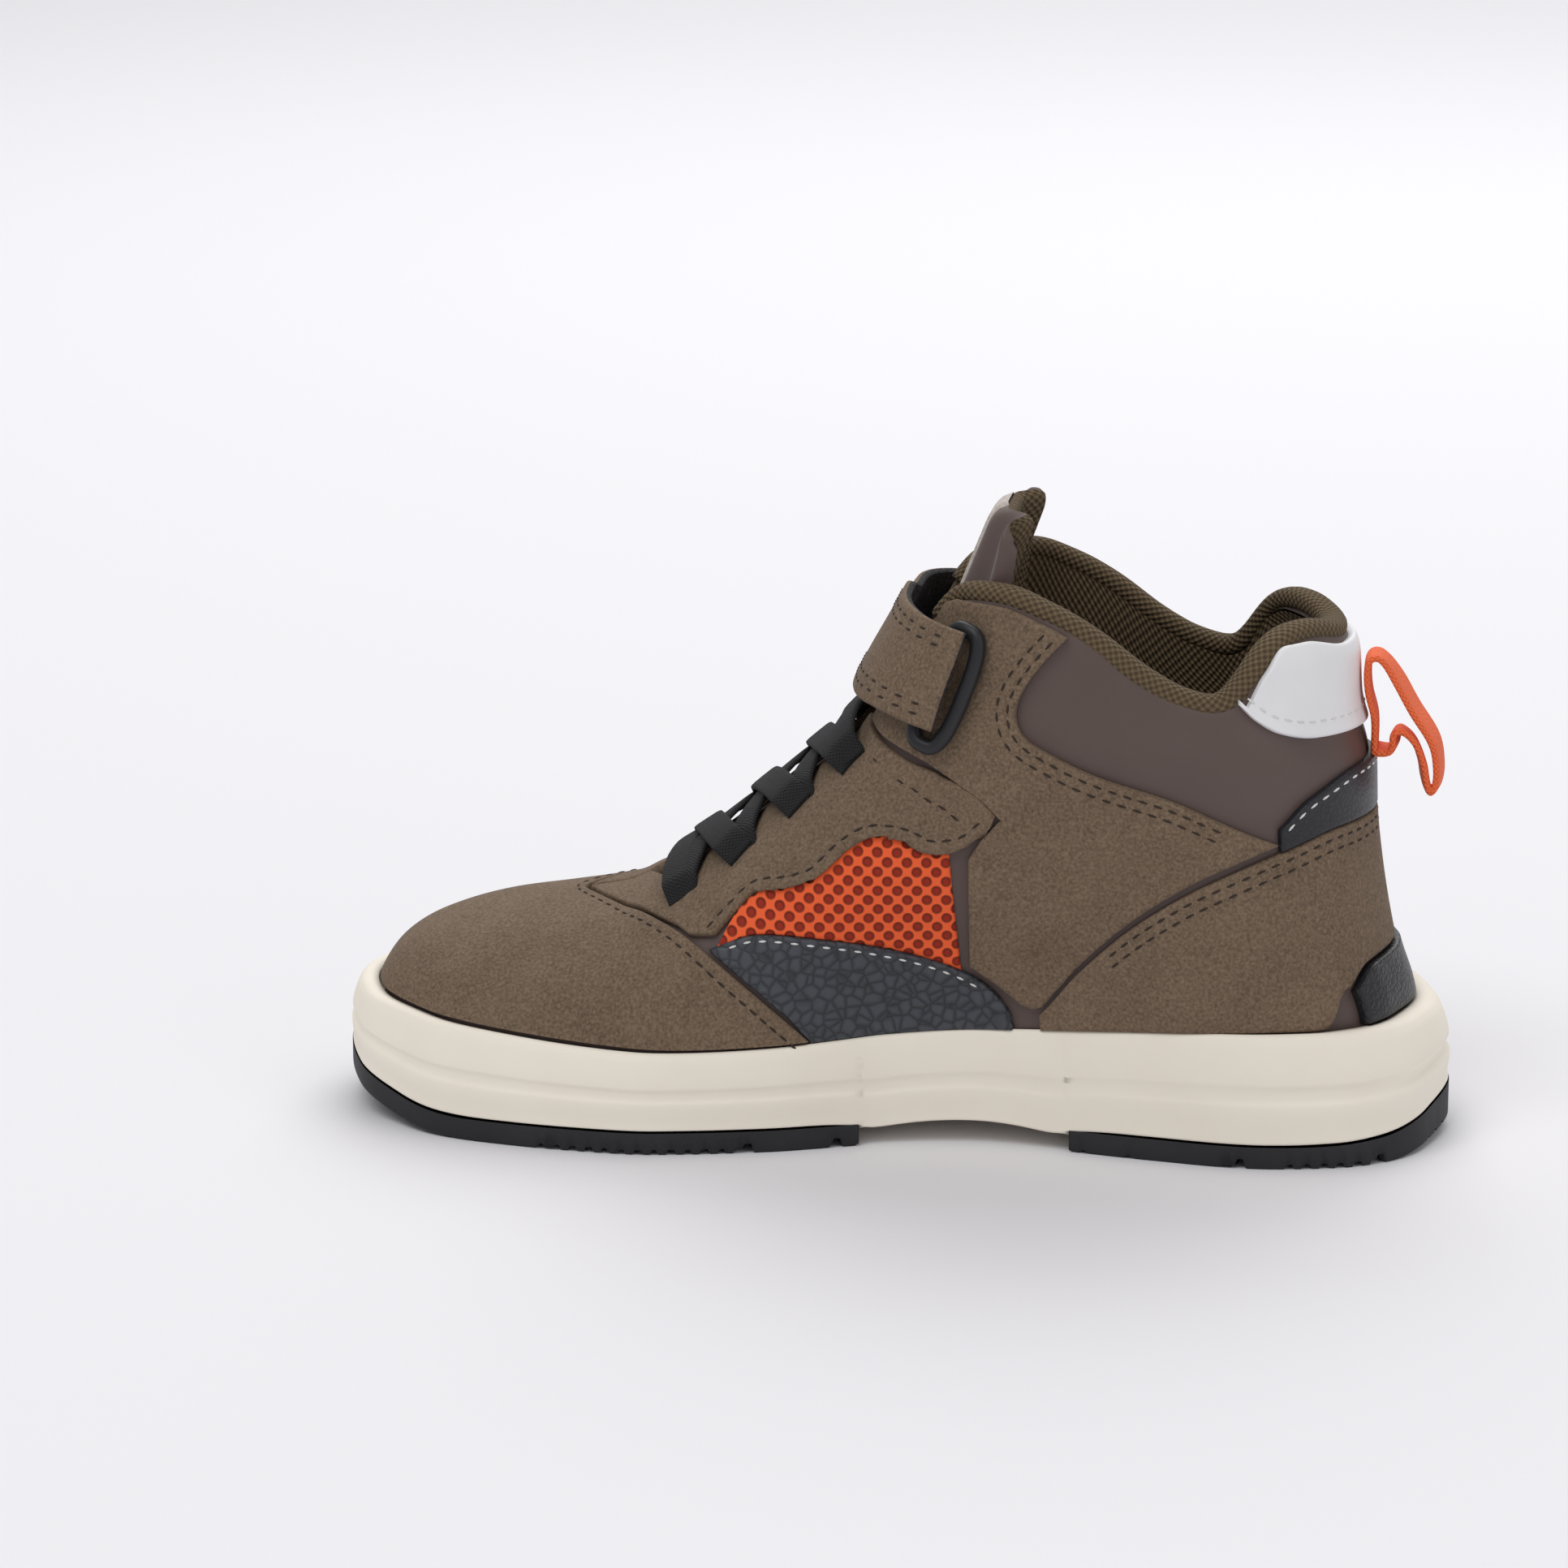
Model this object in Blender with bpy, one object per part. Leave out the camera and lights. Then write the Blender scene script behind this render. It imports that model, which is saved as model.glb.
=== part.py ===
"""Right shoe of a pair of children's mid-cut trainers, built piece by piece as its maker does.

The toe points to -X, the medial side to -Y and the sole stands on Z = 0. Lengths are metres.
Tables hold shares of the named sizes, one row for each section or fold.
"""

import math

import bmesh
import bpy
import numpy as np

MEDIAL = -1
LATERAL = 1
SIDES = {"medial": MEDIAL, "lateral": LATERAL}

# Sole sizes
SHOE_LENGTH = 0.225
BALL_WIDTH = 0.0858
WAIST_WIDTH = 0.0637
HEEL_WIDTH = 0.0709
TOE_RIM_HEIGHT = 0.0250
BALL_RIM_HEIGHT = 0.0200
HEEL_RIM_HEIGHT = 0.0265
TOE_SPRING = 0.0080
HEEL_BEVEL = 0.0028
TREAD_THICKNESS = 0.0045
ARCH_LIFT = 0.0020
POD_STEP = 0.0018
GROOVE_DEPTH = 0.0020
GROOVE_WIDTH = 0.0022
CUP_DEPTH = 0.0048
INSOLE_THICKNESS = 0.0032

# Last and upper sizes
TOE_MARGIN = 0.0065
SIDE_MARGIN = 0.0040
HEEL_MARGIN = 0.0089
TOE_BOX_HEIGHT = 0.0413
INSTEP_HEIGHT = 0.0756
ANKLE_HEIGHT = 0.1120
ANKLE_WIDTH = 0.0620
HEEL_LEAN = 0.0186
COLLAR_DIP_HEIGHT = 0.0903
UPPER_WALL = 0.0020
COLLAR_PADDING = 0.0048
COLLAR_PUFF = 0.0015
THROAT_WIDTH = 0.0190
TONGUE_HEIGHT = 0.1262
TONGUE_WIDTH = 0.0580
TONGUE_THICKNESS = 0.0048

# Clearances between pieces that touch
GAP = 0.0003
PANEL_GAP = 0.0005
SEAM_GAP = 0.0006
POD_EDGE_GAP = 0.0005
WELD = 0.00001

COLOURS = {
    "suede": ((0.156, 0.107, 0.070), 0.90),
    "satin": ((0.098, 0.069, 0.061), 0.55),
    "knit": ((0.137, 0.098, 0.048), 0.95),
    "white_leather": ((0.800, 0.800, 0.800), 0.45),
    "cream_foam": ((0.900, 0.840, 0.730), 0.60),
    "black_leather": ((0.013, 0.014, 0.017), 0.50),
    "black_rubber": ((0.017, 0.017, 0.019), 0.65),
    "pebbled_leather": ((0.058, 0.062, 0.072), 0.55),
    "orange_mesh": ((0.760, 0.089, 0.015), 0.80),
    "orange_ribbon": ((0.870, 0.127, 0.032), 0.75),
    "ring_plastic": ((0.012, 0.012, 0.014), 0.30),
    "lace": ((0.012, 0.012, 0.013), 0.85),
}


def mm(value):
    """A length that was read in millimetres, in metres."""
    return value * 0.001


def smooth(value, start, end):
    """Ease from 0 at start to 1 at end."""
    t = np.clip((np.asarray(value, float) - start) / (end - start), 0.0, 1.0)
    return t * t * (3.0 - 2.0 * t)


def curve_through(xs, ys):
    """A smooth function through the rows of a table that never overshoots a row."""
    xs = np.asarray(xs, float)
    ys = np.asarray(ys, float)
    step = np.diff(xs)
    slope = np.diff(ys) / step
    tangent = np.zeros(len(xs))
    for i in range(1, len(xs) - 1):
        if slope[i - 1] * slope[i] > 0:
            w1 = 2 * step[i] + step[i - 1]
            w2 = step[i] + 2 * step[i - 1]
            tangent[i] = (w1 + w2) / (w1 / slope[i - 1] + w2 / slope[i])
    tangent[0] = slope[0]
    tangent[-1] = slope[-1]

    def value(q):
        q = np.clip(np.asarray(q, float), xs[0], xs[-1])
        i = np.clip(np.searchsorted(xs, q) - 1, 0, len(xs) - 2)
        t = (q - xs[i]) / step[i]
        start = (1 + 2 * t) * (1 - t) ** 2 * ys[i] + t * (1 - t) ** 2 * step[i] * tangent[i]
        end = t * t * (3 - 2 * t) * ys[i + 1] + t * t * (t - 1) * step[i] * tangent[i + 1]
        return start + end

    return value


# Plan outline of the sole. Columns: share of the length from the toe, then the medial and the
# lateral half width as shares of the width that rules there (ball, waist or heel).
SOLE_OUTLINE = [
    (0.000, 0.016, -0.016),
    (0.023, 0.245, 0.199),
    (0.067, 0.358, 0.301),
    (0.105, 0.420, 0.361),
    (0.180, 0.473, 0.446),
    (0.255, 0.499, 0.491),
    (0.305, 0.500, 0.500),
    (0.406, 0.475, 0.536),
    (0.468, 0.445, 0.558),
    (0.506, 0.422, 0.566),
    (0.587, 0.415, 0.583),
    (0.649, 0.438, 0.554),
    (0.738, 0.479, 0.515),
    (0.831, 0.500, 0.501),
    (0.907, 0.456, 0.446),
    (0.938, 0.406, 0.409),
    (0.964, 0.334, 0.353),
    (0.982, 0.233, 0.265),
    (1.000, 0.000, 0.000),
]
OUTLINE_SAMPLES = 12

WIDTH_STATIONS = [0.0, 0.30, 0.60, 0.86, 1.0]

# Front of the last in side view. Columns: share of the length, share of the rise.
TOE_RIDGE = [
    (0.0289, 0.000),
    (0.0356, 0.270),
    (0.0556, 0.560),
    (0.0911, 0.770),
    (0.1444, 0.925),
    (0.1978, 1.000),
]
INSTEP_RIDGE = [
    (0.1978, 0.000),
    (0.2422, 0.050),
    (0.2778, 0.125),
    (0.3133, 0.248),
    (0.3489, 0.405),
    (0.3844, 0.598),
    (0.4200, 0.796),
    (0.4556, 1.000),
]
ANKLE_RIDGE = [
    (0.4556, 0.000),
    (0.4867, 0.203),
    (0.5111, 0.478),
    (0.5356, 0.753),
    (0.5551, 1.000),
    (0.5733, 1.275),
    (0.5978, 1.660),
    (0.6333, 2.590),
    (0.6778, 3.970),
]

# Back of the last in side view. Columns: share of the ankle height, share of the heel's lean.
HEEL_CURVE = [
    (0.16, 0.000),
    (0.24, 0.032),
    (0.34, 0.215),
    (0.49, 0.387),
    (0.58, 0.452),
    (0.69, 0.484),
    (0.80, 0.656),
    (0.875, 0.688),
    (0.92, 0.817),
    (0.955, 1.000),
    (1.30, 1.400),
]

# Topline of the collar, below its binding. Columns: share of the length, then the share of the
# way from the dip's height up to the ankle height.
COLLAR_LINE = [
    (0.541, 0.700),
    (0.556, 0.860),
    (0.571, 0.940),
    (0.601, 0.945),
    (0.644, 0.805),
    (0.680, 0.605),
    (0.723, 0.280),
    (0.757, 0.090),
    (0.792, 0.000),
    (0.812, 0.070),
    (0.832, 0.380),
    (0.858, 0.600),
    (0.873, 0.600),
    (0.900, 0.500),
    (0.960, 0.500),
]

# Half width of the throat. Columns: share of the length, share of the throat's width.
THROAT_LINE = [
    (0.2778, 0.000),
    (0.2830, 0.270),
    (0.2950, 0.420),
    (0.3200, 0.480),
    (0.4200, 0.520),
    (0.5000, 0.680),
    (0.5450, 1.000),
    (0.6000, 1.050),
]


def x_of(share):
    """Position along X of a share of the length, counted from the toe."""
    return (share - 0.5) * SHOE_LENGTH


def share_of(x):
    """Share of the length, counted from the toe, of a position along X."""
    return x / SHOE_LENGTH + 0.5


ruling_width = curve_through(
    WIDTH_STATIONS, [BALL_WIDTH, BALL_WIDTH, WAIST_WIDTH, HEEL_WIDTH, HEEL_WIDTH]
)


def outline_side(side):
    """Dense points of one side of the sole's outline, from the heel's back to the toe's tip."""
    column = 1 if side == MEDIAL else 2
    rows = [(x_of(r[0]), r[column] * float(ruling_width(r[0]))) for r in reversed(SOLE_OUTLINE)]
    points = np.array(rows)
    count = len(points)
    tangent = np.zeros_like(points)
    tangent[1:-1] = (points[2:] - points[:-2]) * 0.5
    tangent[0] = (0.0, np.linalg.norm(points[1] - points[0]) * 1.2)
    tangent[-1] = (0.0, -np.linalg.norm(points[-1] - points[-2]) * 1.2)
    dense = []
    for i in range(count - 1):
        chord = np.linalg.norm(points[i + 1] - points[i])
        before = tangent[i] / max(np.linalg.norm(tangent[i]), WELD) * chord
        after = tangent[i + 1] / max(np.linalg.norm(tangent[i + 1]), WELD) * chord
        for k in range(OUTLINE_SAMPLES):
            t = k / OUTLINE_SAMPLES
            dense.append(
                (1 + 2 * t) * (1 - t) ** 2 * points[i]
                + t * (1 - t) ** 2 * before
                + t * t * (3 - 2 * t) * points[i + 1]
                + t * t * (t - 1) * after
            )
    dense.append(points[-1])
    dense = np.array(dense)
    length = np.concatenate([[0], np.cumsum(np.linalg.norm(np.diff(dense, axis=0), axis=1))])
    return dense, length / length[-1]


OUTLINE = {side: outline_side(side) for side in (MEDIAL, LATERAL)}
LAST_TOE = x_of(0.0) + TOE_MARGIN
LAST_HEEL = x_of(1.0) - HEEL_MARGIN


def sole_edge(side, share):
    """Point of the sole's widest outline at a share of the way from the heel to the toe."""
    dense, along = OUTLINE[side]
    x = np.interp(share, along, dense[:, 0])
    y = np.interp(share, along, dense[:, 1])
    return np.array([x, side * y])


def last_edge(side, share):
    """Point of the last's own outline beside a point of the sole's."""
    x, y = sole_edge(side, share)
    flat = 1.0 - SIDE_MARGIN / (BALL_WIDTH / 2)
    along = share_of(x)
    return np.array([LAST_TOE + along * (LAST_HEEL - LAST_TOE), y * flat])


def last_width(side, x):
    """Half width of the last's outline at the sole."""
    dense, _ = OUTLINE[side]
    along = (np.asarray(x, float) - LAST_TOE) / (LAST_HEEL - LAST_TOE)
    width = np.interp(x_of(along), dense[::-1, 0], dense[::-1, 1])
    return np.maximum(width, 0.0) * (1.0 - SIDE_MARGIN / (BALL_WIDTH / 2))


rim_height = curve_through(
    [0.0, 0.12, 0.32, 0.60, 0.85, 1.0],
    [
        TOE_RIM_HEIGHT,
        (TOE_RIM_HEIGHT + BALL_RIM_HEIGHT) / 2,
        BALL_RIM_HEIGHT,
        (BALL_RIM_HEIGHT + HEEL_RIM_HEIGHT) / 2,
        HEEL_RIM_HEIGHT,
        HEEL_RIM_HEIGHT,
    ],
)


def feather_height(x):
    """Height of the upper's lower edge, inside the midsole's cup."""
    return rim_height(share_of(x)) - CUP_DEPTH + GAP


def build_ridge():
    """Side view of the last's front as one function of X, from its three tables."""
    xs = []
    zs = []
    for along, rise in TOE_RIDGE:
        x = x_of(along)
        low = float(feather_height(x))
        xs.append(x)
        zs.append(low + rise * (TOE_BOX_HEIGHT - low))
    for table, low, high in (
        (INSTEP_RIDGE, TOE_BOX_HEIGHT, INSTEP_HEIGHT),
        (ANKLE_RIDGE, INSTEP_HEIGHT, ANKLE_HEIGHT),
    ):
        for along, rise in table[1:]:
            xs.append(x_of(along))
            zs.append(low + rise * (high - low))
    xs[0] = LAST_TOE
    return curve_through(xs, zs)


ridge_height = build_ridge()

heel_back = curve_through(
    [row[0] * ANKLE_HEIGHT for row in HEEL_CURVE],
    [LAST_HEEL - row[1] * HEEL_LEAN for row in HEEL_CURVE],
)

collar_height = curve_through(
    [x_of(row[0]) for row in COLLAR_LINE],
    [COLLAR_DIP_HEIGHT + row[1] * (ANKLE_HEIGHT - COLLAR_DIP_HEIGHT) for row in COLLAR_LINE],
)

throat_half = curve_through(
    [x_of(row[0]) for row in THROAT_LINE],
    [row[1] * THROAT_WIDTH for row in THROAT_LINE],
)
THROAT_START = x_of(THROAT_LINE[0][0])
COLLAR_FRONT = x_of(COLLAR_LINE[0][0])
LEAN_START = x_of(0.59)


def heel_shift(x, z):
    """How far the last's back has moved forward at a height, faded out towards the instep."""
    back = heel_back(z)
    return (LAST_HEEL - back) * smooth(x, LEAN_START, np.maximum(back, LEAN_START + WELD))


def half_width(side, x, z):
    """Half width of the upper's outer face at a point of the side view."""
    x = np.asarray(x, float)
    z = np.asarray(z, float)
    rear = x + heel_shift(x, z)
    base = last_width(side, rear)
    heel_round = 0.034
    left = np.clip((heel_round - (LAST_HEEL - rear)) / heel_round, 0.0, 1.0)
    front = 1.0 + 0.16 * smooth(-x, x_of(0.41), x_of(0.59))
    ankle = ANKLE_WIDTH / 2 * front * np.sqrt(1.0 - left**2)
    rim = rim_height(share_of(x))
    lift = smooth(z, rim, rim + 0.040) * smooth(x, x_of(0.19), x_of(0.46))
    width = base + (ankle - base) * lift
    puff = np.exp(-(((x - x_of(0.74)) / 0.030) ** 2) - ((z - 0.082) / 0.011) ** 2)
    width = width + COLLAR_PUFF * puff * np.sqrt(1.0 - left**2)
    low = feather_height(x)
    share = np.clip((z - low) / np.maximum(ridge_height(x) - low, WELD), 0.0, 1.0)
    square = smooth(x, x_of(0.23), x_of(0.52))
    power = 2.4 + 2.1 * square
    root = 2.0 + 1.2 * square
    return width * np.power(np.clip(1.0 - share**power, 0.0, 1.0), 1.0 / root)


def column_x(station, z):
    """Position along X at which a meridian of the upper passes a height."""
    base = float(heel_back(0.0))
    lean = smooth(station, LEAN_START, LAST_HEEL - 0.012)
    return station - (base - heel_back(z)) * lean


def topline(side, station):
    """Height at which a meridian of the upper ends, at the ridge, the throat or the collar."""
    low = float(feather_height(station))
    high = float(ridge_height(station))
    if station <= THROAT_START:
        return high
    zs = np.linspace(low, min(high, ANKLE_HEIGHT * 1.1), 400)
    xs = column_x(station, zs)
    above_collar = zs > collar_height(np.maximum(xs, COLLAR_FRONT))
    past_throat = (half_width(side, xs, zs) < throat_half(xs)) & (zs > low + 0.012)
    past_throat &= station < x_of(0.62)
    above_collar &= station > COLLAR_FRONT
    stop = np.nonzero(above_collar | past_throat)[0]
    return float(zs[stop[0]]) if len(stop) else float(zs[-1])


def meridian(side, station, shares):
    """Points up one meridian of the upper's outer face at shares of its length."""
    low = float(feather_height(station))
    top = topline(side, station)
    ease = np.linspace(0.0, 1.0, 160)
    zs = low + (top - low) * np.sin(ease * math.pi / 2)
    xs = column_x(station, zs)
    ys = half_width(side, xs, zs)
    if station <= THROAT_START:
        ys[-1] = 0.0
    points = np.stack([xs, side * ys, zs], axis=1)
    step = np.linalg.norm(np.diff(points, axis=0), axis=1)
    length = np.concatenate([[0], np.cumsum(step)])
    if length[-1] < WELD:
        return np.repeat(points[:1], len(shares), axis=0)
    return np.stack([np.interp(shares * length[-1], length, points[:, k]) for k in range(3)], axis=1)


def ridge_slope(x):
    """Slope of the last's front in side view."""
    step = mm(0.5)
    return float((ridge_height(x + step) - ridge_height(x - step)) / (2 * step))


def on_side(side):
    """Chart of one side: a point of the side view, carried out to the upper's face."""

    def place(x, z):
        return np.array([x, side * float(half_width(side, x, z)), z])

    return place


def wrap_line(start_x, tilt, side):
    """Surface line that leaves the ridge at start_x and runs down one side at a tilt."""
    start_z = float(ridge_height(start_x))
    reach = np.linspace(0.0, 1.0, 220) ** 2 * mm(70)
    xs = start_x + reach * math.cos(tilt)
    zs = start_z + reach * math.sin(tilt)
    ys = half_width(side, xs, zs)
    ys[0] = 0.0
    points = np.stack([xs, side * ys, zs], axis=1)
    length = np.concatenate([[0], np.cumsum(np.linalg.norm(np.diff(points, axis=0), axis=1))])
    return points, length


def on_instep(tilt_at):
    """Chart of the front: X of the ridge, and the distance round the instep from the ridge."""
    lines = {}

    def place(x, around):
        side = LATERAL if around >= 0 else MEDIAL
        key = (round(x, 6), side)
        if key not in lines:
            lines[key] = wrap_line(x, tilt_at(x), side)
        points, length = lines[key]
        return np.array([np.interp(abs(around), length, points[:, k]) for k in range(3)])

    return place


def heel_line(side, z):
    """Level line of the upper's outer face round the heel at one height."""
    depth = np.linspace(0.0, 1.0, 260) ** 2 * mm(105)
    xs = float(heel_back(z)) - depth
    ys = half_width(side, xs, np.full_like(xs, z))
    ys[0] = 0.0
    points = np.stack([xs, side * ys, np.full_like(xs, z)], axis=1)
    length = np.concatenate([[0], np.cumsum(np.linalg.norm(np.diff(points, axis=0), axis=1))])
    return points, length


def on_heel():
    """Chart of the rear: the distance round the heel from its back seam, and the height."""
    lines = {}

    def place(around, z):
        side = LATERAL if around >= 0 else MEDIAL
        key = (round(z, 6), side)
        if key not in lines:
            lines[key] = heel_line(side, z)
        points, length = lines[key]
        return np.array([np.interp(abs(around), length, points[:, k]) for k in range(3)])

    return place


def lifted(place, u, v, lift):
    """Point of a chart, lifted off the upper's face along its outward normal."""
    step = mm(0.4)
    point = place(u, v)
    du = place(u + step, v) - place(u - step, v)
    dv = place(u, v + step) - place(u, v - step)
    normal = np.cross(du, dv)
    size = np.linalg.norm(normal)
    normal = normal / size if size > 0 else np.array([0.0, 0.0, 1.0])
    centre = np.array([min(max(point[0], x_of(0.1)), x_of(0.80)), 0.0, point[2] * 0.5])
    if normal @ (point - centre) < 0:
        normal = -normal
    return point + normal * lift


def resample(points, count):
    """Points at even steps along a line through the given ones."""
    points = np.asarray(points, float)
    length = np.concatenate([[0], np.cumsum(np.linalg.norm(np.diff(points, axis=0), axis=1))])
    at = np.linspace(0.0, length[-1], count)
    return np.stack([np.interp(at, length, points[:, k]) for k in range(points.shape[1])], axis=1)


def coons(low, high, left, right, across, up):
    """Grid that fills four border lines: low and high run across, left and right run up."""
    low = resample(low, across)
    high = resample(high, across)
    left = resample(left, up)
    right = resample(right, up)
    grid = np.zeros((up, across, 2))
    for j in range(up):
        v = j / (up - 1)
        for i in range(across):
            u = i / (across - 1)
            corner = (1 - u) * ((1 - v) * low[0] + v * high[0]) + u * ((1 - v) * low[-1] + v * high[-1])
            edge = (1 - v) * low[i] + v * high[i] + (1 - u) * left[j] + u * right[j]
            grid[j, i] = edge - corner
    return grid


def finish(name, bm, colour):
    """Weld a bmesh, point its faces out and make it a smooth shaded object with a material."""
    bmesh.ops.remove_doubles(bm, verts=bm.verts, dist=WELD)
    bmesh.ops.dissolve_degenerate(bm, edges=bm.edges, dist=WELD)
    bmesh.ops.recalc_face_normals(bm, faces=bm.faces)
    if bm.calc_volume(signed=True) < 0:
        bmesh.ops.reverse_faces(bm, faces=bm.faces)
    mesh = bpy.data.meshes.new(name)
    bm.to_mesh(mesh)
    bm.free()
    mesh.shade_smooth()
    mesh.set_sharp_from_angle(angle=math.radians(40))
    piece = bpy.data.objects.new(name, mesh)
    bpy.context.collection.objects.link(piece)
    piece.data.materials.append(material(colour))
    return piece


def material(name):
    """Principled material of one finish, made once."""
    if name in bpy.data.materials:
        return bpy.data.materials[name]
    colour, roughness = COLOURS[name]
    made = bpy.data.materials.new(name)
    made.use_nodes = True
    shader = made.node_tree.nodes["Principled BSDF"]
    shader.inputs["Base Color"].default_value = (*colour, 1.0)
    shader.inputs["Roughness"].default_value = roughness
    shader.inputs["Metallic"].default_value = 0.0
    return made


def grid_faces(bm, rows, closed=False):
    """Quads between rows of vertices. A closed row joins its last vertex to its first."""
    count = len(rows[0])
    last = count if closed else count - 1
    for low, high in zip(rows[:-1], rows[1:]):
        for i in range(last):
            corners = [low[i], low[(i + 1) % count], high[(i + 1) % count], high[i]]
            bm.faces.new(corners)


def sheet(name, place, grid, thickness, colour, lift=PANEL_GAP, bevel=mm(0.3)):
    """Closed panel of even thickness that lies on a chart of the upper."""
    bm = bmesh.new()
    up, across = grid.shape[:2]
    layers = []
    for height, inset in ((lift, 0.0), (lift + thickness, 1.0)):
        rows = []
        for j in range(up):
            row = []
            for i in range(across):
                u, v = grid[j, i]
                shy = inset * (i in (0, across - 1) or j in (0, up - 1))
                if shy:
                    inner = grid[min(max(j, 1), up - 2), min(max(i, 1), across - 2)]
                    away = inner - grid[j, i]
                    u, v = grid[j, i] + away / max(np.linalg.norm(away), WELD) * bevel
                row.append(bm.verts.new(lifted(place, u, v, height)))
            rows.append(row)
        layers.append(rows)
    for rows in layers:
        grid_faces(bm, rows)
    rims = []
    for rows in layers:
        rim = list(rows[0]) + [row[-1] for row in rows[1:]]
        rim += list(reversed(rows[-1][:-1])) + [row[0] for row in reversed(rows[1:-1])]
        rims.append(rim)
    grid_faces(bm, rims, closed=True)
    return finish(name, bm, colour)


def shell(name, place, grid, low_lift, high_lift, colour):
    """Closed pad on a chart whose two faces have their own lift at each point."""
    bm = bmesh.new()
    up, across = grid.shape[:2]
    layers = []
    for lift in (low_lift, high_lift):
        rows = []
        for j in range(up):
            row = []
            for i in range(across):
                u, v = grid[j, i]
                row.append(bm.verts.new(lifted(place, u, v, lift(u, v, place(u, v)))))
            rows.append(row)
        layers.append(rows)
        grid_faces(bm, rows)
    rims = []
    for rows in layers:
        rim = list(rows[0]) + [row[-1] for row in rows[1:]]
        rim += list(reversed(rows[-1][:-1])) + [row[0] for row in reversed(rows[1:-1])]
        rims.append(rim)
    grid_faces(bm, rims, closed=True)
    return finish(name, bm, colour)


def tube(name, path, frame_at, section, colour, closed=False):
    """Closed band with a given section, swept along a path."""
    bm = bmesh.new()
    rings = []
    for i, point in enumerate(path):
        out, side = frame_at(i)
        rings.append([bm.verts.new(point + out * a + side * b) for a, b in section])
    if closed:
        rings.append(rings[0])
    grid_faces(bm, rings, closed=True)
    if not closed:
        bm.faces.new(rings[0])
        bm.faces.new(list(reversed(rings[-1])))
    return finish(name, bm, colour)


def round_section(out, side, count=8):
    """Oval section of a tube, as offsets outward and sideways."""
    angles = [2 * math.pi * k / count for k in range(count)]
    return [(out * math.cos(a), side * math.sin(a)) for a in angles]


def tread_height(x):
    """Height of the tread's face: flat under heel and forefoot, lifted at the toe and heel."""
    along = share_of(x)
    toe = np.clip((0.135 - along) / 0.135, 0.0, 1.0) ** 1.9 * TOE_SPRING
    heel = np.clip((along - 0.945) / 0.055, 0.0, 1.0) ** 1.6 * HEEL_BEVEL
    return toe + heel


def pod_top(x):
    """Height of the joint between a rubber pod and the midsole."""
    along = share_of(x)
    heel = np.clip((along - 0.88) / 0.12, 0.0, 1.0) ** 1.7 * TREAD_THICKNESS * 0.55
    return tread_height(x) + TREAD_THICKNESS + heel


# Stations across the sole, from the heel to the toe, as shares of its edge. The pods end at
# these rungs, where the midsole steps down between them.
HEEL_POD_EDGE = 0.355
FORE_POD_EDGE = 0.508
HEEL_POD_BULGE = 0.0090
FORE_POD_BULGE = -0.0100


def rung(share, across, bulge=0.0):
    """Point of the plan between the lateral edge at -1 and the medial edge at +1."""
    medial = sole_edge(MEDIAL, share)
    lateral = sole_edge(LATERAL, share)
    point = lateral + (medial - lateral) * (across + 1) / 2
    return point + np.array([bulge * (1 - across**2), 0.0])


def bulge_at(share):
    """How far a rung bows along the shoe, so that the pods' edges are curved."""
    heel = HEEL_POD_BULGE * float(np.exp(-(((share - HEEL_POD_EDGE) / 0.06) ** 2)))
    fore = FORE_POD_BULGE * float(np.exp(-(((share - FORE_POD_EDGE) / 0.06) ** 2)))
    return heel + fore


def rung_stations():
    """Shares of the edge for the midsole, close together at the round ends and at the steps."""
    step = mm(0.8) / SHOE_LENGTH
    heel = [HEEL_POD_EDGE * (1 - math.cos(math.pi / 2 * k / 9)) for k in range(10)]
    arch = [HEEL_POD_EDGE + step]
    arch += [HEEL_POD_EDGE + (FORE_POD_EDGE - HEEL_POD_EDGE) * k / 4 for k in range(1, 4)]
    arch += [FORE_POD_EDGE - step]
    fore = [FORE_POD_EDGE + (1 - FORE_POD_EDGE) * math.sin(math.pi / 2 * k / 12) for k in range(13)]
    return heel + arch + fore


# Side of the midsole. Columns: share of the height from its lower edge to its rim, share of the
# way in from the widest outline to the last's outline.
SIDE_PROFILE = [
    (0.00, 0.02),
    (0.10, 0.04),
    (0.34, 0.00),
    (0.42, 0.10),
    (0.50, 0.10),
    (0.58, 0.03),
    (0.90, 0.22),
    (1.00, 0.36),
]


def arch_height(share, across):
    """Height of the midsole's underside between the pods."""
    centre = (HEEL_POD_EDGE + FORE_POD_EDGE) / 2
    reach = (FORE_POD_EDGE - HEEL_POD_EDGE) / 2
    middle = max(0.0, 1 - ((share - centre) / reach) ** 2)
    return TREAD_THICKNESS + GAP - POD_STEP + ARCH_LIFT * middle * (0.6 + 0.4 * across)


def under_height(share, across, point):
    """Height of the midsole's underside at a rung."""
    if HEEL_POD_EDGE + WELD < share < FORE_POD_EDGE - WELD:
        return arch_height(share, across)
    return float(pod_top(point[0])) + PANEL_GAP


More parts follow.
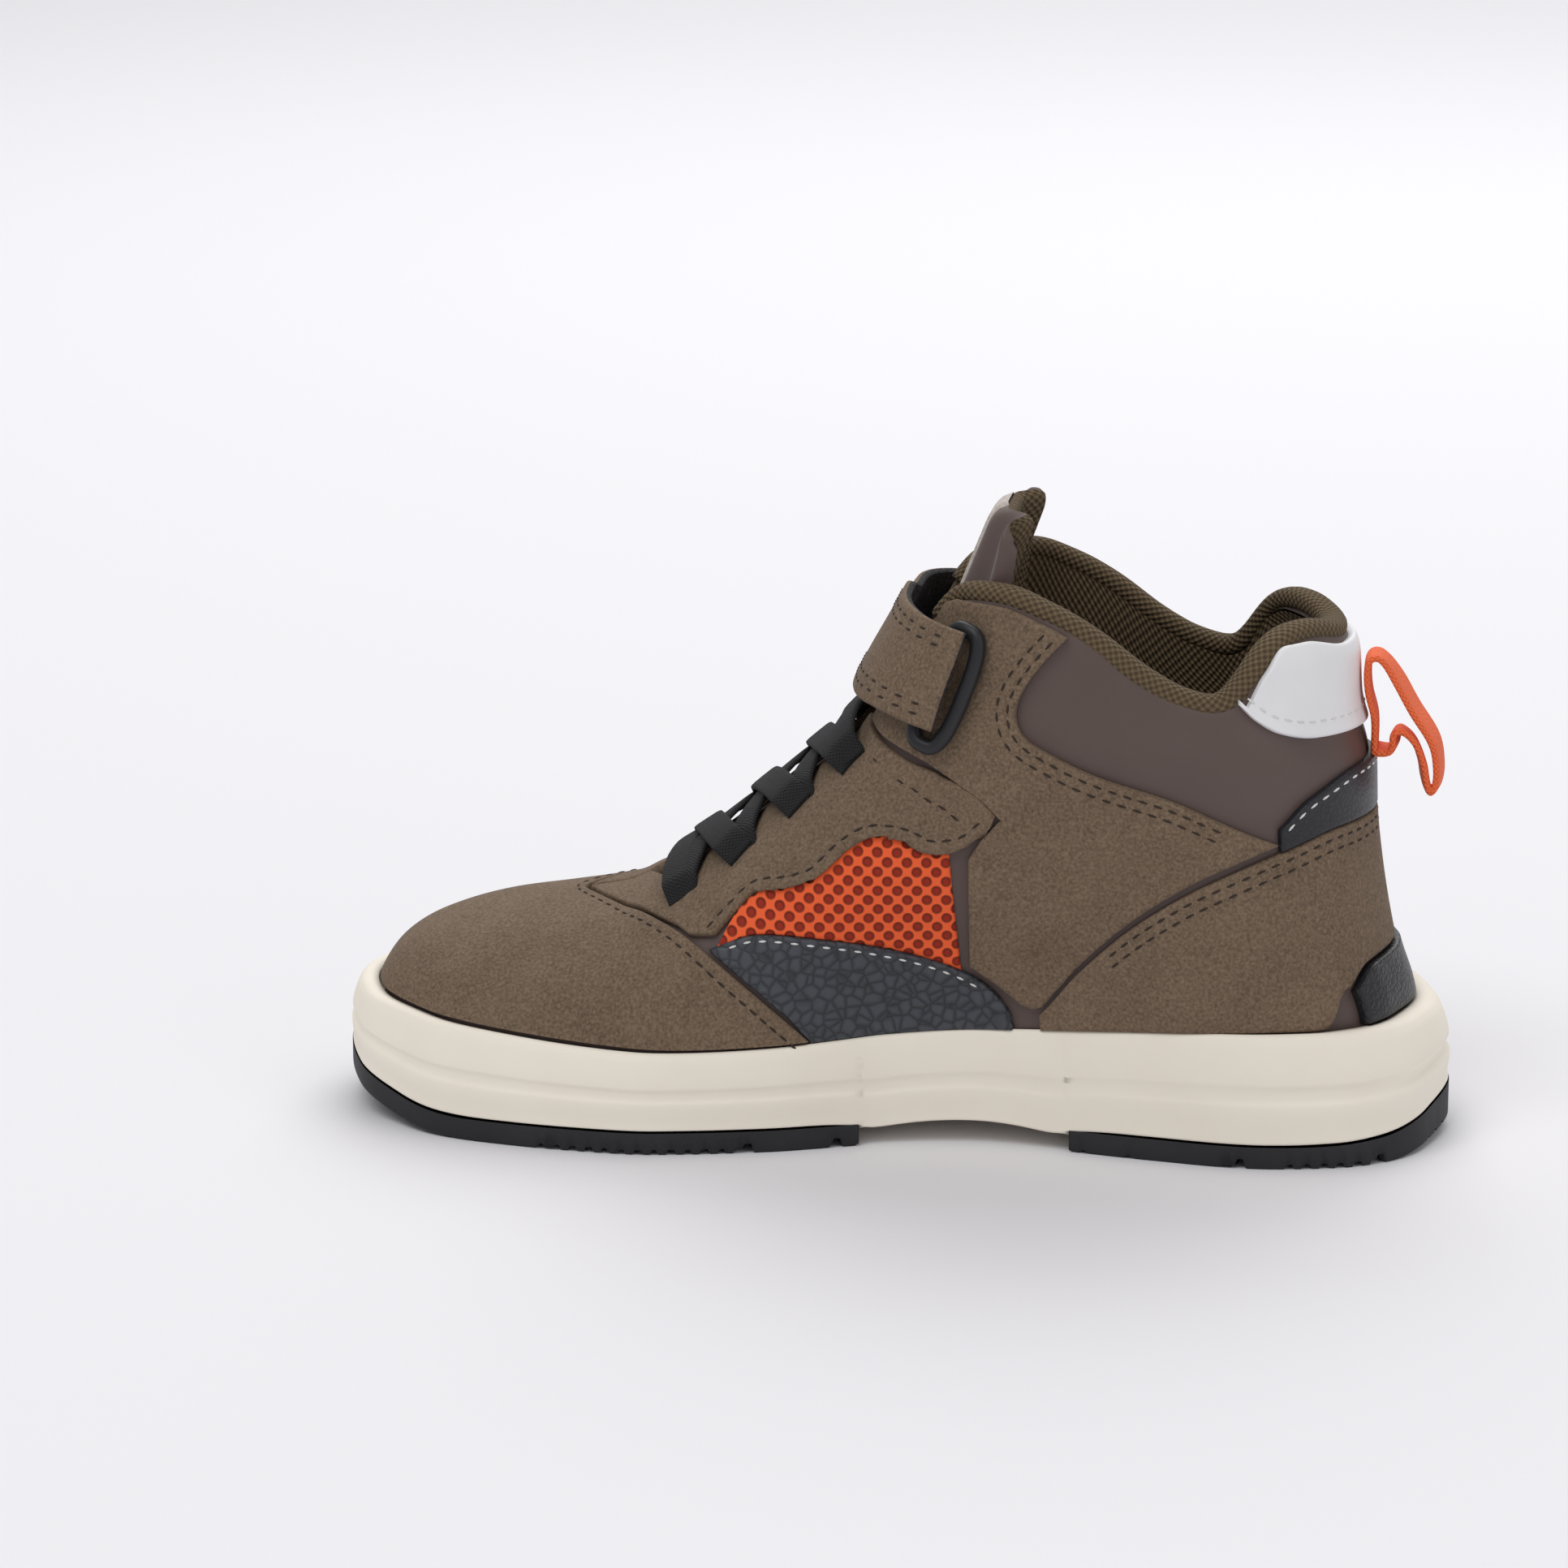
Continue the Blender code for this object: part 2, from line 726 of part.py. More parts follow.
def build_midsole():
    """Cream cup midsole: stepped side, foot well above, arch and pod seats below."""
    bm = bmesh.new()
    stations = rung_stations()
    loop = [(MEDIAL, s) for s in stations] + [(LATERAL, s) for s in reversed(stations[1:-1])]

    def ring(height_of, inward_of):
        verts = []
        for side, share in loop:
            edge = sole_edge(side, share)
            last = last_edge(side, share)
            point = edge + (last - edge) * inward_of(edge, last)
            verts.append(bm.verts.new((point[0], point[1], height_of(share, side, point))))
        return verts

    def low_edge(share, side, edge):
        return under_height(share, -side, edge)

    rows = []
    for up, inward in SIDE_PROFILE:

        def height(share, side, edge, up=up):
            low = low_edge(share, side, edge)
            return low + up * (float(rim_height(share_of(edge[0]))) - low)

        rows.append(ring(height, lambda edge, last, inward=inward: inward))

    def cup_wall(edge, last):
        return 1.0 - (GAP + PANEL_GAP * 1.2) / max(float(np.linalg.norm(edge - last)), mm(1))

    rows.append(ring(lambda share, side, edge: float(rim_height(share_of(edge[0]))), cup_wall))
    rows.append(
        ring(lambda share, side, edge: float(rim_height(share_of(edge[0]))) - CUP_DEPTH, cup_wall)
    )
    grid_faces(bm, rows, closed=True)
    count = len(loop)
    half = len(stations)
    spread = [-0.7, -0.25, 0.25, 0.7]
    for base, bottom in ((rows[0], True), (rows[-1], False)):
        lines = []
        for k, share in enumerate(stations):
            near = base[k]
            far = base[(count - k) % count]
            line = [far]
            for across in spread:
                mix = far.co.lerp(near.co, (across + 1) / 2)
                if 0 < k < half - 1:
                    if bottom:
                        mix.x += bulge_at(share) * (1 - across**2)
                        mix.z = under_height(share, across, mix)
                    else:
                        mix.z = float(rim_height(share_of(mix.x))) - CUP_DEPTH
                    line.append(bm.verts.new(mix))
                else:
                    line.append(near)
            line.append(near)
            lines.append(line)
        for one, two in zip(lines[:-1], lines[1:]):
            for i in range(len(one) - 1):
                corners = []
                for vert in (one[i], one[i + 1], two[i + 1], two[i]):
                    if vert not in corners:
                        corners.append(vert)
                if len(corners) > 2:
                    bm.faces.new(corners)
    return finish("midsole", bm, "cream_foam")


# Tread grooves. Long grooves are shares across the pod from the lateral edge at -1 to the medial
# edge at +1, cross grooves are shares of the way along the pod.
FORE_LONG = [-0.62, -0.24, 0.24, 0.62]
FORE_CROSS = [0.16, 0.38, 0.56, 0.74, 0.88]
HEEL_LONG = [-0.36, 0.36]
HEEL_CROSS = [0.26, 0.52, 0.76]


def groove_lines(centres, start, end, half_groove, extra):
    """Grid lines with a groove's four lines at each centre: edge, floor, floor, edge."""
    lines = [(start, False), (end, False)]
    for centre in centres:
        slope = half_groove * 0.75
        lines += [(centre - half_groove, False), (centre - slope, True)]
        lines += [(centre + slope, True), (centre + half_groove, False)]
    for value in extra:
        if all(abs(value - centre) > half_groove * 1.6 for centre in centres):
            lines.append((value, False))
    return sorted(lines)


def build_pod(name, start, end, long_grooves, cross_grooves, ends_round_at):
    """Black rubber pod with lugs between its grooves, flat under the foot."""
    bm = bmesh.new()
    span = end - start
    cross_half = GROOVE_WIDTH / 2 / (SHOE_LENGTH * span)
    extra = [(s - start) / span for s in rung_stations() if start < s < end]
    cross = groove_lines(cross_grooves, 0.0, 1.0, cross_half, extra)
    tip = 1.0 if ends_round_at == 1 else 0.0
    across_half = GROOVE_WIDTH / BALL_WIDTH
    across = groove_lines(long_grooves, -1.0, 1.0, across_half, [-0.94, 0.94])
    tops = []
    faces = []
    shy = mm(0.5)
    for at, in_cross in cross:
        share = start + span * at
        low = []
        high = []
        for over, in_long in across:
            point = rung(share, over, bulge_at(share))
            rim = abs(over) == 1.0
            deep = (in_cross or in_long) and at != tip
            level = float(tread_height(point[0]))
            low_z = level + (GROOVE_DEPTH if deep else 0.0)
            if rim:
                low_z = max(low_z, level + mm(0.5))
            pull = 1.0 - (shy / (BALL_WIDTH / 2) if rim else 0.0)
            centre = rung(share, 0.0, bulge_at(share))
            point = centre + (point - centre) * pull
            low.append(bm.verts.new((point[0], point[1], low_z)))
            high.append(bm.verts.new((point[0], point[1], float(pod_top(point[0])))))
        faces.append(low)
        tops.append(high)
    grid_faces(bm, faces)
    grid_faces(bm, tops)
    rims = []
    for rows in (faces, tops):
        rim = list(rows[0]) + [row[-1] for row in rows[1:]]
        rim += list(reversed(rows[-1][:-1])) + [row[0] for row in reversed(rows[1:-1])]
        rims.append(rim)
    grid_faces(bm, rims, closed=True)
    return finish(name, bm, "black_rubber")


def build_insole():
    """Footbed that fills the midsole's well, inside the upper's wall."""
    bm = bmesh.new()
    stations = [0.5 - 0.5 * math.cos(math.pi * k / 26) for k in range(27)]
    loop = [(MEDIAL, s) for s in stations] + [(LATERAL, s) for s in reversed(stations[1:-1])]
    rows = []
    wall = UPPER_WALL + GAP + mm(1.2)
    for up, shy in ((0.0, 0.0), (0.7, 0.0), (1.0, mm(0.6))):
        ring = []
        for side, share in loop:
            last = last_edge(side, share)
            centre = np.array([min(max(last[0], x_of(0.16)), x_of(0.86)), 0.0])
            inward = centre - last
            point = last + inward / np.linalg.norm(inward) * (wall + shy)
            floor = float(rim_height(share_of(point[0]))) - CUP_DEPTH + PANEL_GAP
            ring.append(bm.verts.new((point[0], point[1], floor + up * INSOLE_THICKNESS)))
        rows.append(ring)
    grid_faces(bm, rows, closed=True)
    count = len(loop)
    for base in (rows[0], rows[-1]):
        for k in range(len(stations) - 1):
            corners = []
            for vert in (base[k], base[k + 1], base[(count - k - 1) % count], base[(count - k) % count]):
                if vert not in corners:
                    corners.append(vert)
            bm.faces.new(corners)
    return finish("insole", bm, "knit")


def column_stations():
    """Meridians of the upper from the heel's back to the toe's tip, denser at the round ends."""
    bend = x_of(0.80)
    heel = [bend + (LAST_HEEL - bend) * math.cos(math.pi / 2 * k / 6) for k in range(6)]
    collar_end = x_of(0.585)
    side = [bend + (collar_end - bend) * k / 6 for k in range(6)]
    corner = [collar_end, x_of(0.571), x_of(0.560), x_of(0.549), x_of(0.538)]
    throat = [x_of(0.538) + (THROAT_START - x_of(0.538)) * k / 11 for k in range(1, 11)]
    start = [THROAT_START + mm(1.2), THROAT_START]
    toe_from = THROAT_START - mm(5)
    toe = [toe_from + (LAST_TOE - toe_from) * math.sin(math.pi / 2 * k / 10) for k in range(11)]
    return heel + side + corner + throat + start + toe


UPPER_ROWS = 12


def wall_at(point, top):
    """Thickness of the upper's wall: thin at the vamp, padded towards the collar."""
    padded = smooth(point[0], x_of(0.52), x_of(0.60))
    near_top = smooth(point[2], top - mm(38), top - mm(8))
    return UPPER_WALL + (COLLAR_PADDING - UPPER_WALL) * float(padded * near_top)


def build_upper():
    """Hollow upper: outer face, inner face, lower edge, throat and collar edge."""
    bm = bmesh.new()
    stations = column_stations()
    shares = np.linspace(0.0, 1.0, UPPER_ROWS)
    count = len(stations)
    columns = [(MEDIAL, s) for s in stations] + [(LATERAL, s) for s in reversed(stations[1:-1])]
    outer = np.array([meridian(side, station, shares) for side, station in columns])
    total = len(columns)
    inner = np.zeros_like(outer)
    for k, (side, station) in enumerate(columns):
        mirror = (total - k) % total
        closed_top = station <= THROAT_START
        for r in range(UPPER_ROWS):
            along = outer[(k + 1) % total, r] - outer[k - 1, r]
            below = outer[k, max(r - 1, 0)]
            above = outer[k, min(r + 1, UPPER_ROWS - 1)]
            if r == UPPER_ROWS - 1 and closed_top and mirror != k:
                above = outer[mirror, r - 1]
            if r == UPPER_ROWS - 1 and closed_top and side == LATERAL:
                along = -(outer[(mirror + 1) % total, r] - outer[mirror - 1, r])
            normal = np.cross(along, above - below)
            size = np.linalg.norm(normal)
            if size < 1e-12:
                normal = np.array([-1.0, 0.0, 0.2])
                size = np.linalg.norm(normal)
            normal = normal / size
            inside = np.array([min(max(outer[k, r][0], x_of(0.12)), x_of(0.85)), 0.0, mm(18)])
            if normal @ (outer[k, r] - inside) < 0:
                normal = -normal
            if r == 0:
                normal[2] = 0.0
                normal = normal / max(np.linalg.norm(normal), WELD)
            if (r == UPPER_ROWS - 1 and closed_top) or mirror == k:
                normal[1] = 0.0
                normal = normal / max(np.linalg.norm(normal), WELD)
            inner[k, r] = outer[k, r] - normal * wall_at(outer[k, r], outer[k, -1][2])
    tip = count - 1
    inner[tip] = np.linspace(inner[tip, 0], inner[tip, 0] + np.array([0, 0, mm(0.2)]), UPPER_ROWS)
    outer_verts = [[bm.verts.new(p) for p in column] for column in outer]
    inner_verts = [[bm.verts.new(p) for p in column] for column in inner]
    for verts in (outer_verts, inner_verts):
        for k in range(total):
            one = verts[k]
            two = verts[(k + 1) % total]
            for r in range(UPPER_ROWS - 1):
                bm.faces.new((one[r], two[r], two[r + 1], one[r + 1]))
    for k in range(total):
        n = (k + 1) % total
        bm.faces.new((outer_verts[k][0], inner_verts[k][0], inner_verts[n][0], outer_verts[n][0]))
        ahead = columns[k][1] < THROAT_START - WELD or columns[n][1] < THROAT_START - WELD
        if not ahead:
            bm.faces.new(
                (outer_verts[k][-1], outer_verts[n][-1], inner_verts[n][-1], inner_verts[k][-1])
            )
    return finish("upper", bm, "satin")


def square_to_ridge(x):
    """Tilt at which a line leaves the ridge squarely and runs down into the shoe."""
    return math.atan(ridge_slope(x)) - math.pi / 2


def ridge_x(height):
    """Position along X at which the ridge reaches a height."""
    xs = np.linspace(x_of(0.2), x_of(0.66), 600)
    return float(np.interp(height, ridge_height(xs), xs))


TONGUE_ROWS = 17
TONGUE_COLUMNS = 9


def tongue_depth(point, around):
    """How deep the tongue's outer face lies below the upper's, under the wall and its padding."""
    edge = smooth(abs(around), mm(9), mm(17)) * smooth(point[2], mm(58), mm(90))
    return UPPER_WALL + PANEL_GAP + float(edge) * (COLLAR_PADDING - UPPER_WALL + mm(1.2))


def build_tongue():
    """Padded tongue under the throat, which stands above the collar."""
    low_x = x_of(0.262)
    high_x = ridge_x(TONGUE_HEIGHT + mm(1.0))
    place = on_instep(square_to_ridge)
    grid = np.zeros((TONGUE_ROWS, TONGUE_COLUMNS, 2))
    for j in range(TONGUE_ROWS):
        t = j / (TONGUE_ROWS - 1)
        round_end = math.sqrt(max(0.0, 1 - max(0.0, (t - 0.93) / 0.07) ** 2 * 0.45))
        half = TONGUE_WIDTH / 2 * (0.62 + 0.38 * t) * round_end
        for i in range(TONGUE_COLUMNS):
            grid[j, i] = (low_x + (high_x - low_x) * t, half * (2 * i / (TONGUE_COLUMNS - 1) - 1))

    def outer(u, v, point):
        return -tongue_depth(point, v)

    def inner(u, v, point):
        edge = (abs(v) / (TONGUE_WIDTH / 2)) ** 4
        padded = float(smooth(point[2], mm(48), mm(75)))
        thickness = mm(2.0) + (TONGUE_THICKNESS - mm(2.0)) * padded * (1 - 0.6 * min(edge, 1.0))
        return -tongue_depth(point, v) - thickness

    return shell("tongue", place, grid, inner, outer, "satin")


PANEL_THICKNESS = 0.0011
EDGE_GAP = 0.0010
STRAP_WIDTH = 0.0190
STRAP_THICKNESS = 0.0020
STRAP_REACH = 0.0470
RING_TUBE = 0.0030
RING_LENGTH = 0.0270
RING_WIDTH = 0.0105
LACE_WIDTH = 0.0068
LACE_THICKNESS = 0.0014
LACE_REACH = 0.0225
BINDING_WIDTH = 0.0052
BINDING_HEIGHT = 0.0034
LOOP_WIDTH = 0.0100
LOOP_THICKNESS = 0.0012
STABILIZER_THICKNESS = 0.0020
TOE_CAP_FRONT = 0.2155
TOE_CAP_REACH = 0.2222
TOE_CAP_BOW = 1.3

# Side view borders of the panels. Columns: share of the length, share of the ankle height.
EYESTAY_LOW = [
    (0.356, 0.380),
    (0.376, 0.425),
    (0.395, 0.462),
    (0.420, 0.475),
    (0.446, 0.497),
    (0.473, 0.549),
    (0.496, 0.575),
    (0.518, 0.570),
    (0.538, 0.548),
    (0.562, 0.545),
    (0.586, 0.575),
]
EYESTAY_REAR = [(0.586, 0.575), (0.604, 0.615), (0.578, 0.662), (0.548, 0.690), (0.486, 0.738)]
PANEL_TOP = [
    (0.352, 0.358),
    (0.394, 0.390),
    (0.456, 0.384),
    (0.522, 0.357),
    (0.571, 0.322),
    (0.600, 0.285),
    (0.618, 0.236),
]
QUARTER_REAR = [
    (0.846, 0.583),
    (0.760, 0.650),
    (0.690, 0.696),
    (0.654, 0.728),
    (0.627, 0.761),
    (0.620, 0.800),
    (0.627, 0.844),
    (0.646, 0.898),
    (0.664, 0.945),
]

# Borders of the heel's panels. Columns: share of the panel's reach round the heel, share of the
# ankle height.
COUNTER_REACH = 0.0900
COUNTER_TOP = [(0.0, 0.594), (0.22, 0.588), (0.37, 0.560), (0.53, 0.510), (0.71, 0.430), (0.87, 0.335), (1.0, 0.245)]
STABILIZER_REACH = 0.0250
STABILIZER_TOP = [(0.0, 0.343), (0.70, 0.335), (1.0, 0.300)]
PATCH_REACH = 0.0340
PATCH_TOP = [(0.0, 0.692), (0.35, 0.688), (0.80, 0.650), (1.0, 0.600)]
TAB_REACH = 0.0390
TAB_LOW = [(0.0, 0.745), (0.60, 0.752), (0.80, 0.768), (0.92, 0.795), (1.0, 0.825)]


def points_of(table):
    """Side view points of a border, in metres."""
    return [(x_of(along), up * ANKLE_HEIGHT) for along, up in table]


def moved(points, dx, dz):
    """The same border, moved by a clearance."""
    return [(x + dx, z + dz) for x, z in points]


def throat_edge(side, start, end, count, margin):
    """Side view points along the throat's edge, kept a margin outside it."""
    line = []
    for x in np.linspace(start, end, count):
        top = float(ridge_height(x))
        zs = np.linspace(top, top - mm(45), 500)
        wide = half_width(side, np.full_like(zs, x), zs)
        want = max(float(throat_half(x)), 0.0) + margin
        line.append((float(x), float(np.interp(want, wide, zs))))
    return line


def to_instep(side, point):
    """Instep chart coordinates of a side view point."""
    x, z = point
    best = None
    for u in np.linspace(x_of(0.19), x_of(0.60), 400):
        tilt = square_to_ridge(u)
        dx = x - u
        dz = z - float(ridge_height(u))
        miss = abs(dx * math.sin(tilt) - dz * math.cos(tilt))
        reach = dx * math.cos(tilt) + dz * math.sin(tilt)
        if reach > -mm(1) and (best is None or miss < best[0]):
            best = (miss, u, max(reach, 0.0))
    _, u, reach = best
    line, length = wrap_line(u, square_to_ridge(u), side)
    far = np.hypot(line[:, 0] - line[0, 0], line[:, 2] - line[0, 2])
    return (u, side * float(np.interp(reach, far, length)))


def rim_girth(side, x):
    """Distance round a cross section from the ridge down to just above the midsole's rim."""
    line, length = wrap_line(x, -math.pi / 2, side)
    low = float(rim_height(share_of(x))) + EDGE_GAP
    return float(np.interp(-low, -line[:, 2], length))


def cap_edge(side, t, shift=0.0):
    """Side view point of the toe cap's rear edge, at a share t of the way down from the ridge."""
    x = x_of(TOE_CAP_FRONT) + TOE_CAP_REACH * SHOE_LENGTH * abs(t) ** TOE_CAP_BOW + shift
    line, length = wrap_line(x, -math.pi / 2, side)
    at = abs(t) * rim_girth(side, x)
    return (x, float(np.interp(at, length, line[:, 2])))


def build_toe_cap():
    """Suede toe overlay that wraps the toe and runs back along both sides."""
    place = on_instep(lambda x: -math.pi / 2)
    xs = np.linspace(LAST_TOE, x_of(0.06), 300)
    clear = ridge_height(xs) > rim_height(share_of(xs)) + mm(1.6)
    tip = float(xs[np.nonzero(clear)[0][0]])
    rows = 13
    across = 19
    grid = np.zeros((rows, across, 2))
    for i in range(across):
        t = math.sin(math.pi / 2 * (2 * i / (across - 1) - 1))
        side = LATERAL if t >= 0 else MEDIAL
        rear = x_of(TOE_CAP_FRONT) + TOE_CAP_REACH * SHOE_LENGTH * abs(t) ** TOE_CAP_BOW
        for j in range(rows):
            x = tip + (rear - tip) * (j / (rows - 1)) ** 1.25
            grid[j, i] = (x, t * rim_girth(side, x))
    lift = PANEL_GAP * 1.8
    return sheet("toe_cap", place, grid, PANEL_THICKNESS, "suede", lift=lift, bevel=mm(0.2))


def build_eyestay(name, side):
    """Suede stay beside the throat, with the lace slots."""
    low = [to_instep(side, p) for p in points_of(EYESTAY_LOW)]
    rear = [to_instep(side, p) for p in points_of(EYESTAY_REAR)]
    seam = side * SEAM_GAP / 2
    front_x = x_of(TOE_CAP_FRONT) + EDGE_GAP
    high = [(front_x + (THROAT_START - front_x) * k / 3, seam) for k in range(4)]
    edge = throat_edge(side, THROAT_START + mm(1), x_of(0.486), 16, SEAM_GAP)
    high += [to_instep(side, p) for p in edge]
    high[-1] = rear[-1]
    down = [cap_edge(side, t, EDGE_GAP) for t in (0.66, 0.56, 0.46, 0.36, 0.26, 0.16, 0.08)]
    left = [low[0]] + [to_instep(side, p) for p in down[1:]] + [high[0]]
    grid = coons(low, high, left, rear, 22, 8)
    place = on_instep(square_to_ridge)
    return sheet(name, place, grid, PANEL_THICKNESS, "suede", lift=PANEL_GAP * 1.5)


def build_mesh_panel(name, side):
    """Air mesh window between the eyestay and the side panel."""
    low = moved(points_of(PANEL_TOP)[:5], 0.0, EDGE_GAP * 1.2)
    high = moved(points_of(EYESTAY_LOW)[:10], 0.0, -EDGE_GAP * 1.2)
    low[0] = (low[0][0] + mm(2.5), low[0][1] + mm(0.6))
    high[0] = (low[0][0] + mm(0.2), low[0][1] + mm(0.8))
    right = [low[-1], high[-1]]
    grid = coons(low, high, [low[0], high[0]], right, 12, 3)
    return sheet(name, on_side(side), grid, PANEL_THICKNESS * 0.7, "orange_mesh")


def build_side_panel(name, side):
    """Pebbled side panel low beside the sole, tapering to the rear."""
    high = points_of(PANEL_TOP)
    xs = np.linspace(x_of(0.440), x_of(0.618), 12)
    low = [(float(x), float(rim_height(share_of(x))) + EDGE_GAP) for x in xs]
    high[-1] = (low[-1][0], low[-1][1] + mm(0.8))
    left = [cap_edge(side, t, EDGE_GAP) for t in (1.0, 0.92, 0.84, 0.76, 0.70)]
    left[0] = low[0]
    left[-1] = high[0]
    grid = coons(low, high, left, [low[-1], high[-1]], 13, 4)
    return sheet(name, on_side(side), grid, PANEL_THICKNESS, "pebbled_leather")


def counter_edge(x, side):
    """Height of the counter's upper edge beside a point of the side view."""
    z = 0.45 * ANKLE_HEIGHT
    for _ in range(4):
        line, length = heel_line(side, z)
        around = float(np.interp(-x, -line[:, 0], length))
        z = float(curve_through(*zip(*COUNTER_TOP))(around / COUNTER_REACH)) * ANKLE_HEIGHT
    return z


def build_quarter(name, side):
    """Suede quarter from the throat's upper edge back to the heel and down to the side panel."""
    right = points_of(QUARTER_REAR)
    rear = points_of(EYESTAY_REAR)
    foot_x = rear[0][0] - mm(1.6)
    tail = moved(points_of(PANEL_TOP)[4:], EDGE_GAP * 1.2, EDGE_GAP * 1.2)
    foot = (foot_x, tail[0][1])
    left = [foot, (foot_x, rear[0][1] - mm(4.5)), (rear[0][0] + mm(1), rear[0][1] - mm(0.3))]
    left += [(rear[1][0] + EDGE_GAP * 1.3, rear[1][1])]
    left += moved(rear[2:-1], 0.0, EDGE_GAP * 1.3) + [(rear[-1][0] + mm(1.3), rear[-1][1] + mm(1))]
    left += throat_edge(side, rear[-1][0] + mm(2), x_of(0.546), 7, SEAM_GAP)[1:]
    top_x = left[-1][0]
    left[-1] = (top_x, min(left[-1][1], float(collar_height(top_x)) - SEAM_GAP))
    xs = np.linspace(top_x, right[-1][0], 8)
    high = [(float(x), float(collar_height(x)) - SEAM_GAP) for x in xs]
    high[0] = left[-1]
    right[-1] = high[-1]
    xs = np.linspace(tail[1][0] + mm(7), right[0][0], 9)
    low = [foot, tail[1]] + [(float(x), counter_edge(x, side) + EDGE_GAP) for x in xs]
    right[0] = (low[-1][0], low[-1][1] + mm(0.8))
    grid = coons(low, high, left, right, 11, 19)
    place = on_side(side)
    return sheet(name, place, grid, PANEL_THICKNESS, "suede", lift=PANEL_GAP * 1.5)


def heel_grid(reach, low, high, across, up):
    """Grid of a heel panel, from functions of the share of its reach for both edges."""
    grid = np.zeros((up, across, 2))
    for i in range(across):
        t = 2 * i / (across - 1) - 1
        for j in range(up):
            v = j / (up - 1)
            grid[j, i] = (t * reach, (1 - v) * low(abs(t)) + v * high(abs(t)))
    return grid


def build_heel_panels():
    """Counter, stabilizer, patch and tab, stacked up the heel with seams between them."""
    place = on_heel()
    counter = curve_through(*zip(*COUNTER_TOP))
    clip = curve_through(*zip(*STABILIZER_TOP))
    patch = curve_through(*zip(*PATCH_TOP))
    tab = curve_through(*zip(*TAB_LOW))

    def rim_beside(around):
        x = float(place(around, HEEL_RIM_HEIGHT)[0])
        return float(rim_height(share_of(x))) + EDGE_GAP

    def counter_low(t):
        around = t * COUNTER_REACH
        over_clip = float(clip(min(around / STABILIZER_REACH, 1.0))) * ANKLE_HEIGHT + EDGE_GAP
        down = float(smooth(around, STABILIZER_REACH + mm(0.5), STABILIZER_REACH + mm(8)))
        return over_clip + (rim_beside(around) - over_clip) * down

    def counter_high(t):
        return max(float(counter(t)) * ANKLE_HEIGHT, counter_low(t) + mm(0.8))

    def patch_low(t):
        return float(counter(t * PATCH_REACH / COUNTER_REACH)) * ANKLE_HEIGHT + SEAM_GAP

    def patch_high(t):
        return max(float(patch(t)) * ANKLE_HEIGHT, patch_low(t) + mm(1))

    def tab_high(t):
        x = float(place(t * TAB_REACH, 0.86 * ANKLE_HEIGHT)[0])
        return max(float(collar_height(x)) - SEAM_GAP, float(tab(t)) * ANKLE_HEIGHT + mm(1))

    grid = heel_grid(COUNTER_REACH, counter_low, counter_high, 37, 4)
    sheet("heel_counter", place, grid, PANEL_THICKNESS, "suede")
    grid = heel_grid(
        STABILIZER_REACH - mm(1),
        lambda t: rim_beside(t * STABILIZER_REACH),
        lambda t: float(clip(t)) * ANKLE_HEIGHT,
        15,
        3,
    )
    sheet("heel_stabilizer", place, grid, STABILIZER_THICKNESS, "black_rubber")
    sheet("heel_patch", place, heel_grid(PATCH_REACH, patch_low, patch_high, 17, 3), PANEL_THICKNESS, "black_leather")
    grid = heel_grid(TAB_REACH, lambda t: float(tab(t)) * ANKLE_HEIGHT, tab_high, 19, 4)
    sheet("heel_tab", place, grid, PANEL_THICKNESS, "white_leather")


def build_binding():
    """Knitted binding along the collar's edge, from one front corner round the heel."""
    stations = [s for s in column_stations() if s >= x_of(0.55)]
    one_side = []
    for station in stations:
        end = meridian(MEDIAL, station, np.array([0.96, 1.0]))
        far = meridian(LATERAL, station, np.array([0.96, 1.0]))
        one_side.append((end[1], far[1]))
    tops = [pair[0] for pair in reversed(one_side)] + [pair[1] for pair in one_side[1:]]
    tops = np.array(tops)
    fine = resample(tops, 46)
    path = []
    frames = []
    for i, point in enumerate(fine):
        along = fine[min(i + 1, len(fine) - 1)] - fine[max(i - 1, 0)]
        along = along / np.linalg.norm(along)
        out = np.cross(along, np.array([0.0, 0.0, 1.0]))
        out = out / np.linalg.norm(out)
        centre = np.array([x_of(0.72), 0.0, point[2]])
        if out @ (point - centre) < 0:
            out = -out
        up = np.cross(out, along)
        if up[2] < 0:
            up = -up
        wall = wall_at(point, point[2])
        path.append(point - out * wall * 0.5 + up * (BINDING_HEIGHT / 2 + PANEL_GAP * 1.6))
        frames.append((out, up))
    section = round_section(BINDING_WIDTH / 2, BINDING_HEIGHT / 2, 6)
    return tube("collar_binding", path, lambda i: frames[i], section, "knit")


RING_CENTRE = (0.5585, 0.842)
RING_TILT = math.radians(69)


def ring_offset(x, z):
    """How far a side view point lies behind the ring's long axis."""
    dx = x - x_of(RING_CENTRE[0])
    dz = z - RING_CENTRE[1] * ANKLE_HEIGHT
    return dx * math.sin(RING_TILT) - dz * math.cos(RING_TILT)


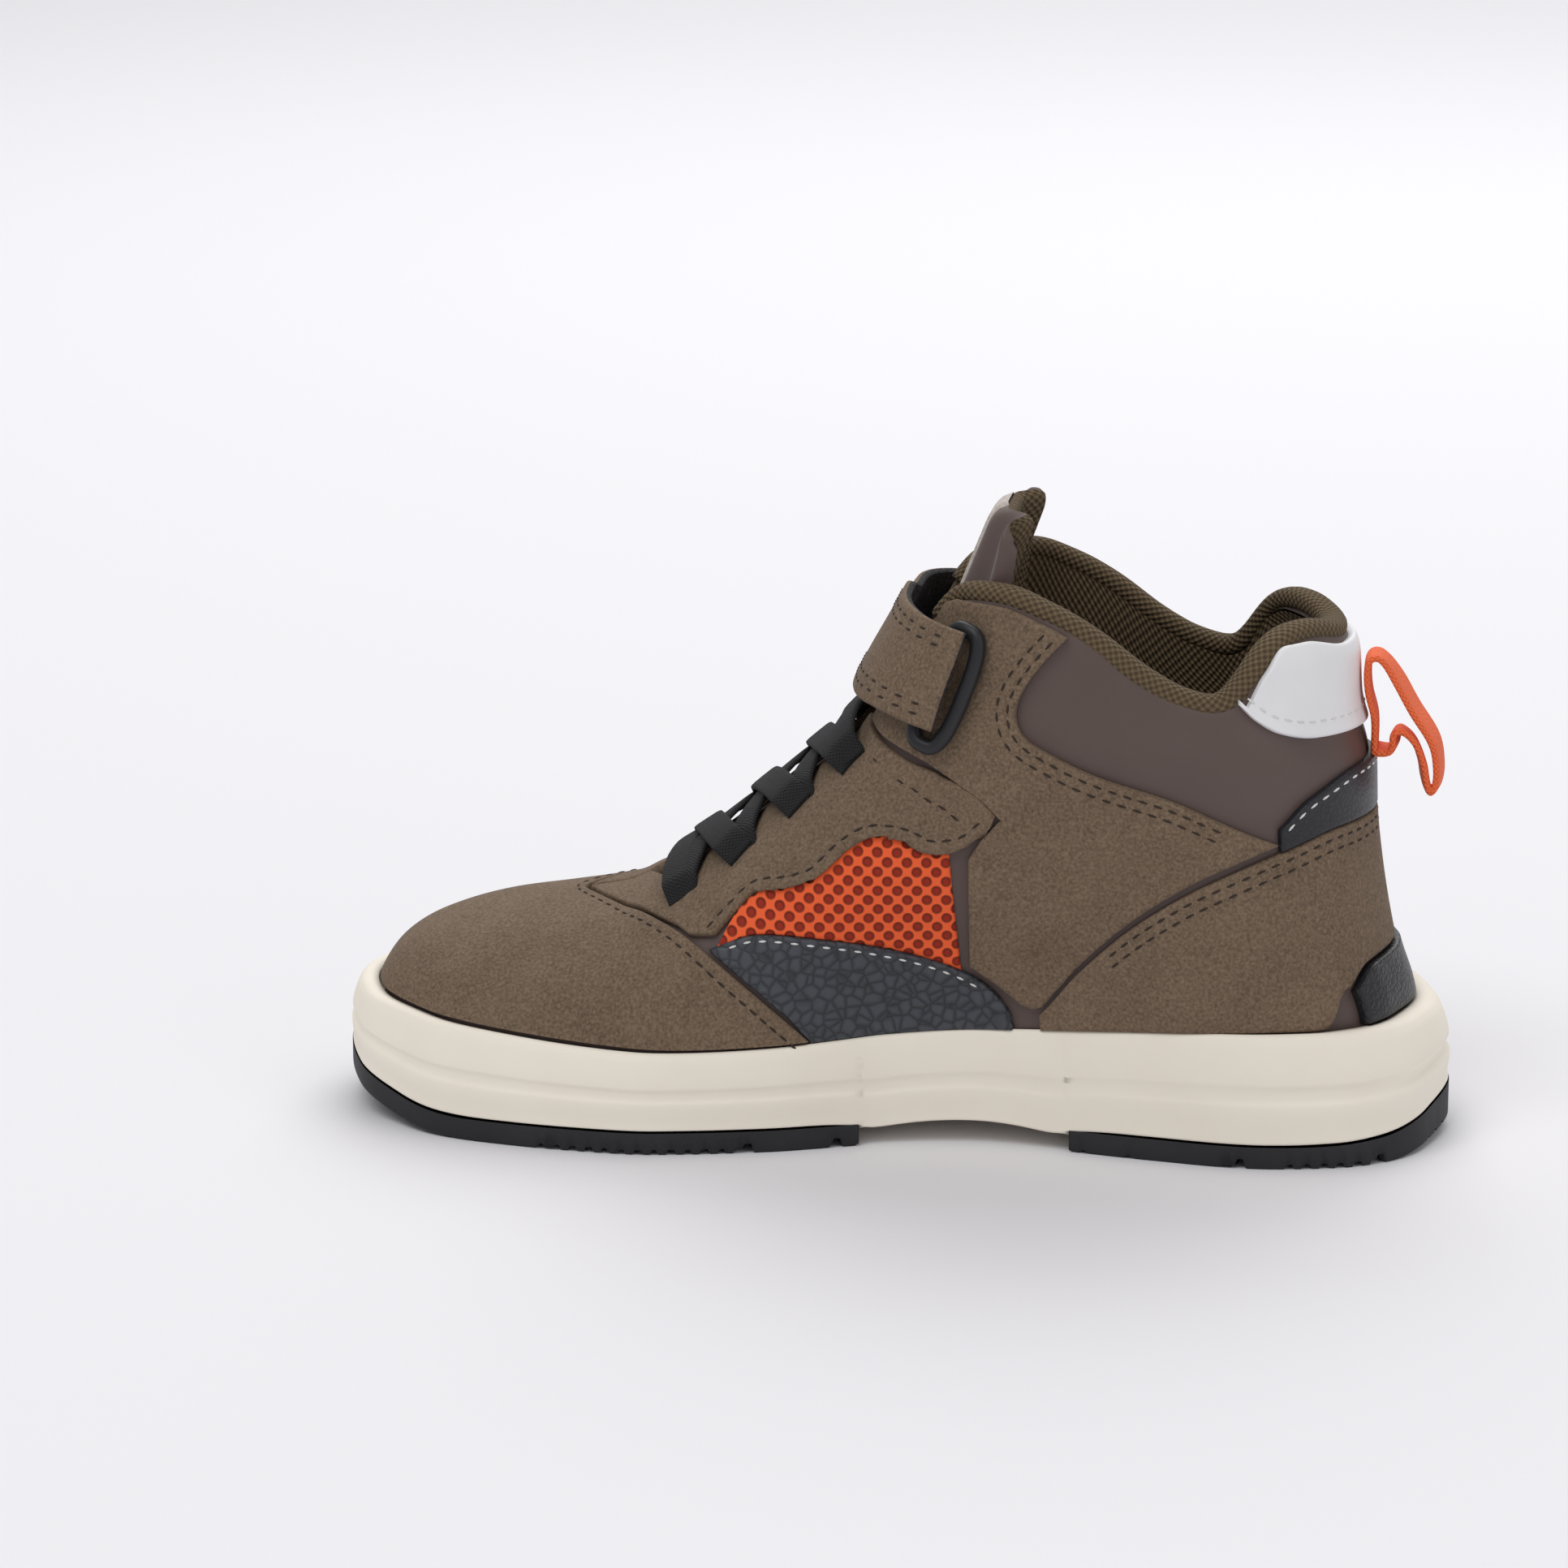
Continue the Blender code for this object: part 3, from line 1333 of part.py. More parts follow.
def build_ring():
    """Oval ring on the medial quarter that the strap comes through."""
    place = on_side(MEDIAL)
    lift = PANEL_GAP * 3 + PANEL_THICKNESS + RING_TUBE / 2
    count = 24
    path = []
    half_long = (RING_LENGTH - RING_TUBE) / 2
    half_wide = (RING_WIDTH - RING_TUBE) / 2
    for k in range(count):
        a = 2 * math.pi * k / count
        along = half_long * math.copysign(abs(math.cos(a)) ** 0.75, math.cos(a))
        wide = half_wide * math.copysign(abs(math.sin(a)) ** 0.62, math.sin(a))
        x = x_of(RING_CENTRE[0]) + along * math.cos(RING_TILT) + wide * math.sin(RING_TILT)
        z = RING_CENTRE[1] * ANKLE_HEIGHT + along * math.sin(RING_TILT) - wide * math.cos(RING_TILT)
        path.append(lifted(place, x, z, lift))
    middle = sum(path) / count

    def frame(i):
        along = path[(i + 1) % count] - path[i - 1]
        along = along / np.linalg.norm(along)
        out = path[i] - middle
        out = out - along * (out @ along)
        out = out / np.linalg.norm(out)
        return out, np.cross(along, out)

    return tube("strap_ring", path, frame, round_section(RING_TUBE / 2, RING_TUBE / 2), "ring_plastic", closed=True)


STRAP_TILT = math.radians(-7)
STRAP_AIR = 0.0052
STRAP_OVER_RING = 0.0024


def build_strap():
    """Hook and loop strap from the ring's slot, round the instep, to the lateral quarter."""
    place = on_instep(lambda x: STRAP_TILT)
    low_z = RING_CENTRE[1] * ANKLE_HEIGHT - STRAP_WIDTH / 2 + mm(2)
    rows = 5
    across = 22
    grid = np.zeros((rows, across, 2))
    for j in range(rows):
        t = j / (rows - 1)
        u = ridge_x(low_z + STRAP_WIDTH * t)
        line, length = wrap_line(u, STRAP_TILT, MEDIAL)
        past = np.array([ring_offset(p[0], p[2]) for p in line])
        near = -float(np.interp(STRAP_OVER_RING, past, length))
        corner = abs(2 * t - 1)
        far = STRAP_REACH - mm(5) * corner**3
        for i in range(across):
            grid[j, i] = (u, near + (far - near) * i / (across - 1))

    def seat(u, v, point):
        flat = PANEL_GAP * 3 + PANEL_THICKNESS
        over_ring = flat + RING_TUBE + PANEL_GAP * 1.5
        front = float(1 - smooth(abs(v), mm(10), mm(30)))
        base = over_ring if v < 0 else flat
        base = base + (STRAP_AIR - base) * front if v >= 0 else max(base, STRAP_AIR)
        return max(base, flat)

    return shell(
        "instep_strap",
        place,
        grid,
        seat,
        lambda u, v, point: seat(u, v, point) + STRAP_THICKNESS,
        "suede",
    )


# Lace slots in side view. Columns: share of the length, share of the ankle height.
LACE_SLOTS = [(0.314, 0.452), (0.376, 0.513), (0.434, 0.589), (0.482, 0.671)]


def lace_strand(ends, lift):
    """Flat lace between slots, as a closed band in the instep's chart."""
    place = on_instep(square_to_ridge)
    path = []
    frames = []
    points = []
    for one, two in zip(ends[:-1], ends[1:]):
        for k in range(6):
            t = k / 6
            points.append((one[0] + (two[0] - one[0]) * t, one[1] + (two[1] - one[1]) * t))
    points.append(ends[-1])
    for u, v in points:
        path.append(lifted(place, u, v, lift))
    for i in range(len(path)):
        along = path[min(i + 1, len(path) - 1)] - path[max(i - 1, 0)]
        along = along / np.linalg.norm(along)
        u, v = points[i]
        normal = lifted(place, u, v, lift + mm(1)) - path[i]
        wide = np.cross(along, normal)
        wide = wide / np.linalg.norm(wide)
        frames.append((np.cross(wide, along), wide))
    half = LACE_THICKNESS / 2
    wide = LACE_WIDTH / 2
    section = [(half, wide), (-half, wide), (-half, -wide), (half, -wide)]
    return tube("lace_strand", path, lambda i: frames[i], section, "lace")


def build_laces():
    """Criss-cross elastic laces, joined where they cross, that end at the eyestays' slots."""
    place = on_instep(square_to_ridge)
    us = [to_instep(MEDIAL, p)[0] for p in points_of(LACE_SLOTS)]
    reach = LACE_REACH
    lift = PANEL_GAP + PANEL_THICKNESS + PANEL_GAP * 2 + LACE_THICKNESS / 2
    strands = [lace_strand([(us[0], -reach), (us[0], reach)], lift + mm(0.25))]
    for i in range(3):
        strands.append(lace_strand([(us[i], -reach), (us[i + 1], reach)], lift))
        strands.append(lace_strand([(us[i], reach), (us[i + 1], -reach)], lift + mm(0.5)))
    strands.append(lace_strand([(us[3], -reach), (us[3] + mm(1.5), 0.0), (us[3], reach)], lift + mm(0.8)))
    whole = strands[0]
    whole.name = "laces"
    whole.data.name = "laces"
    for strand in strands[1:]:
        union = whole.modifiers.new("union", "BOOLEAN")
        union.operation = "UNION"
        union.solver = "EXACT"
        union.object = strand
        strand.hide_render = True
        strand.display_type = "WIRE"
    return whole


# Ribbon loop behind the heel. Columns: distance behind the heel's back and height, as shares of
# the loop's height.
LOOP_HEIGHT = 0.0270
LOOP_TOP = 0.862
LOOP_ROUTE = [
    (0.00, -0.64),
    (0.00, -0.45),
    (0.00, -0.25),
    (0.00, -0.08),
    (0.03, 0.00),
    (0.10, 0.00),
    (0.20, -0.13),
    (0.31, -0.38),
    (0.385, -0.62),
    (0.41, -0.82),
    (0.395, -0.96),
    (0.350, -1.00),
    (0.315, -0.93),
    (0.285, -0.78),
    (0.235, -0.63),
    (0.165, -0.55),
    (0.115, -0.57),
    (0.090, -0.65),
    (0.045, -0.70),
]


def build_pull_loop():
    """Ribbon loop sewn up the heel's back and folded down behind it."""
    seat = PANEL_GAP + PANEL_THICKNESS + PANEL_GAP * 1.5 + LOOP_THICKNESS / 2
    top = LOOP_TOP * ANKLE_HEIGHT
    path = []
    for away, down in LOOP_ROUTE:
        z = top + down * LOOP_HEIGHT
        back = float(heel_back(max(z, top - LOOP_HEIGHT * 0.7))) + seat
        path.append(np.array([back + away * LOOP_HEIGHT, 0.0, z]))
    count = len(path)

    def frame(i):
        along = path[(i + 1) % count] - path[i - 1]
        along = along / np.linalg.norm(along)
        side = np.array([0.0, 1.0, 0.0])
        return np.cross(along, side), side

    half = LOOP_THICKNESS / 2
    wide = LOOP_WIDTH / 2
    section = [(half, wide), (-half, wide), (-half, -wide), (half, -wide)]
    return tube("pull_loop", path, frame, section, "orange_ribbon", closed=True)


def main():
    """Build every piece in the order in which the shoe is made."""
    for old in list(bpy.data.objects):
        bpy.data.objects.remove(old, do_unlink=True)
    build_upper()
    build_midsole()
    edge_gap = POD_EDGE_GAP / SHOE_LENGTH
    build_pod("outsole_heel", 0.0, HEEL_POD_EDGE - edge_gap, HEEL_LONG, HEEL_CROSS, 0)
    build_pod("outsole_forefoot", FORE_POD_EDGE + edge_gap, 1.0, FORE_LONG, FORE_CROSS, 1)
    build_insole()
    build_tongue()
    build_toe_cap()
    for name, side in SIDES.items():
        build_eyestay(f"eyestay_{name}", side)
        build_mesh_panel(f"mesh_panel_{name}", side)
        build_side_panel(f"side_panel_{name}", side)
        build_quarter(f"quarter_{name}", side)
    build_heel_panels()
    build_binding()
    build_ring()
    build_strap()
    build_laces()
    build_pull_loop()


main()
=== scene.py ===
"""Looks of a child's right mid-cut trainer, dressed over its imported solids."""

import logging
import math
from collections.abc import Callable, Sequence
from dataclasses import dataclass
from enum import Enum

import bmesh
import bpy
import numpy as np
from mathutils import Matrix, Vector

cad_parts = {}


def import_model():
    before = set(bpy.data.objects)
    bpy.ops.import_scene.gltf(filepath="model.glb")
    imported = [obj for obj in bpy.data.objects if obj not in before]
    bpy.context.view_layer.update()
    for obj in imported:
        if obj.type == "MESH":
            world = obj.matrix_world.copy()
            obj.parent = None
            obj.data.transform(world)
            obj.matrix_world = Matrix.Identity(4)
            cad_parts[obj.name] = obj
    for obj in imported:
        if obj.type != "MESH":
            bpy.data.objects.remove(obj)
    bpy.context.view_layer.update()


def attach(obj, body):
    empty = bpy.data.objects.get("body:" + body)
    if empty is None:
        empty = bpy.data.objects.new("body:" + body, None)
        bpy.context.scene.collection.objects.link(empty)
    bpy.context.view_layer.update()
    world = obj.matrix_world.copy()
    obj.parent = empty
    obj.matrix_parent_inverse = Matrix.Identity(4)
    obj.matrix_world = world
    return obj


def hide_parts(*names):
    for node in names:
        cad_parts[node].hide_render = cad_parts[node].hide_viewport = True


LOG = logging.getLogger("trainer")
Values = float | np.ndarray
Row = Sequence[float]
Point = tuple[float, float]
Triple = tuple[float, float, float]
Table = Sequence[Point]
Curve = Callable[[Values], Values]
Place = Callable[[np.ndarray], np.ndarray]
Piece = bpy.types.Object

# Sides of the shoe, as signs of Y
MEDIAL = -1
LATERAL = 1

# Sole sizes, in metres as all lengths
SHOE_LENGTH = 0.225
BALL_WIDTH = 0.0858
WAIST_WIDTH = 0.0637
HEEL_WIDTH = 0.0709
TOE_RIM_HEIGHT = 0.0250
BALL_RIM_HEIGHT = 0.0200
HEEL_RIM_HEIGHT = 0.0265
TOE_SPRING = 0.0080
HEEL_BEVEL = 0.0028
TREAD_THICKNESS = 0.0045
ARCH_LIFT = 0.0020
POD_STEP = 0.0018
CUP_DEPTH = 0.0048
INSOLE_THICKNESS = 0.0032

# Last and upper sizes
TOE_MARGIN = 0.0065
SIDE_MARGIN = 0.0040
HEEL_MARGIN = 0.0089
TOE_BOX_HEIGHT = 0.0413
INSTEP_HEIGHT = 0.0756
ANKLE_HEIGHT = 0.1120
ANKLE_WIDTH = 0.0620
HEEL_LEAN = 0.0186
COLLAR_DIP_HEIGHT = 0.0903
UPPER_WALL = 0.0020
COLLAR_PADDING = 0.0048
COLLAR_PUFF = 0.0015
THROAT_WIDTH = 0.0190
TONGUE_HEIGHT = 0.1262
TONGUE_WIDTH = 0.0580
TONGUE_THICKNESS = 0.0048

# Clearances between pieces that touch
GAP = 0.0003
PANEL_GAP = 0.0005
SEAM_GAP = 0.0006
POD_EDGE_GAP = 0.0005
WELD = 0.00001
TINY = 1e-12


def mm(value: float) -> float:
    """A length that was read in millimetres, in metres.

    Args:
        value: length in millimetres

    Returns:
        The length in metres.
    """
    return value * 0.001


def smooth(value: Values, start: Values, end: Values) -> Values:
    """Ease from 0 at start to 1 at end.

    Args:
        value: where to read the ease
        start: where it leaves 0
        end: where it reaches 1

    Returns:
        The ease from 0 to 1.
    """
    t = np.clip((np.asarray(value, float) - start) / (end - start), 0.0, 1.0)
    return t * t * (3.0 - 2.0 * t)


def unit(vectors: np.ndarray) -> np.ndarray:
    """Vectors of length 1 along the last axis, where a zero vector stays zero."""
    return vectors / np.maximum(np.linalg.norm(vectors, axis=-1, keepdims=True), TINY)


def walked(points: np.ndarray) -> np.ndarray:
    """Distance walked along a line, at each of its points."""
    return np.concatenate([[0], np.cumsum(np.linalg.norm(np.diff(points, axis=0), axis=1))])


def cubic_line(points: np.ndarray, tangents: np.ndarray, steps: int) -> np.ndarray:
    """Dense smooth line through points.

    Args:
        points: the points
        tangents: direction of the line at each point
        steps: steps between two points

    Returns:
        The dense line.
    """
    chord = np.linalg.norm(np.diff(points, axis=0), axis=1)[:, None, None]
    leave = unit(tangents[:-1])[:, None] * chord
    arrive = unit(tangents[1:])[:, None] * chord
    t = (np.arange(steps) / steps)[None, :, None]
    dense = (
        (1 + 2 * t) * (1 - t) ** 2 * points[:-1, None]
        + t * (1 - t) ** 2 * leave
        + t * t * (3 - 2 * t) * points[1:, None]
        + t * t * (t - 1) * arrive
    )
    return np.vstack([dense.reshape(-1, points.shape[1]), points[-1:]])


def curve_through(xs: Row, ys: Row) -> Curve:
    """A smooth function through the rows of a table that never overshoots a row.

    Args:
        xs: rising places
        ys: values at those places

    Returns:
        A function of one value or an array.
    """
    xs = np.asarray(xs, float)
    ys = np.asarray(ys, float)
    step = np.diff(xs)
    slope = np.diff(ys) / step
    tangent = np.zeros(len(xs))
    for i in range(1, len(xs) - 1):
        if slope[i - 1] * slope[i] > 0:
            w1 = 2 * step[i] + step[i - 1]
            w2 = step[i] + 2 * step[i - 1]
            tangent[i] = (w1 + w2) / (w1 / slope[i - 1] + w2 / slope[i])
    tangent[0] = slope[0]
    tangent[-1] = slope[-1]

    def value(q: Values) -> Values:
        """Value of the curve at one place or at many."""
        q = np.clip(np.asarray(q, float), xs[0], xs[-1])
        i = np.clip(np.searchsorted(xs, q) - 1, 0, len(xs) - 2)
        t = (q - xs[i]) / step[i]
        start = (1 + 2 * t) * (1 - t) ** 2 * ys[i] + t * (1 - t) ** 2 * step[i] * tangent[i]
        end = t * t * (3 - 2 * t) * ys[i + 1] + t * t * (t - 1) * step[i] * tangent[i + 1]
        return start + end

    return value


# Plan outline of the sole. Columns: share of the length from the toe, then the medial and the
# lateral half width as shares of the width that rules there (ball, waist or heel).
SOLE_OUTLINE = [
    (0.000, 0.016, -0.016),
    (0.023, 0.245, 0.199),
    (0.067, 0.358, 0.301),
    (0.105, 0.420, 0.361),
    (0.180, 0.473, 0.446),
    (0.255, 0.499, 0.491),
    (0.305, 0.500, 0.500),
    (0.406, 0.475, 0.536),
    (0.468, 0.445, 0.558),
    (0.506, 0.422, 0.566),
    (0.587, 0.415, 0.583),
    (0.649, 0.438, 0.554),
    (0.738, 0.479, 0.515),
    (0.831, 0.500, 0.501),
    (0.907, 0.456, 0.446),
    (0.938, 0.406, 0.409),
    (0.964, 0.334, 0.353),
    (0.982, 0.233, 0.265),
    (1.000, 0.000, 0.000),
]
OUTLINE_SAMPLES = 12
WIDTH_STATIONS = [0.0, 0.30, 0.60, 0.86, 1.0]

# Front of the last in side view. Columns: share of the length, share of the rise.
TOE_RIDGE = [
    (0.0289, 0.000),
    (0.0356, 0.270),
    (0.0556, 0.560),
    (0.0911, 0.770),
    (0.1444, 0.925),
    (0.1978, 1.000),
]
INSTEP_RIDGE = [
    (0.1978, 0.000),
    (0.2422, 0.050),
    (0.2778, 0.125),
    (0.3133, 0.248),
    (0.3489, 0.405),
    (0.3844, 0.598),
    (0.4200, 0.796),
    (0.4556, 1.000),
]
ANKLE_RIDGE = [
    (0.4556, 0.000),
    (0.4867, 0.203),
    (0.5111, 0.478),
    (0.5356, 0.753),
    (0.5551, 1.000),
    (0.5733, 1.275),
    (0.5978, 1.660),
    (0.6333, 2.590),
    (0.6778, 3.970),
]

# Back of the last in side view. Columns: share of the ankle height, share of the heel's lean.
HEEL_CURVE = [
    (0.16, 0.000),
    (0.24, 0.032),
    (0.34, 0.215),
    (0.49, 0.387),
    (0.58, 0.452),
    (0.69, 0.484),
    (0.80, 0.656),
    (0.875, 0.688),
    (0.92, 0.817),
    (0.955, 1.000),
    (1.30, 1.400),
]

# Topline of the collar, below its binding. Columns: share of the length, then the share of the
# way from the dip's height up to the ankle height.
COLLAR_LINE = [
    (0.541, 0.700),
    (0.556, 0.860),
    (0.571, 0.940),
    (0.601, 0.945),
    (0.644, 0.805),
    (0.680, 0.605),
    (0.723, 0.280),
    (0.757, 0.090),
    (0.792, 0.000),
    (0.812, 0.070),
    (0.832, 0.380),
    (0.858, 0.600),
    (0.873, 0.600),
    (0.900, 0.500),
    (0.960, 0.500),
]

# Half width of the throat. Columns: share of the length, share of the throat's width.
THROAT_LINE = [
    (0.2778, 0.000),
    (0.2830, 0.270),
    (0.2950, 0.420),
    (0.3200, 0.480),
    (0.4200, 0.520),
    (0.5000, 0.680),
    (0.5450, 1.000),
    (0.6000, 1.050),
]


def x_of(share: Values) -> Values:
    """Position along X of a share of the length, counted from the toe."""
    return (share - 0.5) * SHOE_LENGTH


def share_of(x: Values) -> Values:
    """Share of the length, counted from the toe, of a position along X."""
    return x / SHOE_LENGTH + 0.5


ruling_width = curve_through(
    WIDTH_STATIONS, [BALL_WIDTH, BALL_WIDTH, WAIST_WIDTH, HEEL_WIDTH, HEEL_WIDTH]
)


def outline_side(side: int) -> tuple[np.ndarray, np.ndarray]:
    """Dense points of one side of the sole's outline, from the heel's back to the toe's tip.

    Args:
        side: MEDIAL or LATERAL

    Returns:
        The points, and the share of the edge at each.
    """
    column = 1 if side == MEDIAL else 2
    rows = [(x_of(r[0]), r[column] * float(ruling_width(r[0]))) for r in reversed(SOLE_OUTLINE)]
    points = np.array(rows)
    tangents = np.zeros_like(points)
    tangents[1:-1] = points[2:] - points[:-2]
    tangents[0] = (0.0, 1.0)
    tangents[-1] = (0.0, -1.0)
    dense = cubic_line(points, tangents, OUTLINE_SAMPLES)
    length = walked(dense)
    return dense, length / length[-1]


OUTLINE = {side: outline_side(side) for side in (MEDIAL, LATERAL)}
LAST_TOE = x_of(0.0) + TOE_MARGIN
LAST_HEEL = x_of(1.0) - HEEL_MARGIN


def sole_edge(side: int, share: float) -> np.ndarray:
    """Point of the sole's widest outline at a share of the way from the heel to the toe."""
    dense, along = OUTLINE[side]
    x = np.interp(share, along, dense[:, 0])
    y = np.interp(share, along, dense[:, 1])
    return np.array([x, side * y])


def last_edge(side: int, share: float) -> np.ndarray:
    """Point of the last's own outline beside a point of the sole's."""
    x, y = sole_edge(side, share)
    flat = 1.0 - SIDE_MARGIN / (BALL_WIDTH / 2)
    along = share_of(x)
    return np.array([LAST_TOE + along * (LAST_HEEL - LAST_TOE), y * flat])


def last_width(side: int, x: Values) -> np.ndarray:
    """Half width of the last's outline at the sole."""
    dense, _ = OUTLINE[side]
    along = (np.asarray(x, float) - LAST_TOE) / (LAST_HEEL - LAST_TOE)
    width = np.interp(x_of(along), dense[::-1, 0], dense[::-1, 1])
    return np.maximum(width, 0.0) * (1.0 - SIDE_MARGIN / (BALL_WIDTH / 2))


rim_height = curve_through(
    [0.0, 0.12, 0.32, 0.60, 0.85, 1.0],
    [
        TOE_RIM_HEIGHT,
        (TOE_RIM_HEIGHT + BALL_RIM_HEIGHT) / 2,
        BALL_RIM_HEIGHT,
        (BALL_RIM_HEIGHT + HEEL_RIM_HEIGHT) / 2,
        HEEL_RIM_HEIGHT,
        HEEL_RIM_HEIGHT,
    ],
)


def feather_height(x: Values) -> Values:
    """Height of the upper's lower edge, inside the midsole's cup."""
    return rim_height(share_of(x)) - CUP_DEPTH + GAP


def build_ridge() -> Curve:
    """Side view of the last's front as one function of X, from its three tables.

    Returns:
        The ridge's height along X.
    """
    xs = []
    zs = []
    for along, rise in TOE_RIDGE:
        x = x_of(along)
        low = float(feather_height(x))
        xs.append(x)
        zs.append(low + rise * (TOE_BOX_HEIGHT - low))
    for table, low, high in (
        (INSTEP_RIDGE, TOE_BOX_HEIGHT, INSTEP_HEIGHT),
        (ANKLE_RIDGE, INSTEP_HEIGHT, ANKLE_HEIGHT),
    ):
        for along, rise in table[1:]:
            xs.append(x_of(along))
            zs.append(low + rise * (high - low))
    xs[0] = LAST_TOE
    return curve_through(xs, zs)


ridge_height = build_ridge()
heel_back = curve_through(
    [row[0] * ANKLE_HEIGHT for row in HEEL_CURVE],
    [LAST_HEEL - row[1] * HEEL_LEAN for row in HEEL_CURVE],
)
collar_height = curve_through(
    [x_of(row[0]) for row in COLLAR_LINE],
    [COLLAR_DIP_HEIGHT + row[1] * (ANKLE_HEIGHT - COLLAR_DIP_HEIGHT) for row in COLLAR_LINE],
)
throat_half = curve_through(
    [x_of(row[0]) for row in THROAT_LINE],
    [row[1] * THROAT_WIDTH for row in THROAT_LINE],
)
THROAT_START = x_of(THROAT_LINE[0][0])
COLLAR_FRONT = x_of(COLLAR_LINE[0][0])
LEAN_START = x_of(0.59)


def heel_shift(x: Values, z: Values) -> Values:
    """How far the last's back has moved forward at a height, faded out towards the instep."""
    back = heel_back(z)
    return (LAST_HEEL - back) * smooth(x, LEAN_START, np.maximum(back, LEAN_START + WELD))


def half_width(side: int, x: Values, z: Values) -> np.ndarray:
    """Half width of the upper's outer face at a point of the side view.

    Args:
        side: MEDIAL or LATERAL
        x: places along the shoe
        z: heights

    Returns:
        The half widths.
    """
    x = np.asarray(x, float)
    z = np.asarray(z, float)
    rear = x + heel_shift(x, z)
    base = last_width(side, rear)
    heel_round = 0.034
    left = np.clip((heel_round - (LAST_HEEL - rear)) / heel_round, 0.0, 1.0)
    front = 1.0 + 0.16 * smooth(-x, x_of(0.41), x_of(0.59))
    ankle = ANKLE_WIDTH / 2 * front * np.sqrt(1.0 - left**2)
    rim = rim_height(share_of(x))
    lift = smooth(z, rim, rim + 0.040) * smooth(x, x_of(0.19), x_of(0.46))
    width = base + (ankle - base) * lift
    puff = np.exp(-(((x - x_of(0.74)) / 0.030) ** 2) - ((z - 0.082) / 0.011) ** 2)
    width = width + COLLAR_PUFF * puff * np.sqrt(1.0 - left**2)
    low = feather_height(x)
    share = np.clip((z - low) / np.maximum(ridge_height(x) - low, WELD), 0.0, 1.0)
    square = smooth(x, x_of(0.23), x_of(0.52))
    power = 2.4 + 2.1 * square
    root = 2.0 + 1.2 * square
    return width * np.power(np.clip(1.0 - share**power, 0.0, 1.0), 1.0 / root)


def column_x(station: float, z: Values) -> Values:
    """Position along X at which a meridian of the upper passes a height."""
    base = float(heel_back(0.0))
    lean = smooth(station, LEAN_START, LAST_HEEL - 0.012)
    return station - (base - heel_back(z)) * lean


def topline(side: int, station: float) -> float:
    """Height at which a meridian of the upper ends, at the ridge, the throat or the collar.

    Args:
        side: MEDIAL or LATERAL
        station: place of the meridian

    Returns:
        The height.
    """
    low = float(feather_height(station))
    high = float(ridge_height(station))
    if station <= THROAT_START:
        return high
    zs = np.linspace(low, min(high, ANKLE_HEIGHT * 1.1), 1600)
    xs = column_x(station, zs)
    above_collar = zs > collar_height(np.maximum(xs, COLLAR_FRONT))
    past_throat = (half_width(side, xs, zs) < throat_half(xs)) & (zs > low + 0.012)
    past_throat &= station < x_of(0.62)
    above_collar &= station > COLLAR_FRONT
    stop = np.nonzero(above_collar | past_throat)[0]
    return float(zs[stop[0]]) if len(stop) else float(zs[-1])


def meridian(side: int, station: float, shares: np.ndarray) -> np.ndarray:
    """Points up one meridian of the upper's outer face at shares of its length.

    Args:
        side: MEDIAL or LATERAL
        station: place of the meridian
        shares: shares of its length

    Returns:
        The points, lowest first.
    """
    low = float(feather_height(station))
    top = topline(side, station)
    ease = np.linspace(0.0, 1.0, 160)
    zs = low + (top - low) * np.sin(ease * math.pi / 2)
    xs = column_x(station, zs)
    ys = half_width(side, xs, zs)
    if station <= THROAT_START:
        ys[-1] = 0.0
    points = np.stack([xs, side * ys, zs], axis=1)
    length = walked(points)
    if length[-1] < WELD:
        return np.repeat(points[:1], len(shares), axis=0)
    return np.stack([np.interp(shares * length[-1], length, points[:, k]) for k in range(3)], axis=1)


def ridge_slope(x: float) -> float:
    """Slope of the last's front in side view."""
    step = mm(0.5)
    return float((ridge_height(x + step) - ridge_height(x - step)) / (2 * step))


def wrap_line(start_x: float, tilt: float, side: int) -> tuple[np.ndarray, np.ndarray]:
    """Surface line that leaves the ridge at start_x and runs down one side at a tilt.

    Args:
        start_x: place on the ridge
        tilt: angle in side view
        side: MEDIAL or LATERAL

    Returns:
        The points, and the distance along them.
    """
    start_z = float(ridge_height(start_x))
    reach = np.linspace(0.0, 1.0, 220) ** 2 * mm(70)
    xs = start_x + reach * math.cos(tilt)
    zs = start_z + reach * math.sin(tilt)
    ys = half_width(side, xs, zs)
    ys[0] = 0.0
    points = np.stack([xs, side * ys, zs], axis=1)
    return points, walked(points)


def heel_line(side: int, z: float) -> tuple[np.ndarray, np.ndarray]:
    """Level line of the upper's outer face round the heel at one height.

    Args:
        side: MEDIAL or LATERAL
        z: height

    Returns:
        The points, and the distance along them.
    """
    depth = np.linspace(0.0, 1.0, 260) ** 2 * mm(105)
    xs = float(heel_back(z)) - depth
    ys = half_width(side, xs, np.full_like(xs, z))
    ys[0] = 0.0
    points = np.stack([xs, side * ys, np.full_like(xs, z)], axis=1)
    return points, walked(points)


def tread_height(x: Values) -> Values:
    """Height of the tread's face: flat under heel and forefoot, lifted at the toe and heel."""
    along = share_of(x)
    toe = np.clip((0.135 - along) / 0.135, 0.0, 1.0) ** 1.9 * TOE_SPRING
    heel = np.clip((along - 0.945) / 0.055, 0.0, 1.0) ** 1.6 * HEEL_BEVEL
    return toe + heel


def pod_top(x: Values) -> Values:
    """Height of the joint between a rubber pod and the midsole."""
    along = share_of(x)
    heel = np.clip((along - 0.88) / 0.12, 0.0, 1.0) ** 1.7 * TREAD_THICKNESS * 0.55
    return tread_height(x) + TREAD_THICKNESS + heel


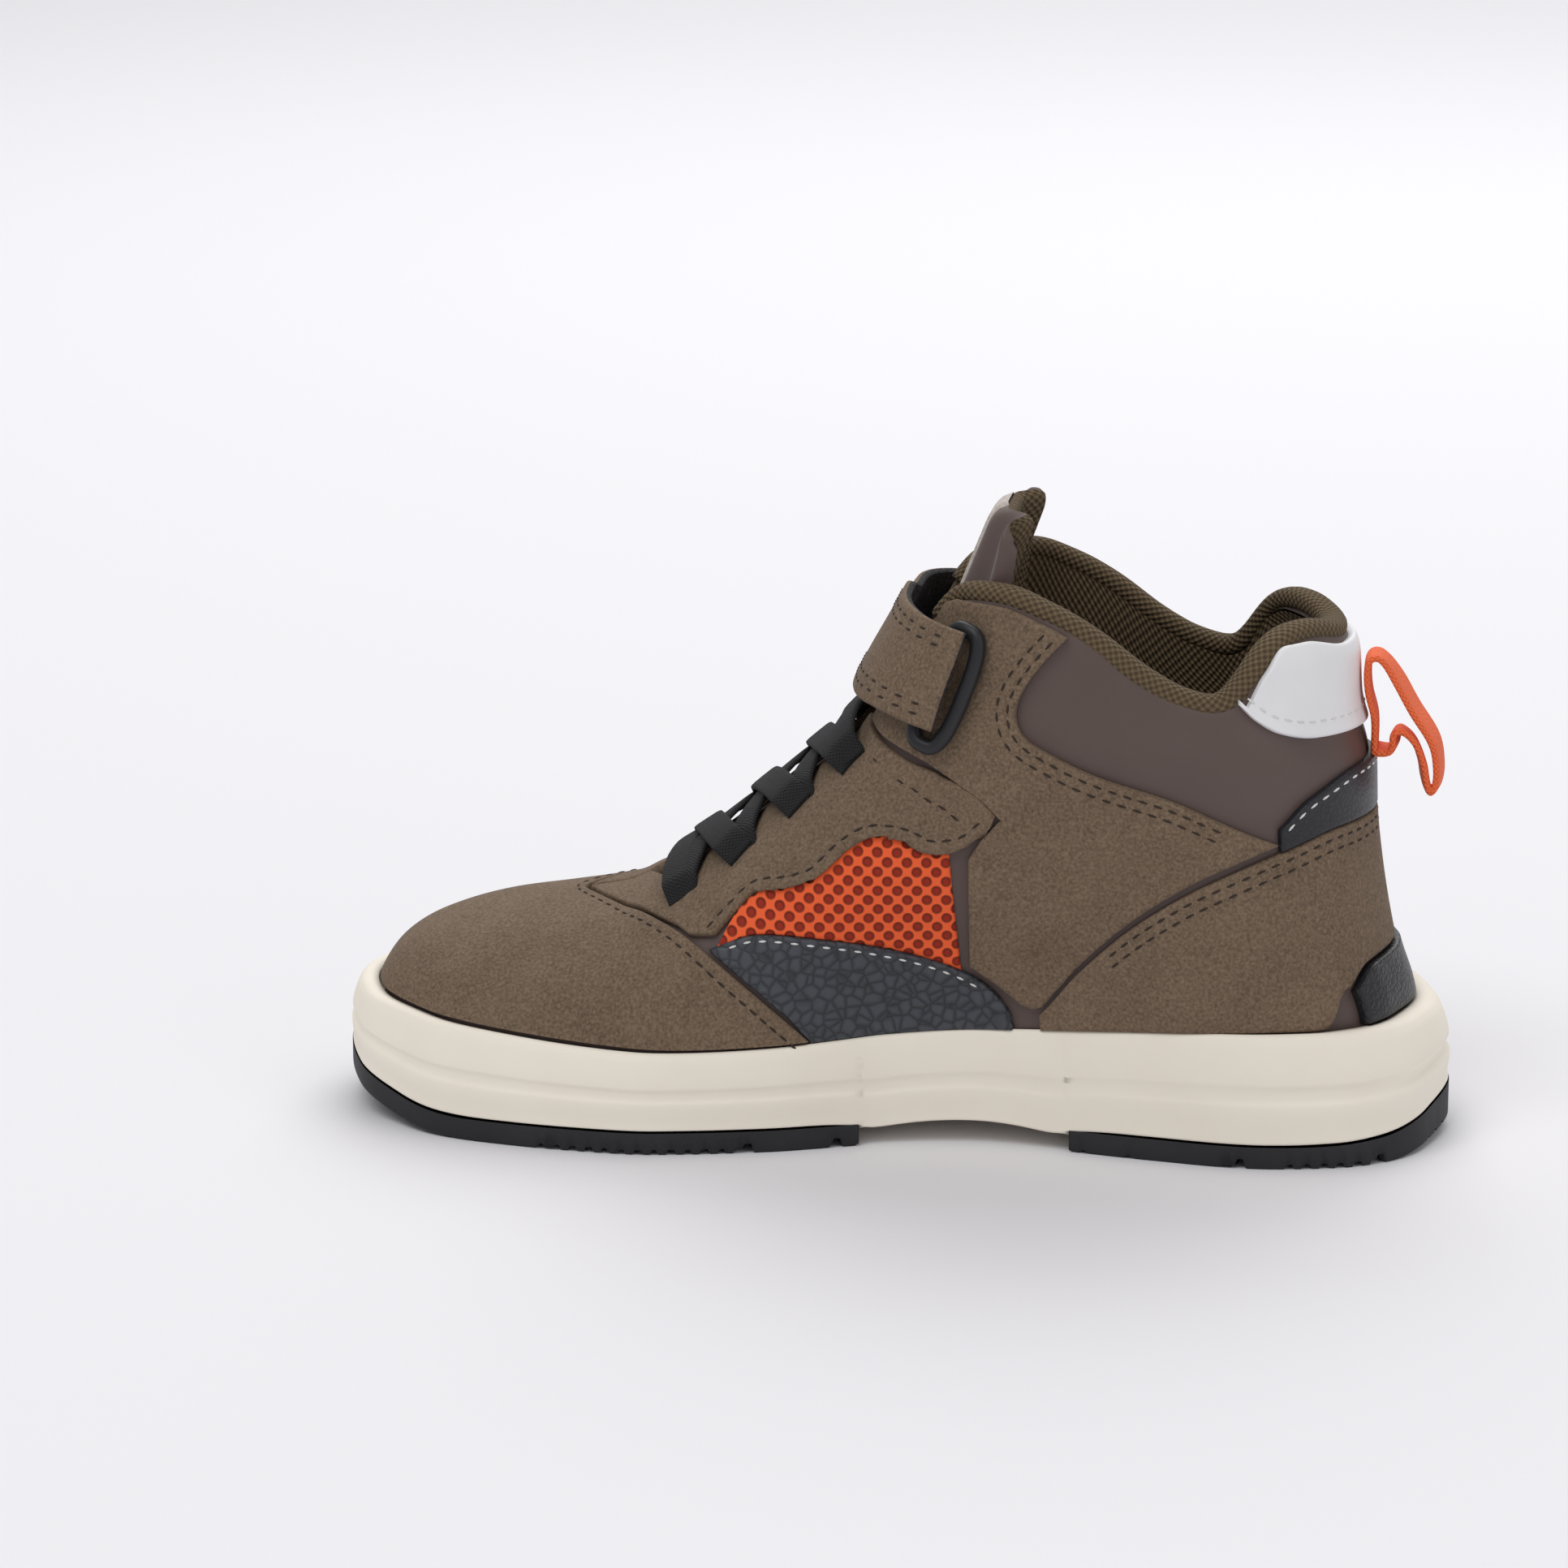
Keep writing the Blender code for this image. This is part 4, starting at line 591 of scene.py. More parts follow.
# Stations across the sole, from the heel to the toe, as shares of its edge. The pods end at
# these rungs, where the midsole steps down between them.
HEEL_POD_EDGE = 0.355
FORE_POD_EDGE = 0.508
HEEL_POD_BULGE = 0.0090
FORE_POD_BULGE = -0.0100


def bulge_at(share: float) -> float:
    """How far a rung bows along the shoe, so that the pods' edges are curved."""
    heel = HEEL_POD_BULGE * float(np.exp(-(((share - HEEL_POD_EDGE) / 0.06) ** 2)))
    fore = FORE_POD_BULGE * float(np.exp(-(((share - FORE_POD_EDGE) / 0.06) ** 2)))
    return heel + fore


# Side of the midsole. Columns: share of the height from its lower edge to its rim, share of the
# way in from the widest outline to the last's outline.
SIDE_PROFILE = [
    (0.00, 0.02),
    (0.10, 0.04),
    (0.34, 0.00),
    (0.42, 0.10),
    (0.50, 0.10),
    (0.58, 0.03),
    (0.90, 0.22),
    (1.00, 0.36),
]


def arch_height(share: float, across: float) -> float:
    """Height of the midsole's underside between the pods."""
    centre = (HEEL_POD_EDGE + FORE_POD_EDGE) / 2
    reach = (FORE_POD_EDGE - HEEL_POD_EDGE) / 2
    middle = max(0.0, 1 - ((share - centre) / reach) ** 2)
    return TREAD_THICKNESS + GAP - POD_STEP + ARCH_LIFT * middle * (0.6 + 0.4 * across)


def under_height(share: float, across: float, point: np.ndarray) -> float:
    """Height of the midsole's underside at a rung."""
    if HEEL_POD_EDGE + WELD < share < FORE_POD_EDGE - WELD:
        return arch_height(share, across)
    return float(pod_top(point[0])) + PANEL_GAP


def wall_at(points: np.ndarray, top: Values) -> np.ndarray:
    """Thickness of the upper's wall: thin at the vamp, padded towards the collar."""
    rear = smooth(points[..., 0], x_of(0.52), x_of(0.60))
    high = smooth(points[..., 2], top - mm(38), top - mm(8))
    return UPPER_WALL + (COLLAR_PADDING - UPPER_WALL) * rear * high


def square_to_ridge(x: float) -> float:
    """Tilt at which a line leaves the ridge squarely and runs down into the shoe."""
    return math.atan(ridge_slope(x)) - math.pi / 2


def ridge_x(height: float) -> float:
    """Position along X at which the ridge reaches a height."""
    xs = np.linspace(x_of(0.2), x_of(0.66), 600)
    return float(np.interp(height, ridge_height(xs), xs))


# Panels, straps and laces
PANEL_THICKNESS = 0.0011
SUEDE_LIFT = PANEL_GAP * 1.5
OVER_PANELS = PANEL_GAP * 3 + PANEL_THICKNESS
EDGE_GAP = 0.0010
STRAP_WIDTH = 0.0190
STRAP_THICKNESS = 0.0020
STRAP_REACH = 0.0470
RING_TUBE = 0.0030
RING_LENGTH = 0.0270
RING_WIDTH = 0.0105
LACE_WIDTH = 0.0068
LACE_THICKNESS = 0.0014
LACE_REACH = 0.0225
BINDING_WIDTH = 0.0052
BINDING_HEIGHT = 0.0034
LOOP_WIDTH = 0.0100
LOOP_THICKNESS = 0.0012
STABILIZER_THICKNESS = 0.0020
TOE_CAP_FRONT = 0.2155
TOE_CAP_REACH = 0.2222
TOE_CAP_BOW = 1.3

# Side view borders of the panels. Columns: share of the length, share of the ankle height.
EYESTAY_LOW = [
    (0.356, 0.380),
    (0.376, 0.425),
    (0.395, 0.462),
    (0.420, 0.475),
    (0.446, 0.497),
    (0.473, 0.549),
    (0.496, 0.575),
    (0.518, 0.570),
    (0.538, 0.548),
    (0.562, 0.545),
    (0.586, 0.575),
]
EYESTAY_REAR = [(0.586, 0.575), (0.604, 0.615), (0.578, 0.662), (0.548, 0.690), (0.486, 0.738)]
PANEL_TOP = [
    (0.352, 0.358),
    (0.394, 0.390),
    (0.456, 0.384),
    (0.522, 0.357),
    (0.571, 0.322),
    (0.600, 0.285),
    (0.618, 0.236),
]
QUARTER_REAR = [
    (0.846, 0.583),
    (0.760, 0.650),
    (0.690, 0.696),
    (0.654, 0.728),
    (0.627, 0.761),
    (0.620, 0.800),
    (0.627, 0.844),
    (0.646, 0.898),
    (0.664, 0.945),
]

# Trims of the lateral side. Columns: share of the length, share of the ankle height.
PIPING_LINE = [(0.690, 0.372), (0.722, 0.352), (0.745, 0.318), (0.762, 0.270)]
FOLD_LOW = [(0.478, 0.388), (0.545, 0.385), (0.612, 0.440)]
FOLD_HIGH = [(0.480, 0.394), (0.540, 0.475), (0.618, 0.492)]

# Borders of the heel's panels. Columns: share of the panel's reach round the heel, share of the
# ankle height.
COUNTER_REACH = 0.0900
COUNTER_TOP = [
    (0.0, 0.594),
    (0.22, 0.588),
    (0.37, 0.560),
    (0.53, 0.510),
    (0.71, 0.430),
    (0.87, 0.335),
    (1.0, 0.245),
]
STABILIZER_REACH = 0.0250
STABILIZER_TOP = [(0.0, 0.343), (0.70, 0.335), (1.0, 0.300)]
PATCH_REACH = 0.0340
PATCH_TOP = [(0.0, 0.692), (0.35, 0.688), (0.80, 0.650), (1.0, 0.600)]
TAB_REACH = 0.0390
TAB_LOW = [(0.0, 0.745), (0.60, 0.752), (0.80, 0.768), (0.92, 0.795), (1.0, 0.825)]


def points_of(table: Table) -> list[Point]:
    """Side view points of a border, in metres."""
    return [(x_of(along), up * ANKLE_HEIGHT) for along, up in table]


def moved(points: Table, dx: float, dz: float) -> list[Point]:
    """The same border, moved by a clearance."""
    return [(x + dx, z + dz) for x, z in points]


def throat_edge(side: int, start: float, end: float, count: int, margin: float) -> list[Point]:
    """Side view points along the throat's edge, kept a margin outside it.

    Args:
        side: MEDIAL or LATERAL
        start: first place along X
        end: last place along X
        count: number of points
        margin: distance outside the edge

    Returns:
        The side view points.
    """
    line = []
    for x in np.linspace(start, end, count):
        top = float(ridge_height(x))
        zs = np.linspace(top, top - mm(45), 500)
        wide = half_width(side, np.full_like(zs, x), zs)
        want = max(float(throat_half(x)), 0.0) + margin
        line.append((float(x), float(np.interp(want, wide, zs))))
    return line


def to_instep(side: int, point: Point) -> Point:
    """Instep chart coordinates of a side view point.

    Args:
        side: MEDIAL or LATERAL
        point: side view point

    Returns:
        Its place in the instep's chart.
    """
    x, z = point
    best = None
    for u in np.linspace(x_of(0.19), x_of(0.60), 400):
        tilt = square_to_ridge(u)
        dx = x - u
        dz = z - float(ridge_height(u))
        miss = abs(dx * math.sin(tilt) - dz * math.cos(tilt))
        reach = dx * math.cos(tilt) + dz * math.sin(tilt)
        if reach > -mm(1) and (best is None or miss < best[0]):
            best = (miss, u, max(reach, 0.0))
    _, u, reach = best
    line, length = wrap_line(u, square_to_ridge(u), side)
    far = np.hypot(line[:, 0] - line[0, 0], line[:, 2] - line[0, 2])
    return (u, side * float(np.interp(reach, far, length)))


def rim_girth(side: int, x: float) -> float:
    """Distance round a cross section from the ridge down to just above the midsole's rim."""
    line, length = wrap_line(x, -math.pi / 2, side)
    low = float(rim_height(share_of(x))) + EDGE_GAP
    return float(np.interp(-low, -line[:, 2], length))


def cap_edge(side: int, t: float, shift: float = 0.0) -> Point:
    """Side view point of the toe cap's rear edge, at a share t of the way down from the ridge."""
    x = x_of(TOE_CAP_FRONT) + TOE_CAP_REACH * SHOE_LENGTH * abs(t) ** TOE_CAP_BOW + shift
    line, length = wrap_line(x, -math.pi / 2, side)
    at = abs(t) * rim_girth(side, x)
    return (x, float(np.interp(at, length, line[:, 2])))


def counter_edge(x: float, side: int) -> float:
    """Height of the counter's upper edge beside a point of the side view."""
    z = 0.45 * ANKLE_HEIGHT
    for _ in range(4):
        line, length = heel_line(side, z)
        around = float(np.interp(-x, -line[:, 0], length))
        z = float(curve_through(*zip(*COUNTER_TOP))(around / COUNTER_REACH)) * ANKLE_HEIGHT
    return z


RING_CENTRE = (0.5585, 0.842)
RING_TILT = math.radians(69)


def ring_offset(x: float, z: float) -> float:
    """How far a side view point lies behind the ring's long axis."""
    dx = x - x_of(RING_CENTRE[0])
    dz = z - RING_CENTRE[1] * ANKLE_HEIGHT
    return dx * math.sin(RING_TILT) - dz * math.cos(RING_TILT)


STRAP_TILT = math.radians(-7)
STRAP_AIR = 0.0052
STRAP_OVER_RING = 0.0024

# Lace slots in side view. Columns: share of the length, share of the ankle height.
LACE_SLOTS = [(0.314, 0.452), (0.376, 0.513), (0.434, 0.589), (0.482, 0.671)]

# Ribbon loop behind the heel. Columns: distance behind the heel's back and height, as shares of
# the loop's height.
LOOP_HEIGHT = 0.0270
LOOP_TOP = 0.862
LOOP_ROUTE = [
    (0.00, -0.64),
    (0.00, -0.45),
    (0.00, -0.25),
    (0.00, -0.08),
    (0.03, 0.00),
    (0.10, 0.00),
    (0.20, -0.13),
    (0.31, -0.38),
    (0.385, -0.62),
    (0.41, -0.82),
    (0.395, -0.96),
    (0.350, -1.00),
    (0.315, -0.93),
    (0.285, -0.78),
    (0.235, -0.63),
    (0.165, -0.55),
    (0.115, -0.57),
    (0.090, -0.65),
    (0.045, -0.70),
]


class Slot(Enum):
    """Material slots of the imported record."""

    SATIN = "satin"
    SUEDE = "suede"
    KNIT = "knit"
    WHITE = "white_leather"
    FOAM = "cream_foam"
    RUBBER = "black_rubber"
    BLACK = "black_leather"
    PEBBLED = "pebbled_leather"
    MESH = "orange_mesh"
    RIBBON = "orange_ribbon"
    RING = "ring_plastic"
    LACE = "lace"


class Texture(Enum):
    """Kinds of surface relief that a finish can have."""

    PLAIN = "plain"
    NAP = "nap"
    PEBBLE = "pebble"
    RIB = "rib"
    HOLES = "holes"


@dataclass(frozen=True)
class Finish:
    """One material: two colours that mix, a shine and a relief."""

    slot: Slot
    colour: Triple
    # Second colour, shown where the group's Tint is low: with the pebble, hole and rib reliefs it is
    # painted shade in the relief's low parts; with plain and nap it is a darker tone in random patches.
    shade: Triple
    roughness: float
    texture: Texture = Texture.PLAIN
    size: float = 0.0008
    relief: float = 0.2

    def material(self, name: str) -> bpy.types.Material:
        """Make the material, or find it if it is there.

        Args:
            name: the material's name

        Returns:
            The material.
        """
        label = f"{name}_finish"
        if label in bpy.data.materials:
            return bpy.data.materials[label]
        made = bpy.data.materials.new(label)
        made.use_nodes = True
        tree = made.node_tree
        shader = tree.nodes["Principled BSDF"]
        group = tree.nodes.new("ShaderNodeGroup")
        group.node_tree = surface_group(self.texture)
        group.inputs["Size"].default_value = self.size
        # The group's Tint mixes the two colours; with the pebble, hole and rib reliefs this paints shade
        # into the relief's low parts.
        mix = tree.nodes.new("ShaderNodeMix")
        mix.data_type = "RGBA"
        colours = [socket for socket in mix.inputs if socket.type == "RGBA"]
        colours[0].default_value = (*linear(self.shade), 1.0)
        colours[1].default_value = (*linear(self.colour), 1.0)
        tree.links.new(group.outputs["Tint"], mix.inputs[0])
        result = [socket for socket in mix.outputs if socket.type == "RGBA"][0]
        tree.links.new(result, shader.inputs["Base Color"])
        rough = tree.nodes.new("ShaderNodeMapRange")
        rough.inputs["To Min"].default_value = min(self.roughness + 0.1, 1.0)
        rough.inputs["To Max"].default_value = self.roughness
        tree.links.new(group.outputs["Tint"], rough.inputs["Value"])
        tree.links.new(rough.outputs["Result"], shader.inputs["Roughness"])
        bump = tree.nodes.new("ShaderNodeBump")
        bump.inputs["Strength"].default_value = self.relief
        bump.inputs["Distance"].default_value = self.size * 0.5
        tree.links.new(group.outputs["Height"], bump.inputs["Height"])
        tree.links.new(bump.outputs["Normal"], shader.inputs["Normal"])
        shader.inputs["Specular IOR Level"].default_value = 0.4
        return made


def linear(colour: Triple) -> tuple[float, ...]:
    """Linear values of a colour given as the eye sees it, from 0 to 255."""
    return tuple((c / 255 / 12.92) if c < 11 else ((c / 255 + 0.055) / 1.055) ** 2.4 for c in colour)


class GroupBuilder:
    """Node group with one Size input and the outputs Tint and Height."""

    def __init__(self, name: str) -> None:
        """Start the group.

        Args:
            name: the group's name
        """
        self.tree = bpy.data.node_groups.new(name, "ShaderNodeTree")
        self.tree.interface.new_socket("Size", in_out="INPUT", socket_type="NodeSocketFloat")
        self.tree.interface.new_socket("Tint", in_out="OUTPUT", socket_type="NodeSocketFloat")
        self.tree.interface.new_socket("Height", in_out="OUTPUT", socket_type="NodeSocketFloat")
        self.start = self.tree.nodes.new("NodeGroupInput")
        self.end = self.tree.nodes.new("NodeGroupOutput")
        self.scale = self.math("DIVIDE", 1.0, self.start.outputs["Size"])

    def math(self, operation: str, one: object, two: object = 0.0) -> bpy.types.NodeSocket:
        """Add a Math node.

        Args:
            operation: the node's operation
            one: a value or a socket
            two: a value or a socket

        Returns:
            The node's output.
        """
        node = self.tree.nodes.new("ShaderNodeMath")
        node.operation = operation
        for socket, value in zip(node.inputs, (one, two)):
            self.feed(socket, value)
        return node.outputs[0]

    def clamped(self, value: object) -> bpy.types.NodeSocket:
        """Value kept from 0 to 1."""
        return self.math("MINIMUM", self.math("MAXIMUM", value, 0.0), 1.0)

    def feed(self, socket: bpy.types.NodeSocket, value: object) -> None:
        """Set a socket to a value or link another socket into it."""
        if isinstance(value, bpy.types.NodeSocket):
            self.tree.links.new(value, socket)
        else:
            socket.default_value = value

    def noise(self, scale: object, detail: float = 2.0) -> bpy.types.NodeSocket:
        """Noise in object space at a scale, as its grey value."""
        node = self.tree.nodes.new("ShaderNodeTexNoise")
        place = self.tree.nodes.new("ShaderNodeTexCoord")
        self.tree.links.new(place.outputs["Object"], node.inputs["Vector"])
        self.feed(node.inputs["Scale"], scale)
        node.inputs["Detail"].default_value = detail
        return node.outputs[0]

    def cells(self, cloth: bool, randomness: float, feature: str) -> bpy.types.NodeSocket:
        """Cells in object space, or on the cloth's own map.

        Args:
            cloth: whether the cells follow the cloth's map
            randomness: from 0, square, to 1
            feature: the Voronoi node's feature

        Returns:
            The distance output.
        """
        node = self.tree.nodes.new("ShaderNodeTexVoronoi")
        node.feature = feature
        if cloth:
            place = self.tree.nodes.new("ShaderNodeUVMap")
            place.uv_map = "cloth"
            turned = self.tree.nodes.new("ShaderNodeMapping")
            turned.inputs["Rotation"].default_value = (0.0, 0.0, math.pi / 4)
            self.tree.links.new(place.outputs[0], turned.inputs["Vector"])
            self.tree.links.new(turned.outputs[0], node.inputs["Vector"])
        else:
            place = self.tree.nodes.new("ShaderNodeTexCoord")
            self.tree.links.new(place.outputs["Object"], node.inputs["Vector"])
        self.feed(node.inputs["Scale"], self.scale)
        node.inputs["Randomness"].default_value = randomness
        return node.outputs["Distance"]

    def cloth_axis(self, axis: int) -> bpy.types.NodeSocket:
        """One coordinate of the cloth's map, in metres."""
        place = self.tree.nodes.new("ShaderNodeUVMap")
        place.uv_map = "cloth"
        split = self.tree.nodes.new("ShaderNodeSeparateXYZ")
        self.tree.links.new(place.outputs[0], split.inputs[0])
        return split.outputs[axis]

    def finish(self, tint: object, height: object) -> bpy.types.NodeTree:
        """Link the two outputs."""
        self.feed(self.end.inputs["Tint"], tint)
        self.feed(self.end.inputs["Height"], height)
        return self.tree


def surface_group(texture: Texture) -> bpy.types.NodeTree:
    """Shared node group of one kind of relief.

    Args:
        texture: the kind

    Returns:
        The node group.
    """
    name = f"surface_{texture.value}"
    if name in bpy.data.node_groups:
        return bpy.data.node_groups[name]
    g = GroupBuilder(name)
    if texture is Texture.PLAIN:
        fine = g.noise(g.scale, 3.0)
        broad = g.noise(60.0, 3.0)
        return g.finish(broad, fine)
    if texture is Texture.NAP:
        fine = g.noise(g.scale, 4.0)
        broad = g.noise(90.0, 4.0)
        mixed = g.math("ADD", g.math("MULTIPLY", fine, 0.82), g.math("MULTIPLY", broad, 0.18))
        tint = g.math("MULTIPLY", g.math("SUBTRACT", mixed, 0.34), 3.0)
        return g.finish(g.clamped(tint), fine)
    if texture is Texture.PEBBLE:
        edge = g.cells(False, 1.0, "DISTANCE_TO_EDGE")
        top = g.math("MINIMUM", g.math("MULTIPLY", edge, 4.0), 1.0)
        soft = g.math("POWER", top, 0.5)
        # Painted shade: the tint is the height itself, so the valleys between the pebbles take the darker
        # colour.
        return g.finish(soft, soft)
    if texture is Texture.HOLES:
        near = g.cells(True, 0.0, "F1")
        open_hole = g.math("SUBTRACT", near, 0.24)
        wall = g.clamped(g.math("MULTIPLY", open_hole, 6.0))
        # Painted shade: the tint is the height itself, so the inside of each hole takes the darker colour.
        return g.finish(wall, wall)
    turn = g.math("MULTIPLY", g.scale, 2 * math.pi)
    across = g.math("SINE", g.math("MULTIPLY", g.cloth_axis(0), turn))
    up = g.math("SINE", g.math("MULTIPLY", g.cloth_axis(1), turn))
    crossed = g.math("ADD", g.math("MULTIPLY", g.math("MULTIPLY", across, up), 0.5), 0.5)
    fuzz = g.math("MULTIPLY", g.noise(4000.0, 2.0), 0.3)
    height = g.math("ADD", g.math("MULTIPLY", crossed, 0.85), fuzz)
    # Painted shade: the tint is the wave that makes most of the height, so the valleys between the ribs
    # take the darker colour.
    return g.finish(crossed, height)


FINISHES = {
    "satin": Finish(Slot.SATIN, (96, 80, 75), (86, 71, 66), 0.40, size=0.0005, relief=0.05),
    "suede": Finish(
        Slot.SUEDE, (130, 110, 90), (92, 76, 60), 0.85, Texture.NAP, size=0.0006, relief=0.40
    ),
    # The knit's second colour is painted shade between its ribs.
    "knit": Finish(
        Slot.KNIT, (126, 107, 80), (74, 60, 42), 0.9, Texture.RIB, size=0.0016, relief=1.0
    ),
    "white": Finish(Slot.WHITE, (240, 240, 241), (228, 228, 230), 0.42, size=0.0016, relief=0.08),
    "foam": Finish(Slot.FOAM, (247, 240, 226), (241, 232, 216), 0.62, size=0.0006, relief=0.03),
    "rubber": Finish(Slot.RUBBER, (44, 44, 47), (32, 32, 35), 0.62, size=0.0008, relief=0.08),
    # The clip's and the black leather's second colours are painted shade in the valleys of their grain.
    "clip": Finish(Slot.RUBBER, (34, 34, 37), (24, 24, 27), 0.36, Texture.PEBBLE, size=0.0014, relief=0.2),
    "black": Finish(Slot.BLACK, (34, 35, 40), (24, 25, 30), 0.36, Texture.PEBBLE, size=0.0012, relief=0.12),
    # The pebbled leather's second colour is painted shade in the valleys of its grain.
    "pebbled": Finish(
        Slot.PEBBLED, (70, 72, 78), (36, 38, 42), 0.48, Texture.PEBBLE, size=0.0026, relief=0.35
    ),
    # The mesh's second colour is painted shade inside its holes, the ribbon's is painted shade between its
    # ribs.
    "mesh": Finish(Slot.MESH, (240, 96, 44), (150, 36, 12), 0.7, Texture.HOLES, size=0.0027, relief=1.0),
    "ribbon": Finish(Slot.RIBBON, (255, 122, 72), (232, 94, 46), 0.7, Texture.RIB, size=0.0011, relief=0.7),
    "ring": Finish(Slot.RING, (34, 35, 38), (28, 29, 32), 0.38, size=0.0008, relief=0.03),
    # The lace's second colour is painted shade between its ribs.
    "lace": Finish(Slot.LACE, (36, 36, 38), (12, 12, 14), 0.8, Texture.RIB, size=0.0009, relief=0.9),
    "grey_strip": Finish(
        Slot.KNIT, (206, 198, 190), (176, 166, 158), 0.85, Texture.NAP, size=0.0009, relief=0.5
    ),
    "hook_lining": Finish(
        Slot.LACE, (84, 84, 86), (38, 38, 40), 0.95, Texture.NAP, size=0.0008, relief=1.0
    ),
    "dark_thread": Finish(Slot.SUEDE, (58, 46, 36), (44, 34, 26), 0.8, size=0.0004, relief=0.2),
    "white_thread": Finish(Slot.WHITE, (226, 226, 224), (206, 206, 204), 0.7, size=0.0004, relief=0.2),
}


def linked(name: str, data: bpy.types.ID) -> Piece:
    """New object in the scene around its data."""
    piece = bpy.data.objects.new(name, data)
    bpy.context.collection.objects.link(piece)
    return piece


def grid_object(name: str, points: np.ndarray, cloth: np.ndarray | None = None) -> Piece:
    """Smooth surface whose grid of vertices lies at given points.

    Args:
        name: the piece's name
        points: rows by columns by 3
        cloth: rows by columns by 2, the cloth's own map in metres

    Returns:
        The object.
    """
    rows, columns = points.shape[:2]
    bm = bmesh.new()
    bmesh.ops.create_grid(bm, x_segments=columns - 1, y_segments=rows - 1, size=1.0)
    flat = np.array([vert.co[:2] for vert in bm.verts])
    i = np.rint((flat[:, 0] + 1) / 2 * (columns - 1)).astype(int)
    j = np.rint((flat[:, 1] + 1) / 2 * (rows - 1)).astype(int)
    mesh = bpy.data.meshes.new(name)
    bm.to_mesh(mesh)
    bm.free()
    mesh.vertices.foreach_set("co", points[j, i].astype(np.float32).ravel())
    if cloth is None:
        cloth = cloth_map(points)
    layer = mesh.uv_layers.new(name="cloth")
    loops = np.zeros(len(mesh.loops), dtype=np.int32)
    mesh.loops.foreach_get("vertex_index", loops)
    layer.data.foreach_set("uv", cloth[j, i][loops].astype(np.float32).ravel())
    return linked(name, mesh)


def cloth_map(points: np.ndarray) -> np.ndarray:
    """Distances walked along a grid's rows and columns, as a map in metres."""
    across = np.linalg.norm(np.diff(points, axis=1), axis=2).mean(axis=0)
    up = np.linalg.norm(np.diff(points, axis=0), axis=2).mean(axis=1)
    u = np.concatenate([[0.0], np.cumsum(across)])
    v = np.concatenate([[0.0], np.cumsum(up)])
    return np.stack(np.meshgrid(u, v), axis=2)


def tidy_mesh(piece: Piece, outward: bool = True) -> None:
    """Merge doubles and point the faces out, or leave an open sheet's side as it is."""
    bm = bmesh.new()
    bm.from_mesh(piece.data)
    bmesh.ops.remove_doubles(bm, verts=bm.verts, dist=WELD)
    bmesh.ops.dissolve_degenerate(bm, edges=bm.edges, dist=WELD)
    if outward:
        bmesh.ops.recalc_face_normals(bm, faces=bm.faces)
        if bm.calc_volume(signed=True) < 0:
            bmesh.ops.reverse_faces(bm, faces=bm.faces)
    bm.to_mesh(piece.data)
    bm.free()
    piece.data.shade_smooth()


def dress(piece: Piece, finish: str, *nodes: str) -> Piece:
    """Give a piece its finish, its body and the solids that it stands for.

    Args:
        piece: the new piece
        finish: a name of FINISHES
        nodes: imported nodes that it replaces

    Returns:
        The same piece.
    """
    piece.data.materials.append(FINISHES[finish].material(finish))
    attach(piece, "root")
    if nodes:
        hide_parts(*nodes)
    LOG.info("%s: %d vertices", piece.name, len(piece.data.vertices))
    return piece


def sheet(name: str, points: np.ndarray, finish: str, *nodes: str) -> Piece:
    """Open surface of a grid.

    Args:
        name: the piece's name
        points: rows by columns by 3
        finish: a name of FINISHES
        nodes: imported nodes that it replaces

    Returns:
        The object.
    """
    piece = grid_object(name, points)
    tidy_mesh(piece, outward=False)
    return dress(piece, finish, *nodes)


def cell_normals(points: np.ndarray) -> np.ndarray:
    """Normals of a grid of points, each as long as its cell is large."""
    return np.cross(np.gradient(points, axis=1), np.gradient(points, axis=0))


def faces_up(points: np.ndarray) -> bool:
    """Whether a level grid's faces point up."""
    return bool(np.median(cell_normals(points)[..., 2]) > 0)


def grid_normals(points: np.ndarray, inside: Place) -> np.ndarray:
    """Unit normals of a grid of points, away from an inner line.

    Args:
        points: rows by columns by 3
        inside: gives the inner point beside each point

    Returns:
        The normals, in the same shape.
    """
    normal = unit(cell_normals(points))
    away = np.sum(normal * (points - inside(points)), axis=2)
    return normal * (1.0 if np.median(away) > 0 else -1.0)


def inner_line(points: np.ndarray) -> np.ndarray:
    """Middle line of the shoe's inside beside each point."""
    x = np.clip(points[..., 0], x_of(0.1), x_of(0.80))
    return np.stack([x, np.zeros_like(x), points[..., 2] * 0.5], axis=-1)


def along_line(points: Table | np.ndarray, shares: np.ndarray) -> np.ndarray:
    """Points at shares of a line's length."""
    line = np.asarray(points, float)
    length = walked(line)
    at = shares * length[-1]
    return np.stack([np.interp(at, length, line[:, k]) for k in range(line.shape[1])], axis=1)


def rounded(points: Table | np.ndarray, steps: int = 8) -> np.ndarray:
    """Smooth line through a border's points.

    Args:
        points: the border's points
        steps: steps between two points

    Returns:
        The dense line.
    """
    line = np.asarray(points, float)
    before = np.vstack([2 * line[0] - line[1], line[:-1]])
    after = np.vstack([line[1:], 2 * line[-1] - line[-2]])
    return cubic_line(line, after - before, steps)


